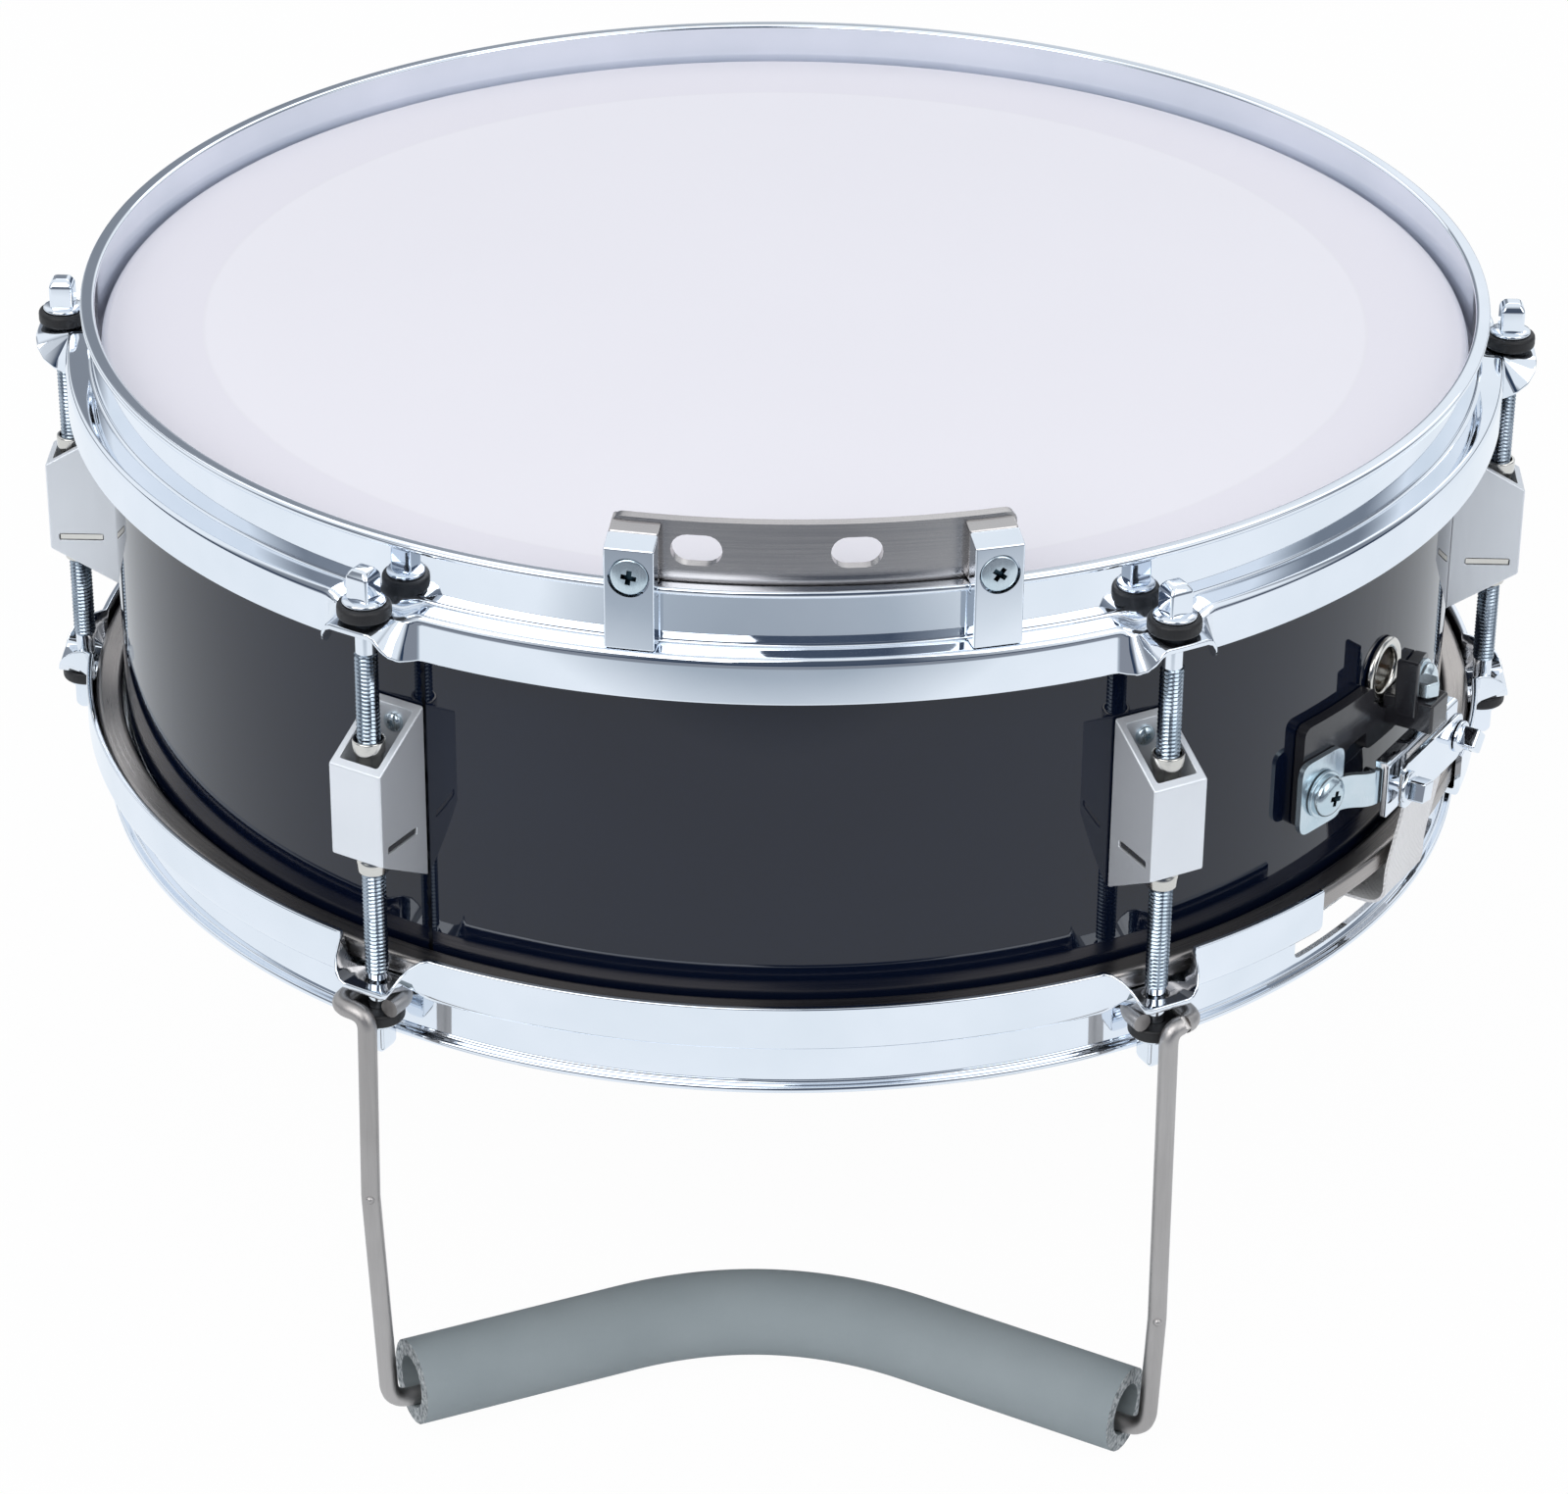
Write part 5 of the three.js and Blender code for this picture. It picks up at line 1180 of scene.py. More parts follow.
@dataclass
class DrumEnd:
    """One end's head, flesh hoop and flanged steel hoop, drawn with level 0 at the head's face.

    Attributes:
        end: Which end it is.
        gates: The bearings of the openings that the snares pass through.
    """

    end: End
    gates: tuple[float, ...] = ()
    film: float = 0.4
    film_edge: float = 1.1
    rings: Pair = (120, 152)
    collar_slope: float = 0.35
    bead_depth: float = 2.1
    bead_reach: float = 1.2
    flesh_inner: float = SHELL_RADIUS + 1
    flesh_outer: float = FLESH_OUTER
    flesh_height: float = 5.3
    steel: float = 1.6
    hoop_inner: float = SHELL_RADIUS + 1.9
    lip_height: float = 10.0
    lip_reach: float = 3.8
    lip_thickness: float = 1.8
    flange: float = FLANGE_LEVEL
    skirt_clearance: float = 0.7
    skirt_height: float = 12.0
    fold_degrees: float = 86.0
    ear_drop: float = EAR_DROP
    ear_root: float = 2.2
    ear_reach: float = 10.6
    ear_flat: float = 11.0
    ear_width: float = 27.6
    ear_hole: float = 3.5
    gate_half_width: float = 41.0
    gate_lip: float = 4.7
    hoop_steps: int = 900

    @property
    def bead_top(self) -> float:
        """The level of the head's bead, under the flange."""
        return self.flange - self.steel - SEAT

    @property
    def skirt_inner(self) -> float:
        """The inner radius of the skirt."""
        return self.flesh_outer + self.skirt_clearance

    def head(self) -> Piece:
        """Turn the film with its collar and bead.

        Returns:
            The film.
        """
        film, drop = self.film, self.film_edge
        edge = SHELL_RADIUS - drop
        collar = SHELL_RADIUS + self.collar_slope
        foot = collar + self.collar_slope
        outer = foot + film + self.bead_reach
        under = self.bead_top - self.bead_depth
        near, far = self.rings
        return spun(rounded([
            (0, -film), (near, -film), (far, -film), (edge + SEAT, -film), (collar, -film - drop),
            (foot, under), (outer, under), (outer, self.bead_top), (foot + film, self.bead_top),
            (collar + film, -drop), (edge + film, 0), (far, 0), (near, 0), (0, 0)],
            {3: 0.5, 4: 0.5, 6: 0.3, 7: 0.3, 8: 0.6, 9: 0.8, 10: 0.8}))

    def flesh_hoop(self) -> Piece:
        """Turn the rounded alloy ring that grips the film.

        Returns:
            The ring.
        """
        top = self.bead_top - self.ear_drop
        foot = top - self.flesh_height
        inner, outer = self.flesh_inner, self.flesh_outer
        return spun(rounded([(inner, foot), (outer, foot), (outer, top), (inner, top)],
                            {0: 1.6, 1: 1.8, 2: 0.8, 3: 0.8}, 5))

    def hoop_section(self, share: float) -> Outline:
        """Draw the hoop's section.

        Args:
            share: 0 where the skirt hangs straight, 1 in the middle of an ear.

        Returns:
            The outline, always with the same number of points.
        """
        fold = math.radians(self.fold_degrees) * share
        top = self.flange - self.ear_drop * share
        under = top - self.steel
        edge = self.steel / 2
        outer = self.hoop_inner + self.steel
        length = (self.skirt_height - self.steel) * (1 - share) + self.ear_reach * share
        tip = (self.skirt_inner + length * math.sin(fold), under - length * math.cos(fold))
        tip_outer = (tip[0] + self.steel * math.cos(fold), tip[1] + self.steel * math.sin(fold))
        bend = min(under + self.steel * math.tan(fold / 2), top - 0.05)
        lip_outer = self.hoop_inner + self.lip_reach
        lip_under = self.lip_height - self.lip_thickness
        outline = [
            tip, tip_outer, (self.skirt_inner + self.steel, bend), (self.skirt_inner + edge, top),
            (outer + self.ear_root, top), (outer, self.flange), (outer, lip_under), (lip_outer, lip_under),
            (lip_outer, self.lip_height), (self.hoop_inner, self.lip_height),
            (self.hoop_inner, self.flange - self.steel), (outer - edge, self.flange - self.steel),
            (outer + self.ear_root - edge, under), (self.skirt_inner, under)]
        radii = (0.5, 0.5, 1.2, 0.7, 1.0, 1.6, 0.8, 0.8, 0.8, 0.9, 0.5, 0.9, 0.9, 0.9)
        return rounded(outline, dict(enumerate(radii)))

    def fold_share(self, bearing: float) -> float:
        """Return how far the skirt is folded out at a bearing, from 0 to 1.

        Args:
            bearing: The bearing, in degrees.

        Returns:
            The share.
        """
        nearest = min(abs((bearing - lug + 180) % 360 - 180) for lug in LUG_BEARINGS.values())
        away = math.radians(nearest) * ROD_CIRCLE
        share = (away - self.ear_flat / 2) / ((self.ear_width - self.ear_flat) / 2)
        return (1 + math.cos(math.pi * min(1.0, max(0.0, share)))) / 2

    def hoop(self) -> Piece:
        """Turn the hoop, fold its ears out of the skirt, and cut the rod holes and the gates.

        Returns:
            The hoop.
        """
        flat = [Vector(point) for point in self.hoop_section(0)]
        ring = spun([(p.x, p.y) for p in flat], self.hoop_steps)
        for vertex in ring.data.vertices:
            place = Vector((math.hypot(vertex.co.x, vertex.co.y), vertex.co.z)) / MM
            angle = math.atan2(vertex.co.x, -vertex.co.y)
            share = self.fold_share(math.degrees(angle))
            if share > 0:
                nearest = min(range(len(flat)), key=lambda i: (flat[i] - place).length_squared)
                radius, level = self.hoop_section(share)[nearest]
                vertex.co = (radius * MM * math.sin(angle), -radius * MM * math.cos(angle), level * MM)
        low, high = self.flange - self.skirt_height - OVERRUN, self.flange + OVERRUN
        holes = [swung(bar(Run.UP, self.ear_hole, (low, high), (0, ROD_CIRCLE), 24), bearing)
                 for bearing in LUG_BEARINGS.values()]
        gates = [swung(self.gate_cutter(low), self.end.bearing(bearing)) for bearing in self.gates]
        return carved(ring, *holes, *gates)

    def gate_cutter(self, low: float) -> Piece:
        """Make the cutter for a gate at a station.

        Args:
            low: The level where it starts.

        Returns:
            The cutter.
        """
        half = self.gate_half_width
        high = self.lip_height - self.gate_lip
        corners = rounded([(-half, low), (half, low), (half, high), (-half, high)], {2: 2.0, 3: 2.0}, 4)
        return slab(Plane.FACE, corners, self.hoop_inner - 12, self.skirt_inner + 12)

    def build(self) -> None:
        """Make this end's pieces and dress them."""
        name = self.end.value
        film = COATED if self.end is End.BATTER else CLEAR
        for piece, label, finish, node_name, sharp in (
                (self.head(), "film", film, "head", 35),
                (self.flesh_hoop(), "film_ring", ALLOY, "flesh_hoop", 35),
                (self.hoop(), "rim", CHROME, "hoop", 50)):
            dress(moved(piece, self.end.matrix()), f"{name}_{label}", finish,
                  replaces=[f"{name}_{node_name}"], sharp=sharp)


@dataclass
class TensionRods:
    """The twelve rods: key head, flange, plain shank and thread, each with a rubber washer."""

    thread_radius: float = 3.0
    core_radius: float = 2.55
    thread_pitch: float = 1.06
    shank_radius: float = 2.5
    shank_length: float = 9.7
    end_level: float = MIDDLE + 2.9
    washer_radius: float = 6.6
    washer_thickness: float = 3.6
    flange_radius: float = 5.3
    flange_thickness: float = 1.1
    head_width: float = 6.3
    head_height: float = 7.9
    head_dome: float = 1.6
    seat: float = EAR_SEAT
    hook_lift: float = 2 * KNEE_WIRE + SEAT
    sides: int = 20

    def thread(self) -> Piece:
        """Turn the threaded part and raise its ridges.

        Returns:
            The thread.
        """
        top = self.seat - self.shank_length
        count = round((top - self.end_level) / self.thread_pitch * 4)
        levels = [self.end_level + (top - self.end_level) * i / count for i in range(count + 1)]
        outline = [(0, levels[0]), *((self.core_radius, z) for z in levels), (0, levels[-1])]
        screw = spun(outline, self.sides)
        for vertex in screw.data.vertices:
            radius, angle = polar(vertex)
            level = vertex.co.z / MM
            if radius > 1 and levels[1] < level < levels[-2]:
                phase = (level / self.thread_pitch - angle / (2 * math.pi)) % 1
                ridge = 1 - abs(2 * phase - 1)
                spread(vertex, (self.core_radius + (self.thread_radius - self.core_radius) * ridge) / radius)
        return screw

    def key_head(self) -> Piece:
        """Make the square head with its rounded edges and domed top.

        Returns:
            The head.
        """
        foot = self.seat + self.washer_thickness + self.flange_thickness - 0.2
        top = foot + self.head_height + 0.2
        half = self.head_width / 2
        head = block((-half, half), (-half, half), (foot, top))
        with editing(head, "FACE") as mesh:
            for face in mesh.faces:
                face.select = face.normal.z > 0.9
            mesh.select_flush_mode()
            bpy.ops.mesh.inset(thickness=self.head_dome * 0.75 * MM, depth=0)
        for vertex in head.data.vertices:
            at_side = max(abs(vertex.co.x), abs(vertex.co.y)) > (half - 0.1) * MM
            if at_side and vertex.co.z > (top - 0.01) * MM:
                vertex.co.z -= self.head_dome * MM
        return eased(head, 0.75, 4, 20)

    def collar(self) -> Piece:
        """Turn the shank and the domed flange under the head.

        Returns:
            The collar.
        """
        washer_top = self.seat + self.washer_thickness
        flange_top = washer_top + self.flange_thickness
        shank_foot = self.seat - self.shank_length - 0.3
        outline = rounded([
            (0, shank_foot), (self.shank_radius, shank_foot), (self.shank_radius, washer_top),
            (self.flange_radius, washer_top), (self.flange_radius, flange_top - 0.3),
            (self.shank_radius + 1.2, flange_top + 0.35), (0, flange_top + 0.35)],
            {1: 0.3, 3: 0.3, 4: 0.5, 5: 0.8}, 3)
        return spun(outline, 32)

    def washer(self) -> Piece:
        """Turn the rubber washer.

        Returns:
            The washer.
        """
        low = self.seat
        high = self.seat + self.washer_thickness - 0.05
        inner, outer = self.shank_radius + 0.15, self.washer_radius
        outline = [(inner, low), (outer, low), (outer, high), (inner, high)]
        return spun(rounded(outline, {1: 0.9, 2: 1.1}, 4), ROUND_STEPS)

    def build(self) -> None:
        """Make one rod, one thread and one washer, and copy them to every place."""
        models = [
            (gathered(self.collar(), self.key_head()), "tension_rod", CHROME, 35),
            (self.thread(), "rod_thread", STEEL, 15),
            (self.washer(), "rubber_washer", RUBBER, 35),
        ]
        for model, label, finish, sharp in models:
            shifted(model, out=ROD_CIRCLE)
            for end in End:
                for name, bearing in LUG_BEARINGS.items():
                    lift = self.hook_lift if end is End.SNARE and name in KNEE_REST_LUGS else 0
                    piece = moved(swung(shifted(twin(model), z=lift), end.bearing(bearing)), end.matrix())
                    rod = f"{end.value}_rod_{name}"
                    dress(piece, f"{label}_{end.value}_{name}", finish, f"{rod}_body",
                          [rod] if label == "tension_rod" else [], sharp)
            bpy.data.objects.remove(model)


@dataclass
class Lugs:
    """The six tube lugs with their sleeve nuts, retaining plates and fixing screws."""

    back: float = SHELL_RADIUS + SEAT
    width: float = 15.0
    depth: float = 18.9
    wall: float = 1.9
    front_height: float = 24.8
    rear_height: float = 47.0
    slot_drop: float = 8.9
    slot_height: float = 2.0
    slot_length: float = 12.0
    slot_shift: float = 2.1
    sleeve_radius: float = 4.0
    cup_radius: float = 4.1
    cup_height: float = 3.0
    sleeve_length: float = 36.6
    bore_radius: float = 3.4
    screw_rise: float = 18.0
    screw_radius: float = 2.6
    recess: CrossRecess = CrossRecess(1.1, 1.5)

    def casing(self) -> Piece:
        """Cut the slice of box tube, with both mouths on a slant.

        Returns:
            The casing.
        """
        front = self.back + self.depth
        corners = [
            (self.back, MIDDLE - self.rear_height / 2), (front, MIDDLE - self.front_height / 2),
            (front, MIDDLE + self.front_height / 2), (self.back, MIDDLE + self.rear_height / 2)]
        body = across(corners, self.width)
        half = self.width / 2 - self.wall
        bore = block((-half, half), (self.back + self.wall, front - self.wall),
                     (MIDDLE - self.rear_height, MIDDLE + self.rear_height))
        eased(body, 0.5, 3)
        level, half = MIDDLE - self.slot_drop, self.slot_height / 2
        start = ROD_CIRCLE - self.slot_shift - self.slot_length / 2
        end = start + self.slot_length
        low, high = level - half, level + half
        slot = across([(start, low), (end, low), (end, high), (start, high)], 2 * self.width)
        return eased(carved(body, eased(bore, 0.6, 2), eased(slot, 0.5, 2)), 0.12, 1, 50)

    def sleeve_nut(self) -> Piece:
        """Turn the sleeve nut with its cups, and add its retaining plate.

        Returns:
            The sleeve nut.
        """
        top = MIDDLE + self.sleeve_length / 2
        foot = MIDDLE - self.sleeve_length / 2
        neck = self.sleeve_radius - 0.7
        outline = rounded([
            (self.bore_radius, foot), (self.cup_radius - 0.3, foot),
            (self.cup_radius, foot + self.cup_height), (neck, foot + self.cup_height + 2),
            (neck, top - self.cup_height - 2), (self.cup_radius, top - self.cup_height),
            (self.cup_radius, top), (self.bore_radius, top)],
            {1: 0.4, 2: 0.5, 5: 0.5, 6: 0.4}, 3)
        sleeve = shifted(spun(outline, 36), out=ROD_CIRCLE)
        level, half = MIDDLE - self.slot_drop, self.slot_height / 2 - SEAT
        start = ROD_CIRCLE - self.slot_shift - self.slot_length / 2 + SEAT
        side = self.width / 2 - SEAT
        depth = (start, start + self.slot_length - 2 * SEAT)
        plate = block((-side, side), depth, (level - half, level + half))
        hole = bar(Run.UP, neck - 0.1, (level - OVERRUN, level + OVERRUN), (0, ROD_CIRCLE), 24)
        return gathered(sleeve, carved(plate, hole))

    def fixing_screws(self) -> Piece:
        """Make the two small pan screws that hold the lug to the shell.

        Returns:
            The two screws.
        """
        back = self.back + self.wall - 1
        front = self.back + self.wall + 1.6
        outline = rounded([(0, back), (self.screw_radius, back), (self.screw_radius, front - 0.7),
                           (self.screw_radius * 0.55, front), (0, front)], {2: 0.5, 3: 0.5})
        screws = []
        for side in (-1, 1):
            level = MIDDLE + side * self.screw_rise
            screws.append(carved(turned_out(outline, 0, level, 28), self.recess.cutter(front, level, 20)))
        return gathered(*screws)

    def build(self) -> None:
        """Make one of each and copy them to the six places."""
        models = [
            (self.casing(), "lug_casing", SATIN, "lug"),
            (self.sleeve_nut(), "lug_sleeve", NICKEL, "sleeve_nut"),
            (self.fixing_screws(), "lug_screws", ZINC, None),
        ]
        for model, label, finish, stands_for in models:
            for name, bearing in LUG_BEARINGS.items():
                nodes = [f"{stands_for}_{name}"] if stands_for else []
                dress(swung(twin(model), bearing), f"{label}_{name}", finish, replaces=nodes)
            bpy.data.objects.remove(model)


@dataclass
class HookPlate:
    """The curved plate inside the rim that takes the sling, and the two jaws that clamp it."""

    radius: float = 179.4
    thickness: float = 2.8
    top: float = 25.3
    foot: float = 2.0
    reach_left: float = 36.6
    reach_right: float = 58.6
    slot_length: float = 12.2
    slot_height: float = 7.9
    slot_level: float = 17.9
    slot_places: Pair = (-16.6, 20.7)
    jaw_places: Pair = (-30.7, 52.0)
    jaw_turns: Pair = (8.0, 38.0)
    jaw_width: float = 12.0
    jaw_depth: float = 5.9
    jaw_top_drop: float = 2.3
    jaw_front_drop: float = 4.3
    jaw_overlap: float = 0.8
    screw_level: float = 13.8
    screw_head: float = 4.6
    screw_head_height: float = 2.4
    screw_radius: float = 2.4
    lip_top: float = 10.0
    rim_outer: float = 181.8
    lip_outer: float = 184.0
    flange: float = FLANGE_LEVEL
    recess: CrossRecess = CrossRecess(1.5, 2.7)

    @property
    def front(self) -> float:
        """How far out the front jaws' faces are."""
        return self.rim_outer + SEAT + self.jaw_depth

    def bearing(self, along: float) -> float:
        """Return the bearing of a place along the plate."""
        return math.degrees(along / self.radius)

    def plate(self) -> Piece:
        """Bend the strip, fuse its two rear jaws to it, and cut its slots.

        Returns:
            The plate.
        """
        inner = self.radius - self.thickness
        seam = self.rim_outer + self.jaw_overlap
        corners = [(-self.reach_left, self.foot), (self.reach_right, self.foot),
                   (self.reach_right, self.top), (-self.reach_left, self.top)]
        strip = wrapped(rounded(corners, {2: 2.5, 3: 2.5}, 5), inner, self.thickness)
        slots = []
        for along in self.slot_places:
            cutter = slab(Plane.FACE, stadium(self.slot_length, self.slot_height, self.slot_level),
                          inner - OVERRUN, self.radius + OVERRUN)
            slots.append(swung(cutter, self.bearing(along)))
        plate = carved(strip, *slots)
        jaws = []
        near, far = inner + 0.2, self.radius - 0.2
        foot, over = self.foot + 0.2, self.lip_top + SEAT
        outline = [(near, foot), (far, foot), (far, over), (seam, over),
                   (seam, self.top - self.jaw_top_drop), (near, self.top - 0.05)]
        for along in self.jaw_places:
            jaw = eased(across(outline, self.jaw_width), 0.6, 2, 30)
            jaws.append(swung(jaw, self.bearing(along)))
        return eased(fused(plate, *jaws), 0.25, 2, 50)

    def front_jaw(self) -> Piece:
        """Cut the jaw that clamps the rim from outside, with its counterbore.

        Returns:
            The jaw.
        """
        back, front = self.rim_outer + SEAT, self.front
        seam = self.rim_outer + self.jaw_overlap + SEAT
        foot, over, lip = self.flange + SEAT, self.lip_top + SEAT, self.lip_outer + SEAT
        under = self.lip_top - 1.8 - SEAT
        outline = [(back, foot), (front, foot), (front, self.top - self.jaw_front_drop),
                   (seam, self.top - self.jaw_top_drop), (seam, over), (lip, over), (lip, under),
                   (back, under)]
        body = eased(across(outline, self.jaw_width), 0.45, 3, 30)
        bore = bar(Run.OUT, self.screw_head + 0.4, (front - self.screw_head_height - SEAT, front + OVERRUN),
                   (0, self.screw_level), 48)
        through = bar(Run.OUT, self.screw_radius + 0.4, (back - OVERRUN, front), (0, self.screw_level), 32)
        return carved(body, bore, through)

    def jaw_screw(self, turn: float) -> Piece:
        """Turn the flat screw with its cross recess.

        Args:
            turn: The cross's turn in degrees.

        Returns:
            The screw.
        """
        tip, back, front = self.radius - self.thickness, self.front - self.screw_head_height, self.front
        outline = rounded([
            (0, tip), (self.screw_radius, tip), (self.screw_radius, back), (self.screw_head, back),
            (self.screw_head, front - 0.35), (self.screw_head * 0.6, front), (0, front)],
            {3: 0.2, 4: 0.5, 5: 1.0}, 4)
        screw = turned_out(outline, 0, self.screw_level, 48)
        return carved(screw, self.recess.cutter(front, self.screw_level, turn))

    def build(self) -> None:
        """Make the plate, the jaws and the screws, and dress them."""
        dress(self.plate(), "sling_plate", ROLLED, replaces=["hook_plate"])
        for side, along, turn in zip(("left", "right"), self.jaw_places, self.jaw_turns):
            bearing = self.bearing(along)
            dress(swung(self.front_jaw(), bearing), f"front_jaw_{side}", CHROME,
                  replaces=[f"rim_clamp_jaw_{side}"])
            screw = dress(swung(self.jaw_screw(turn), bearing), f"jaw_screw_{side}", ZINC,
                          replaces=[f"rim_clamp_screw_{side}"])
            self.recess.shade(screw, bearing, self.screw_level, self.front)


@dataclass(frozen=True)
class Mount:
    """The place of a screw that holds a snare clamp to the shell.

    Attributes:
        seat: How far out its washer lies.
        angle: Its angle from the clamp's middle, in degrees.
        level: Its level.
    """

    seat: float
    angle: float
    level: float


@dataclass
class SnareClamp:
    """What both ends of the snares share: frame, clamp plate, strap and screws."""

    prefix: str
    bearing: float
    clamp_body: str
    frame_inner: float = SHELL_RADIUS + SEAT
    frame_wall: float = 3.0
    frame_top: float = SNARE_FACE + 61.4
    frame_beam: float = 12.0
    frame_leg: float = 29.0
    frame_width: float = 85.0
    opening_width: float = 54.6
    opening_corner: float = 10.0
    frame_corner: float = 3.0
    mount_spacing: float = 73.0
    mount_drop: float = 19.5
    mount_head: float = 5.5
    mount_head_height: float = 3.0
    mount_washer: float = 6.3
    mount_washer_thickness: float = 1.0
    mount_shank: float = 2.4
    clamp_face: float = SHELL_RADIUS + 12.1
    clamp_drop: float = 15.7
    bar_width: float = 41.0
    bar_height: float = 15.5
    bar_wall: float = 2.0
    bar_depth: float = 4.0
    plate_width: float = 35.0
    plate_height: float = 13.0
    plate_thickness: float = 1.6
    screw_spacing: float = 31.0
    screw_drop: float = 7.8
    screw_radius: float = 2.0
    collar_radius: float = 4.2
    collar_thickness: float = 1.2
    head_width: float = 5.4
    head_length: float = 4.4
    screw_tail: float = 9.0
    strap_width: float = 22.0
    strap_thickness: float = STRAP_THICKNESS
    strap_turn: float = 5.0
    boss_width: float = 9.6
    boss_height: float = 8.5
    boss_drop: float = 5.4
    recess: CrossRecess = CrossRecess(1.7, 2.9)

    @property
    def frame_outer(self) -> float:
        """The radius of the frame's outer face."""
        return self.frame_inner + self.frame_wall

    @property
    def mount_level(self) -> float:
        """The level of the mounting screws."""
        return self.frame_top - self.mount_drop

    @property
    def mount_angle(self) -> float:
        """The angle from the middle to a mounting screw, in degrees."""
        return math.degrees(self.mount_spacing / 2 / self.frame_outer)

    @property
    def clamp_top(self) -> float:
        """The level of the clamp bar's top."""
        return self.frame_top - self.clamp_drop

    @property
    def screw_level(self) -> float:
        """The level of the clamp screws."""
        return self.clamp_top - self.screw_drop

    @property
    def strap_face(self) -> float:
        """How far out the strap's outer face is in the clamp."""
        return self.clamp_face + SEAT + self.strap_thickness

    @property
    def plate_face(self) -> float:
        """How far out the clamp plate's face is."""
        return self.strap_face + SEAT + self.plate_thickness

    @property
    def boss_top(self) -> float:
        """The level of the boss's top."""
        return self.frame_top - self.boss_drop

    def put(self, piece: Piece, label: str, finish: Finish, body: str = "drum",
            replaces: Sequence[str] = ()) -> Piece:
        """Swing a piece to this clamp's bearing and dress it.

        Args:
            piece: The piece, drawn at a station.
            label: Its name after the clamp's own.
            finish: Its finish.
            body: The body that it rides on.
            replaces: The nodes that it stands for, without the clamp's own name.

        Returns:
            The piece.
        """
        nodes = [f"{self.prefix}_{name}" for name in replaces]
        return dress(swung(piece, self.bearing), f"{self.prefix}_{label}", finish, body, nodes)

    def frame_outline(self) -> Outline:
        """Draw the casting's face: a beam on two legs, with rounded ends.

        Returns:
            The outline.
        """
        w, o = self.frame_width / 2, self.opening_width / 2
        top, foot = self.frame_top, self.frame_top - self.frame_leg
        corners = [(-w, foot), (-o, foot), (-o, top - self.frame_beam), (o, top - self.frame_beam),
                   (o, foot), (w, foot), (w, top), (-w, top)]
        radii = dict.fromkeys(range(8), self.frame_corner) | dict.fromkeys((2, 3), self.opening_corner)
        return rounded(corners, radii, 5)

    def casting(self, *cutters: Piece) -> Piece:
        """Bend the casting round the shell and cut it before its edges are eased."""
        bent = wrapped(self.frame_outline(), self.frame_inner, self.frame_wall)
        return eased(carved(bent, *cutters), 0.5, 2, 50)

    def boss(self, reach: float) -> Piece:
        """Make the boss that stands out of the casting by a reach.

        Args:
            reach: How far it stands out.

        Returns:
            The boss.
        """
        half = self.boss_width / 2
        depth = (self.frame_inner + self.frame_wall / 2, self.frame_outer + reach)
        return eased(block((-half, half), depth, (self.boss_top - self.boss_height, self.boss_top)), 0.8, 3)

    def upright_hole(self, radius: float, out: float, top: float, height: float) -> Piece:
        """Make the cutter for a hole that runs down from above a level, with 0.4 to spare round it."""
        return bar(Run.UP, radius + 0.4, (top - 2 * height, top + OVERRUN), (0, out), 24)

    def clamp_bar(self) -> Piece:
        """Fold the clamp bar, an angle section with its top flange turned in.

        Returns:
            The bar.
        """
        back, web = self.clamp_face - self.bar_depth, self.clamp_face - self.bar_wall
        top, foot = self.clamp_top, self.clamp_top - self.bar_height
        corners = [(back, top), (self.clamp_face, top), (self.clamp_face, foot), (web, foot),
                   (web, top - self.bar_wall), (back, top - self.bar_wall)]
        return eased(across(rounded(corners, {1: 1.4, 4: 0.4}, 4), self.bar_width), 0.3)

    def clamp_plate(self) -> Piece:
        """Cut the plate with rounded ends that holds the strap.

        Returns:
            The plate.
        """
        back = self.strap_face + SEAT
        outline = rounded_box(self.plate_width, self.plate_height, self.screw_level, 3.0)
        return eased(slab(Plane.FACE, outline, back, self.plate_face), 0.3)

    def clamp_screw(self, side: int, turn: float) -> Piece:
        """Make a clamp screw with its collar and square head.

        Args:
            side: -1 for the left one and 1 for the right.
            turn: Its head's turn in degrees.

        Returns:
            The screw.
        """
        x = side * self.screw_spacing / 2
        tip, back = self.clamp_face - self.screw_tail, self.plate_face + SEAT
        face = back + self.collar_thickness
        half = self.head_width / 2
        outline = rounded([
            (0, tip), (self.screw_radius, tip), (self.screw_radius, back), (self.collar_radius, back),
            (self.collar_radius, face - 0.5), (half, face), (0, face)], {1: 0.3, 4: 0.4})
        stem = turned_out(outline, x, self.screw_level)
        head = eased(block((-half, half), (face - 0.3, face + self.head_length), (-half, half)), 0.6, 3)
        moved(head, Matrix.Rotation(math.radians(turn), 4, "Y"))
        return gathered(stem, shifted(head, x, z=self.screw_level))

    def mounts(self) -> list[Mount]:
        """Return the places of the two mounting screws."""
        return [Mount(self.frame_outer, side * self.mount_angle, self.mount_level) for side in (-1, 1)]

    def mount_front(self, mount: Mount) -> float:
        """Return how far out a mounting screw's face is."""
        return mount.seat + SEAT + self.mount_washer_thickness + self.mount_head_height

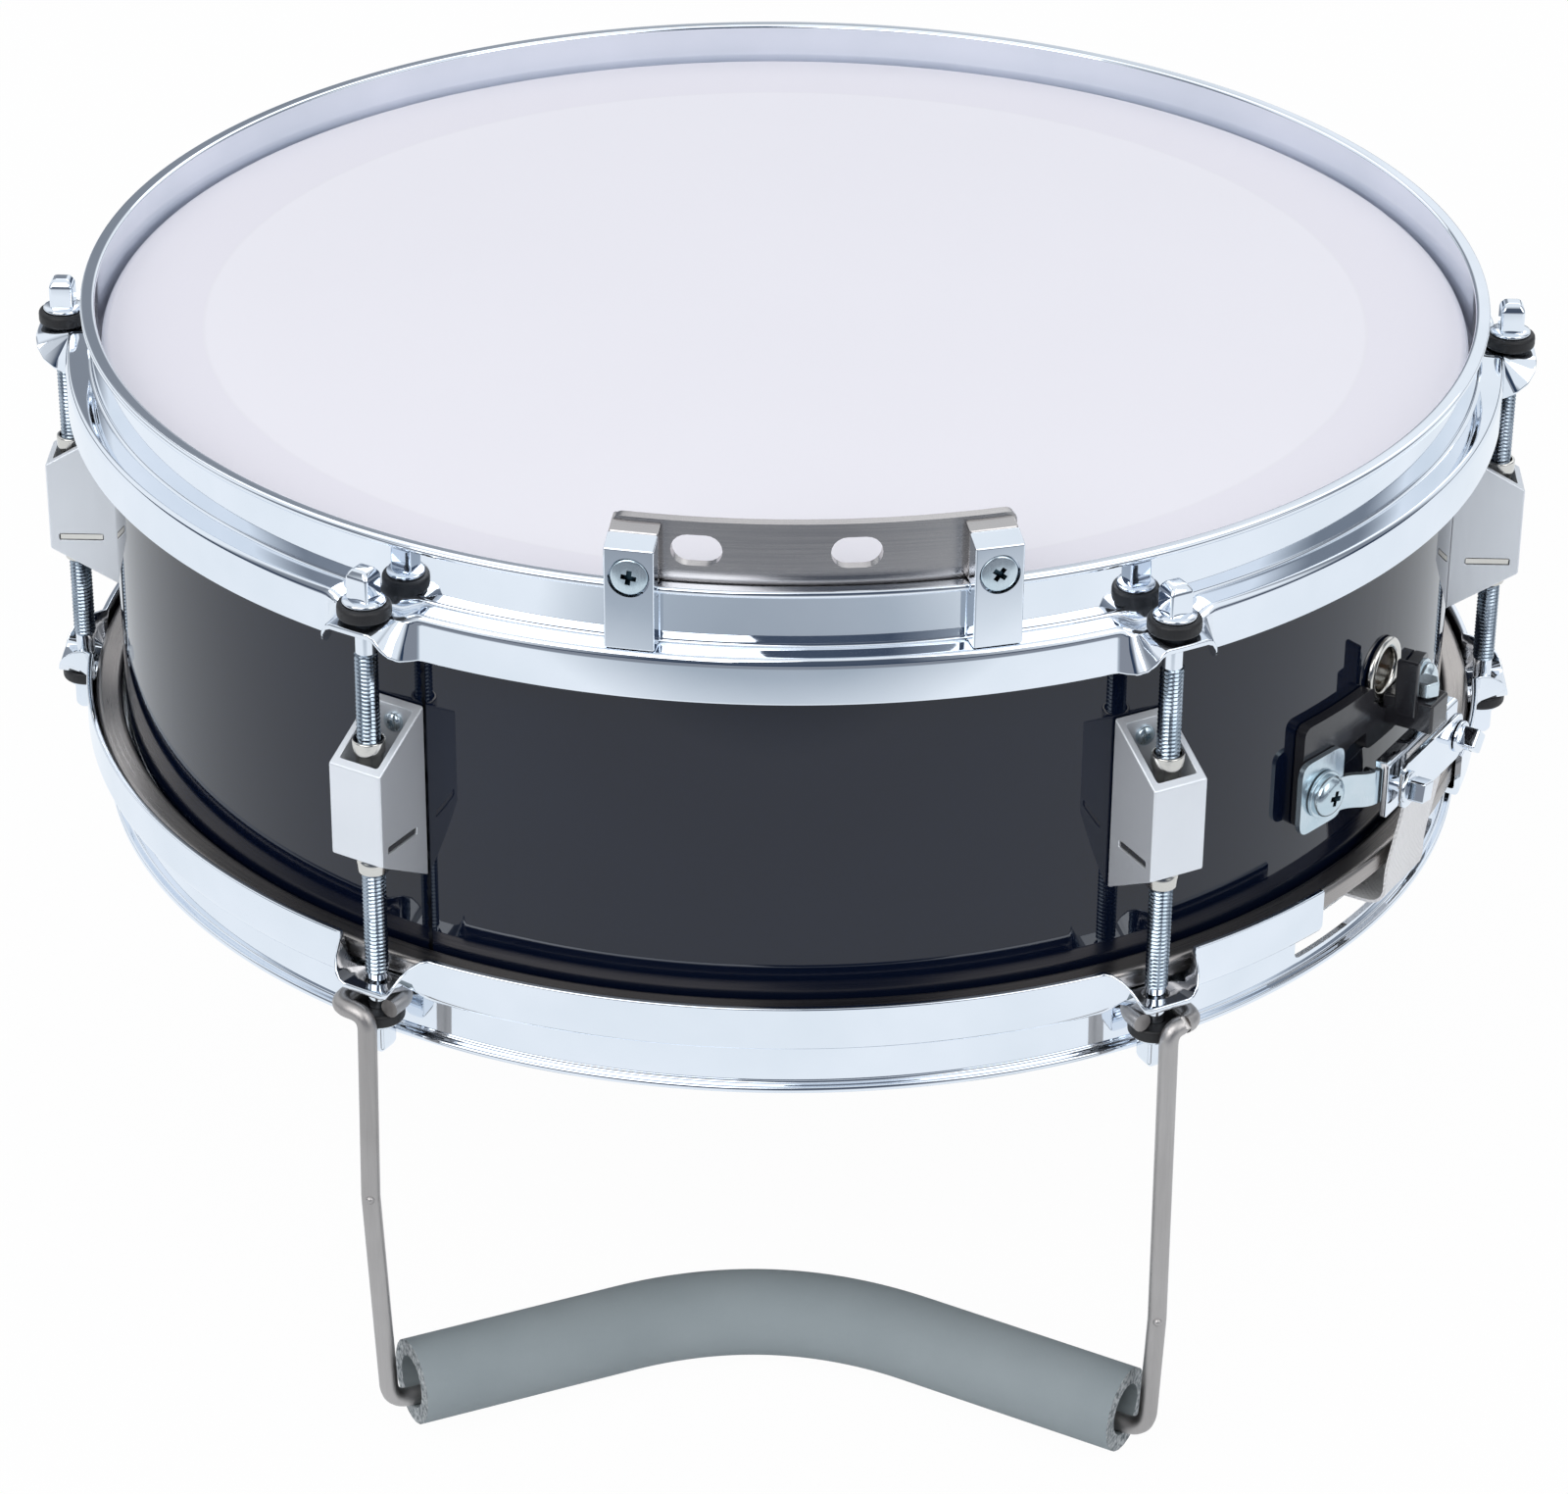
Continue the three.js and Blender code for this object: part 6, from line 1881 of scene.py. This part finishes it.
    def mount_screw(self, mount: Mount, turn: float) -> Piece:
        """Make a pan screw with its washer and cross recess.

        Args:
            mount: Its place.
            turn: The cross's turn in degrees.

        Returns:
            The screw.
        """
        tip, seat = SHELL_RADIUS - SHELL_WALL, mount.seat + SEAT
        washer = seat + self.mount_washer_thickness
        face = self.mount_front(mount)
        outline = rounded([
            (0, tip), (self.mount_shank, tip), (self.mount_shank, seat), (self.mount_washer, seat),
            (self.mount_washer, washer), (self.mount_head, washer),
            (self.mount_head, washer + self.mount_head_height * 0.55), (self.mount_head * 0.62, face),
            (0, face)],
            {3: 0.2, 4: 0.2, 6: 1.4, 7: 2.0}, 5)
        screw = turned_out(outline, 0, mount.level, 48)
        return swung(carved(screw, self.recess.cutter(face, mount.level, turn)), mount.angle)

    def strap(self) -> Piece:
        """Bend the strap: down from the clamp, in through the gate and under the snare head.

        Returns:
            The strap.
        """
        top = self.screw_level + self.plate_height / 2
        bar_foot = self.clamp_top - self.bar_height
        ring_foot = SNARE_FACE + 9.6
        flank = FLESH_OUTER + 2 * SEAT
        inner = self.clamp_face + SEAT
        line = [(inner, top), (inner, bar_foot), (flank, ring_foot), (flank, STRAP_LEVEL),
                (STRAP_END, STRAP_LEVEL)]
        path = rounded(line, {1: 6.0, 2: 4.0, 3: self.strap_turn}, 6)
        return across(ribbon(path, 0, self.strap_thickness), self.strap_width)

    def build_clamp(self) -> None:
        """Make the clamp's own pieces and dress them."""
        body = self.clamp_body
        self.put(self.clamp_plate(), "strap_plate", CHROME, body, ["clamp_plate"])
        self.put(self.strap(), "strap", STRAP, body, ["snare_strap"])
        for name, side, turn in (("left", -1, 12), ("right", 1, 40)):
            screw = self.clamp_screw(side, turn)
            self.put(screw, f"strap_screw_{name}", CHROME, body, [f"clamp_screw_{name}"])
        for name, mount, turn in zip(("left", "right"), self.mounts(), (15, 60)):
            screw = self.put(self.mount_screw(mount, turn), f"pan_screw_{name}", ZINC,
                             replaces=[f"mounting_screw_{name}"])
            self.recess.shade(screw, self.bearing + mount.angle, mount.level, self.mount_front(mount))


@dataclass
class SnareButt(SnareClamp):
    """The clamp that the photograph shows, on an arm over a black casting that steps down past the vent."""

    step_reach: float = 12.0
    end_reach: float = 23.0
    mount_reach: float = 16.0
    bridge_thickness: float = 1.5
    bridge_height: float = 9.4
    bridge_rise: float = 0.7
    bridge_margin: float = 3.5
    pad_width: float = 17.0
    pad_height: float = 20.0
    pad_rise: float = 0.5
    boss_reach: float = 12.6
    bolt_standoff: float = 11.7
    bolt_radius: float = 2.0
    bolt_head: float = 6.0
    bolt_head_height: float = 4.2
    fin_width: float = 6.0
    fin_height: float = 11.0
    fin_thickness: float = 1.8

    @property
    def bolt_out(self) -> float:
        """How far out the bolt stands."""
        return SHELL_RADIUS + self.bolt_standoff

    def frame_outline(self) -> Outline:
        """Draw the casting's face: the left half of the frame, then the beam a step lower.

        Returns:
            The outline.
        """
        w, o = self.frame_width / 2, self.opening_width / 2
        top, foot = self.frame_top, self.frame_top - self.frame_leg
        beam_foot = self.boss_top - self.frame_beam
        inside = self.step_reach + self.frame_wall
        corners = [(-w, foot), (-o, foot), (-o, top - self.frame_beam), (-inside, top - self.frame_beam),
                   (-inside, beam_foot), (self.end_reach, beam_foot), (self.end_reach, self.boss_top),
                   (-self.step_reach, self.boss_top), (-self.step_reach, top), (-w, top)]
        radii = dict.fromkeys(range(10), self.frame_corner) | {2: self.opening_corner, 7: 1.0}
        del radii[3]
        return rounded(corners, radii, 5)

    def mounts(self) -> list[Mount]:
        """Return the places of the two mounting screws, on the arm's pad and on the beam's end.

        Returns:
            The two places.
        """
        angle = math.degrees(self.mount_reach / self.frame_outer)
        return [Mount(self.frame_outer + SEAT + self.bridge_thickness, -self.mount_angle, self.mount_level),
                Mount(self.frame_outer, angle, self.boss_top - self.frame_beam / 2)]

    def vent_room(self, outer: float) -> Piece:
        """Make the cutter that keeps the casting off the vent's ring, from the shell to a radius.

        Args:
            outer: The radius where it ends.

        Returns:
            The cutter.
        """
        vent = Shell()
        span = (self.frame_inner - OVERRUN, outer)
        cutter = bar(Run.OUT, vent.eyelet_radius + 0.4, span, (0, vent.vent_level), 48)
        return swung(cutter, vent.vent_bearing - self.bearing)

    def body(self) -> Piece:
        """Fuse the boss and the fin to the casting, and cut the bolt's hole and the vent's room.

        Returns:
            The casting.
        """
        fin_side = 0.4 - self.boss_width / 2
        fin_back = self.bolt_out - self.fin_width
        fin = block((fin_side - self.fin_thickness, fin_side), (fin_back, fin_back + self.fin_width),
                    (self.boss_top - self.boss_height / 2, self.boss_top + self.fin_height))
        scalloped = self.casting(self.vent_room(self.frame_outer + OVERRUN))
        whole = fused(scalloped, self.boss(self.boss_reach), eased(fin, 0.5))
        hole = self.upright_hole(self.bolt_radius, self.bolt_out, self.boss_top, self.boss_height)
        return carved(whole, hole, self.vent_room(self.frame_inner + Shell().eyelet_rise + SEAT))

    def bridge(self) -> Piece:
        """Bend the arm: a pad under the left mounting screw and a strip that ends behind the clamp.

        Returns:
            The arm.
        """
        half = self.bridge_thickness / 2
        centre = self.frame_outer + SEAT + half
        angle = math.radians(self.mount_angle)
        span = self.clamp_face - self.bar_wall - SEAT - half
        shoulder = self.bar_width / 2 + 2

        def on_pad(along: float) -> Pair:
            """Return the place on the pad's middle plane, so far along from its screw."""
            return (-centre * math.sin(angle) + along * math.cos(angle),
                    centre * math.cos(angle) + along * math.sin(angle))

        line = [on_pad(self.pad_width / 4), on_pad(self.pad_width / 2 + 1), (-shoulder, span),
                (self.screw_spacing / 2 + self.bridge_margin, span)]
        foot = self.screw_level + self.bridge_rise - self.bridge_height / 2
        strip = slab(Plane.PLAN, ribbon(rounded(line, {1: 3.5, 2: 3.5}, 6), half, -half), foot,
                     foot + self.bridge_height)
        outline = rounded_box(self.pad_width, self.pad_height, self.mount_level + self.pad_rise, 3.6)
        pad = slab(Plane.FACE, outline, centre - half, centre + half)
        return eased(fused(strip, swung(pad, -self.mount_angle)), 0.25, 2, 50)

    def bolt(self) -> Piece:
        """Make the hexagon bolt.

        Returns:
            The bolt.
        """
        place = (0, self.bolt_out)
        foot = self.boss_top + SEAT
        head = bar(Run.UP, self.bolt_head / math.sqrt(3), (foot, foot + self.bolt_head_height), place, 6)
        stem = bar(Run.UP, self.bolt_radius, (self.clamp_top + 0.4, foot + 1), place, 24)
        return gathered(eased(head, 0.5, 3, 30), stem)

    def build(self) -> None:
        """Make the butt's pieces and dress them."""
        self.put(self.body(), "casting", CASTING, replaces=["frame"])
        self.put(self.bridge(), "sprung_bridge", ZINC, replaces=["bridge"])
        self.put(self.clamp_bar(), "angle_bar", CHROME, replaces=["clamp_bar"])
        self.put(self.bolt(), "hexagon_bolt", ZINC, "butt_bolt_body", ["adjusting_bolt"])
        self.build_clamp()


@dataclass
class ThrowOff(SnareClamp):
    """The release on the far side: cheeks, bail lever, tension knob and carriage."""

    cheek_spacing: float = 26.6
    cheek_thickness: float = 3.0
    cheek_height: float = 12.0
    pivot_radius: float = 2.0
    pivot_out: float = SHELL_RADIUS + 15.2
    pivot_drop: float = 7.0
    arm_thickness: float = 3.0
    arm_width: float = 7.0
    lever_length: float = 32.0
    grip_height: float = 10.0
    knob_out: float = SHELL_RADIUS + 8.3
    knob_radius: float = 7.4
    knob_height: float = 10.0
    knob_neck: float = 3.4
    knob_screw: float = 2.4
    knob_screw_length: float = 22.0
    knob_ridges: int = 24
    ridge_depth: float = 0.45
    block_width: float = 13.0
    block_depth: float = 8.0
    block_height: float = 12.0
    boss_reach: float = 8.3

    @property
    def pivot_level(self) -> float:
        """The level of the lever's pivot."""
        return self.frame_top - self.pivot_drop

    def base(self) -> Piece:
        """Fuse the cheeks and the boss to the casting.

        Returns:
            The casting.
        """
        back = self.frame_inner + self.frame_wall / 2
        foot = self.boss_top - self.cheek_height * 2 / 3
        near = self.cheek_spacing / 2
        front = self.pivot_out + 2 * self.pivot_radius
        top = foot + self.cheek_height
        outline = rounded([(back, foot), (front, foot), (front, top), (back, top)], {1: 4.0, 2: 4.0}, 5)
        cheeks = []
        for side in (-1, 1):
            x = sorted((side * near, side * (near + self.cheek_thickness)))
            cheeks.append(eased(slab(Plane.SIDE, outline, *x), 0.4, 2, 50))
        whole = fused(self.casting(), *cheeks, self.boss(self.boss_reach))
        pivot_hole = bar(Run.ALONG, self.pivot_radius + 0.4, (-self.cheek_spacing, self.cheek_spacing),
                         (self.pivot_out, self.pivot_level), 24)
        knob_hole = self.upright_hole(self.knob_screw, self.knob_out, self.boss_top, self.boss_height)
        return carved(whole, pivot_hole, knob_hole)

    def lever(self) -> Piece:
        """Fold the bail lever and add its pivot pin.

        Returns:
            The lever.
        """
        near = self.cheek_spacing / 2 + self.cheek_thickness + SEAT
        far = near + self.arm_thickness
        back, front = self.pivot_out - self.arm_width / 2, self.pivot_out + self.arm_width / 2
        foot, top = self.pivot_level - self.arm_width / 2, self.pivot_level + self.lever_length
        grip = top - self.grip_height
        outline = [(-far, foot), (-near, foot), (-near, grip), (near, grip), (near, foot), (far, foot),
                   (far, top), (-far, top)]
        radii = dict(enumerate((1.0, 1.0, 3.0, 3.0, 1.0, 1.0, 6.0, 6.0)))
        bail = slab(Plane.FACE, rounded(outline, radii, 6), back, front)
        end = (near + far) / 2
        pin = bar(Run.ALONG, self.pivot_radius, (-end, end), (self.pivot_out, self.pivot_level), 24)
        return gathered(eased(bail, 0.8, 3, 40), pin)

    def knob(self) -> Piece:
        """Turn the tension knob and cut the grooves of its grip.

        Returns:
            The knob.
        """
        foot, neck = self.frame_top + 0.4, self.boss_top + SEAT
        top, tip = foot + self.knob_height, neck - self.knob_screw_length
        knob = spun(rounded([
            (0, tip), (self.knob_screw, tip), (self.knob_screw, neck), (self.knob_neck, neck),
            (self.knob_neck, foot), (self.knob_radius, foot), (self.knob_radius, top),
            (self.knob_radius - 1.5, top), (0, top)], {5: 0.6, 6: 1.0}, 4), 72)
        for vertex in knob.data.vertices:
            radius, angle = polar(vertex)
            if radius > self.knob_radius - 1.2 and (foot + 1.2) * MM < vertex.co.z + 1 * MM:
                ridge = 0.5 + 0.5 * math.cos(angle * self.knob_ridges)
                spread(vertex, (radius - self.ridge_depth * ridge) / radius)
        return shifted(knob, out=self.knob_out)

    def carriage(self) -> Piece:
        """Fuse the clamp bar to the block that the knob's screw passes through.

        Returns:
            The carriage.
        """
        half = self.block_width / 2
        depth = (self.clamp_face - self.block_depth, self.clamp_face - self.bar_wall / 2)
        guide = block((-half, half), depth, (self.clamp_top - self.block_height, self.clamp_top - 0.05))
        return carved(fused(self.clamp_bar(), eased(guide, 0.5)),
                      self.upright_hole(self.knob_screw, self.knob_out, self.clamp_top, self.block_height))

    def build(self) -> None:
        """Make the throw-off's pieces and dress them."""
        self.put(self.base(), "casting", CASTING, replaces=["base"])
        self.put(self.lever(), "bail", CHROME, "throwoff_lever_body", ["lever"])
        self.put(self.knob(), "knob", CHROME, "throwoff_knob_body", ["tension_knob"])
        self.put(self.carriage(), "slide", CHROME, self.clamp_body, ["carriage"])
        self.build_clamp()


@dataclass
class SnareWires:
    """The coiled wires under the snare head, soldered to a plate at each end."""

    wire_radius: float = 0.9
    strand: float = 0.22
    count: int = 12
    pitch: float = 3.2
    coil_pitch: float = 1.5
    plate_outer: float = SHELL_RADIUS - 18.3
    plate_length: float = 20.0
    plate_thickness: float = 1.0
    margin: float = 2.0

    def coil(self, x: float, half: float, level: float) -> Piece:
        """Wind one coil along the snares' run.

        Args:
            x: Its place across the run.
            half: Half of its length.
            level: The level of its middle.

        Returns:
            The coil.
        """
        radius = self.wire_radius - self.strand
        turns = round(2 * half / self.coil_pitch)
        ring = fresh(bpy.ops.mesh.primitive_circle_add, vertices=4, radius=self.strand * MM,
                     location=(radius * MM, 0, 0), rotation=(math.pi / 2, 0, 0))
        settle(ring)
        applied(ring, "SCREW", axis="Z", screw_offset=2 * half / turns * MM, iterations=turns, steps=7,
                render_steps=7, use_merge_vertices=True, merge_threshold=WELD)
        return shifted(moved(ring, Matrix.Rotation(math.pi / 2, 4, "X")), x, -half, level)

    def build(self) -> None:
        """Make the wires and their plates and dress them."""
        level = SNARE_FACE - 0.5 - self.wire_radius
        plate_top = STRAP_LEVEL - STRAP_THICKNESS - SEAT
        wire_end = STRAP_END - 2 * SEAT
        half = self.pitch * (self.count - 1) / 2 + self.margin
        plates = []
        for side in (-1, 1):
            out = sorted((side * self.plate_outer, side * (self.plate_outer - self.plate_length)))
            plate = block((-half, half), tuple(out), (plate_top - self.plate_thickness, plate_top))
            plates.append(eased(plate, 0.3))
        places = [(i - (self.count - 1) / 2) * self.pitch for i in range(self.count)]
        coils = [self.coil(x, wire_end - 0.5, level) for x in places]
        dress(swung(gathered(*plates, *coils), BUTT_BEARING), "snare_coils", DRAWN, "snare_wires_body",
              ["snare_wires"])


@dataclass
class KneeRest:
    """The wire that hooks over two lower rods and carries the foam that lies round the thigh."""

    wire: float = KNEE_WIRE
    loop: float = 6.2
    tail: float = 4.0
    leg_out: float = 9.2
    leg_shifts: Pair = (3.2, 1.7)
    bend: float = 4.4
    knee_radius: float = 12.0
    corner_radius: float = 6.0
    corner_depths: Pair = (116.1, 118.6)
    corner_outs: Pair = (0.0, 3.3)
    knee_depths: Pair = (53.0, 85.8)
    taper: float = 3.0
    mark_radius: float = 1.2
    arch_back: float = 48.5
    arch_drop: float = 118.0
    arch_radius: float = 83.0
    level: float = SNARE_FACE - (EAR_SEAT + KNEE_WIRE)
    foam_radius: float = 11.2
    foam_bore: float = 6.9
    foam_lift: float = 4.4
    foam_start: float = 6.0

    def bent(self, corners: Sequence[tuple[Vector, float]], steps: int = 8) -> list[Vector]:
        """Round a line's corners.

        Args:
            corners: Each corner with its radius; the ends' radii aren't used.
            steps: The steps round each corner.

        Returns:
            The line's points.
        """
        points = [corners[0][0]]
        for i in range(1, len(corners) - 1):
            at, radius = corners[i]
            back = (corners[i - 1][0] - at).normalized()
            ahead = (corners[i + 1][0] - at).normalized()
            reach = radius * math.tan((math.pi - back.angle(ahead)) / 2)
            points += curved(at + back * reach, at, at + ahead * reach, steps)
        return [*points, corners[-1][0]]

    def hook(self, side: int, shift: float, depth: float) -> tuple[list[Vector], Vector]:
        """Bend one hook and the top of its leg.

        Args:
            side: -1 for the left and 1 for the right.
            shift: How far the leg stands along from the rod.
            depth: The knee's depth below the hook.

        Returns:
            The line from the cut end, and the knee.
        """
        angle = math.radians(side * LUG_BEARINGS["front_right"])
        out = Vector((math.sin(angle), -math.cos(angle), 0))
        inwards = Vector((-side * math.cos(angle), -abs(math.sin(angle)), 0))

        def place(along: float, outward: float) -> Vector:
            """Return the place so far along the rim and outwards from the rod, at the hook's level."""
            return out * (ROD_CIRCLE + outward) + inwards * along + Vector((0, 0, self.level))

        line = [place(self.loop, self.tail)]
        for i in range(HOOK_STEPS + 1):
            turn = math.pi * i / HOOK_STEPS
            line.append(place(self.loop * math.cos(turn), -self.loop * math.sin(turn)))
        leg_top = place(shift, self.leg_out)
        knee = Vector((leg_top.x + side * self.taper / 4, leg_top.y, self.level - depth))
        leg = self.bent([(place(-self.loop, 0), 0), (place(-self.loop, self.leg_out), self.bend),
                         (leg_top, self.bend), (knee, 0)])
        return line + leg[1:-1], knee

    def mark(self, knee: Vector) -> Piece:
        """Make the small round mark that the bending tool left on the front of a knee.

        Args:
            knee: The knee's middle.

        Returns:
            The mark.
        """
        place = (knee.x * MM, (knee.y - self.wire * 0.8) * MM, knee.z * MM)
        return settle(fresh(bpy.ops.mesh.primitive_uv_sphere_add, segments=16, ring_count=10,
                            radius=self.mark_radius * MM, location=place))

    def foam_end(self, corner: Vector, apex: Vector) -> Vector:
        """Return the middle of the foam's cut end, near a corner of the wire."""
        return corner + (apex - corner).normalized() * self.foam_start + Vector((0, 0, self.foam_lift))

    def foam(self, left: Vector, apex: Vector, right: Vector) -> Piece:
        """Bend the foam tube round the arch and bore it.

        Args:
            left: The wire's left corner.
            apex: Where the lines of the two arms meet.
            right: The wire's right corner.

        Returns:
            The foam tube.
        """
        start, end = (self.foam_end(corner, apex) for corner in (left, right))
        top = apex + Vector((0, 0, self.foam_lift))
        line = self.bent([(start, 0), (top, self.arch_radius), (end, 0)], 40)
        longer = [line[0] * 1.2 - line[1] * 0.2, *line, line[-1] * 1.2 - line[-2] * 0.2]
        return carved(tube(line, self.foam_radius, 10), tube(longer, self.foam_bore, 8))

    def build(self) -> None:
        """Bend the wire, cut the foam, and dress them."""
        runs, knees, corners = [], [], []
        for side, shift, knee_depth, corner_depth, out, taper in zip(
                (-1, 1), self.leg_shifts, self.knee_depths, self.corner_depths, self.corner_outs,
                (self.taper, -self.taper / 2)):
            line, knee = self.hook(side, shift, knee_depth)
            runs.append(line)
            knees.append(knee)
            corners.append(Vector((knee.x + taper, knee.y - out, self.level - corner_depth)))
        left, right = corners
        apex = Vector(((left.x + right.x) / 2, left.y + self.arch_back, self.level - self.arch_drop))
        bends = [(runs[0][-1], 0), (knees[0], self.knee_radius), (left, self.corner_radius),
                 (apex, self.arch_radius), (right, self.corner_radius), (knees[1], self.knee_radius),
                 (runs[1][-1], 0)]
        wire = tube(runs[0] + self.bent(bends, 24)[1:-1] + runs[1][::-1], self.wire, 5)
        dress(gathered(wire, *(self.mark(knee) for knee in knees)), "knee_wire", DRAWN,
              replaces=["knee_rest_wire"], sharp=60)
        foam = self.foam(left, apex, right)
        dress(foam, "foam_grip", FOAM, replaces=["knee_rest_foam"], sharp=60)
        foam.data.materials.append(CELLS.material())
        for corner in (left, right):
            along = (apex - corner).normalized()
            end = self.foam_end(corner, apex) * MM
            for face in foam.data.polygons:
                if abs((face.center - end).dot(along)) < 0.5 * MM and abs(face.normal.dot(along)) > 0.9:
                    face.material_index = 1


@dataclass
class Studio:
    """The pale floor, the soft lights and the camera."""

    focal_pixels: float = 5171.4
    image_width: float = 1600.0
    sensor: float = 36.0
    eye: Point = (24.18, -1224.79, 545.28)
    target: Point = (0.68, 0.0, -132.4)
    roll: float = 0.51
    floor_level: float = -239.0
    floor_depths: Point = (-0.54, -0.62, -0.72)
    floor_tones: tuple[Point, Point, Point] = ((0.92, 0.96, 1), (0.44, 0.49, 0.55), (0.26, 0.28, 0.32))
    background_share: float = 0.97
    ambient: Point = (0.54, 0.55, 0.58)
    dark: Point = (0.03, 0.05, 0.09)

    def camera(self) -> None:
        """Put the camera at the photograph's viewpoint."""
        eye = Vector(self.eye)
        back = (eye - Vector(self.target)).normalized()
        right = Vector((0, 0, 1)).cross(back).normalized()
        up = back.cross(right)
        turn = math.radians(self.roll)
        side = right * math.cos(turn) + up * math.sin(turn)
        top = up * math.cos(turn) - right * math.sin(turn)
        lens = fresh(bpy.ops.object.camera_add)
        lens.name = "camera"
        lens.matrix_world = Matrix.Translation(eye * MM) @ Matrix((side, top, back)).transposed().to_4x4()
        lens.data.sensor_width = self.sensor
        lens.data.lens = self.focal_pixels / self.image_width * self.sensor
        lens.data.clip_start = 0.05
        bpy.context.scene.camera = lens

    def floor(self) -> None:
        """Lay the pale floor, which bare metal shows fading to grey towards the player."""
        sheet = fresh(bpy.ops.mesh.primitive_plane_add, size=12, location=(0, 0, self.floor_level * MM))
        sheet.name = "floor"
        made = bpy.data.materials.new("pale_floor")
        made.use_nodes = True
        tree = made.node_tree
        surface = own_node(tree, "BSDF_PRINCIPLED")
        surface.inputs["Base Color"].default_value = (0.9, 0.9, 0.91, 1)
        surface.inputs["Roughness"].default_value = 0.9
        *_, where = drum_place(tree)
        depth = node(tree, "ShaderNodeSeparateXYZ", {0: where}).outputs[1]
        near, middle, far = self.floor_depths
        pale, grey, dim = ((*tone, 1) for tone in self.floor_tones)
        shown = blend_colours(tree, ramp(tree, depth, near, middle), pale, grey)
        shown = blend_colours(tree, ramp(tree, depth, middle, far), shown, dim)
        seen, glossy = rays(tree)
        glow = node(tree, "ShaderNodeEmission", {"Color": blend_colours(tree, glossy, WHITE, shown)})
        share = sums(tree, "MAXIMUM", sums(tree, "MULTIPLY", seen, self.background_share), glossy)
        mixed = node(tree, "ShaderNodeMixShader", {0: share, 1: surface.outputs[0], 2: glow.outputs[0]})
        tree.links.new(mixed.outputs[0], own_node(tree, "OUTPUT_MATERIAL").inputs["Surface"])
        sheet.data.materials.append(made)

    def light(self, name: str, place: Point, size: Pair, power: float) -> None:
        """Hang a soft light that faces the drum.

        Args:
            name: The light's name.
            place: Its place in metres.
            size: Its width and height in metres.
            power: Its power in watts.
        """
        lamp = fresh(bpy.ops.object.light_add, type="AREA", location=place)
        lamp.name = name
        lamp.data.shape = "RECTANGLE"
        lamp.data.size, lamp.data.size_y = size
        lamp.data.energy = power
        aim = Vector((0, 0, -0.1)) - Vector(place)
        lamp.rotation_euler = aim.to_track_quat("-Z", "Y").to_euler()

    def world(self) -> None:
        """Light the scene evenly, with a white background that metal shows with soft dark bands."""
        sky = bpy.data.worlds.new("studio")
        bpy.context.scene.world = sky
        sky.use_nodes = True
        tree = sky.node_tree
        where = node(tree, "ShaderNodeTexCoord").outputs["Generated"]
        x, y, z = node(tree, "ShaderNodeSeparateXYZ", {0: where}).outputs
        turn = sums(tree, "ARCTAN2", x, sums(tree, "MULTIPLY", y, -1.0))
        wave = sums(tree, "SINE", sums(tree, "ADD", sums(tree, "MULTIPLY", turn, 4.0), 0.6))
        bands = ramp(tree, wave, 0.2, 0.9, 1.0, 0.25)
        ahead = ramp(tree, sums(tree, "COSINE", turn), 0.72, 0.95, 1.0, 0.05)
        side = sums(tree, "MINIMUM", bands, ahead)
        bright = sums(tree, "MAXIMUM", side, ramp(tree, z, 0.66, 0.84))
        level = sums(tree, "MULTIPLY", bright, ramp(tree, z, 0.02, 0.14))
        shown = blend_colours(tree, level, (*self.dark, 1), (*self.floor_tones[0], 1))
        seen, glossy = rays(tree)
        lit = blend_colours(tree, glossy, (*self.ambient, 1), shown)
        tree.links.new(blend_colours(tree, seen, lit, WHITE), own_node(tree, "BACKGROUND").inputs["Color"])

    def build(self) -> None:
        """Set up the whole studio."""
        bpy.context.scene.view_settings.view_transform = "Standard"
        self.camera()
        self.floor()
        self.world()
        self.light("left_soft_light", (-1.0, -1.7, 1.3), (2.2, 1.6), 28)
        self.light("right_soft_light", (1.3, -1.3, 1.2), (1.2, 1.4), 9)
        self.light("rear_soft_light", (0.2, 1.6, 1.5), (2.0, 1.0), 7)


def main() -> None:
    """Set up the studio, then make every part of the drum."""
    logging.basicConfig(level=logging.INFO, format="%(name)s: %(message)s")
    Studio().build()
    Shell().build()
    DrumEnd(End.BATTER).build()
    DrumEnd(End.SNARE, (BUTT_BEARING, THROWOFF_BEARING)).build()
    TensionRods().build()
    Lugs().build()
    HookPlate().build()
    SnareButt("butt", BUTT_BEARING, "drum").build()
    ThrowOff("throwoff", THROWOFF_BEARING, "throwoff_carriage_body").build()
    SnareWires().build()
    KneeRest().build()


if __name__ == "__main__":
    main()
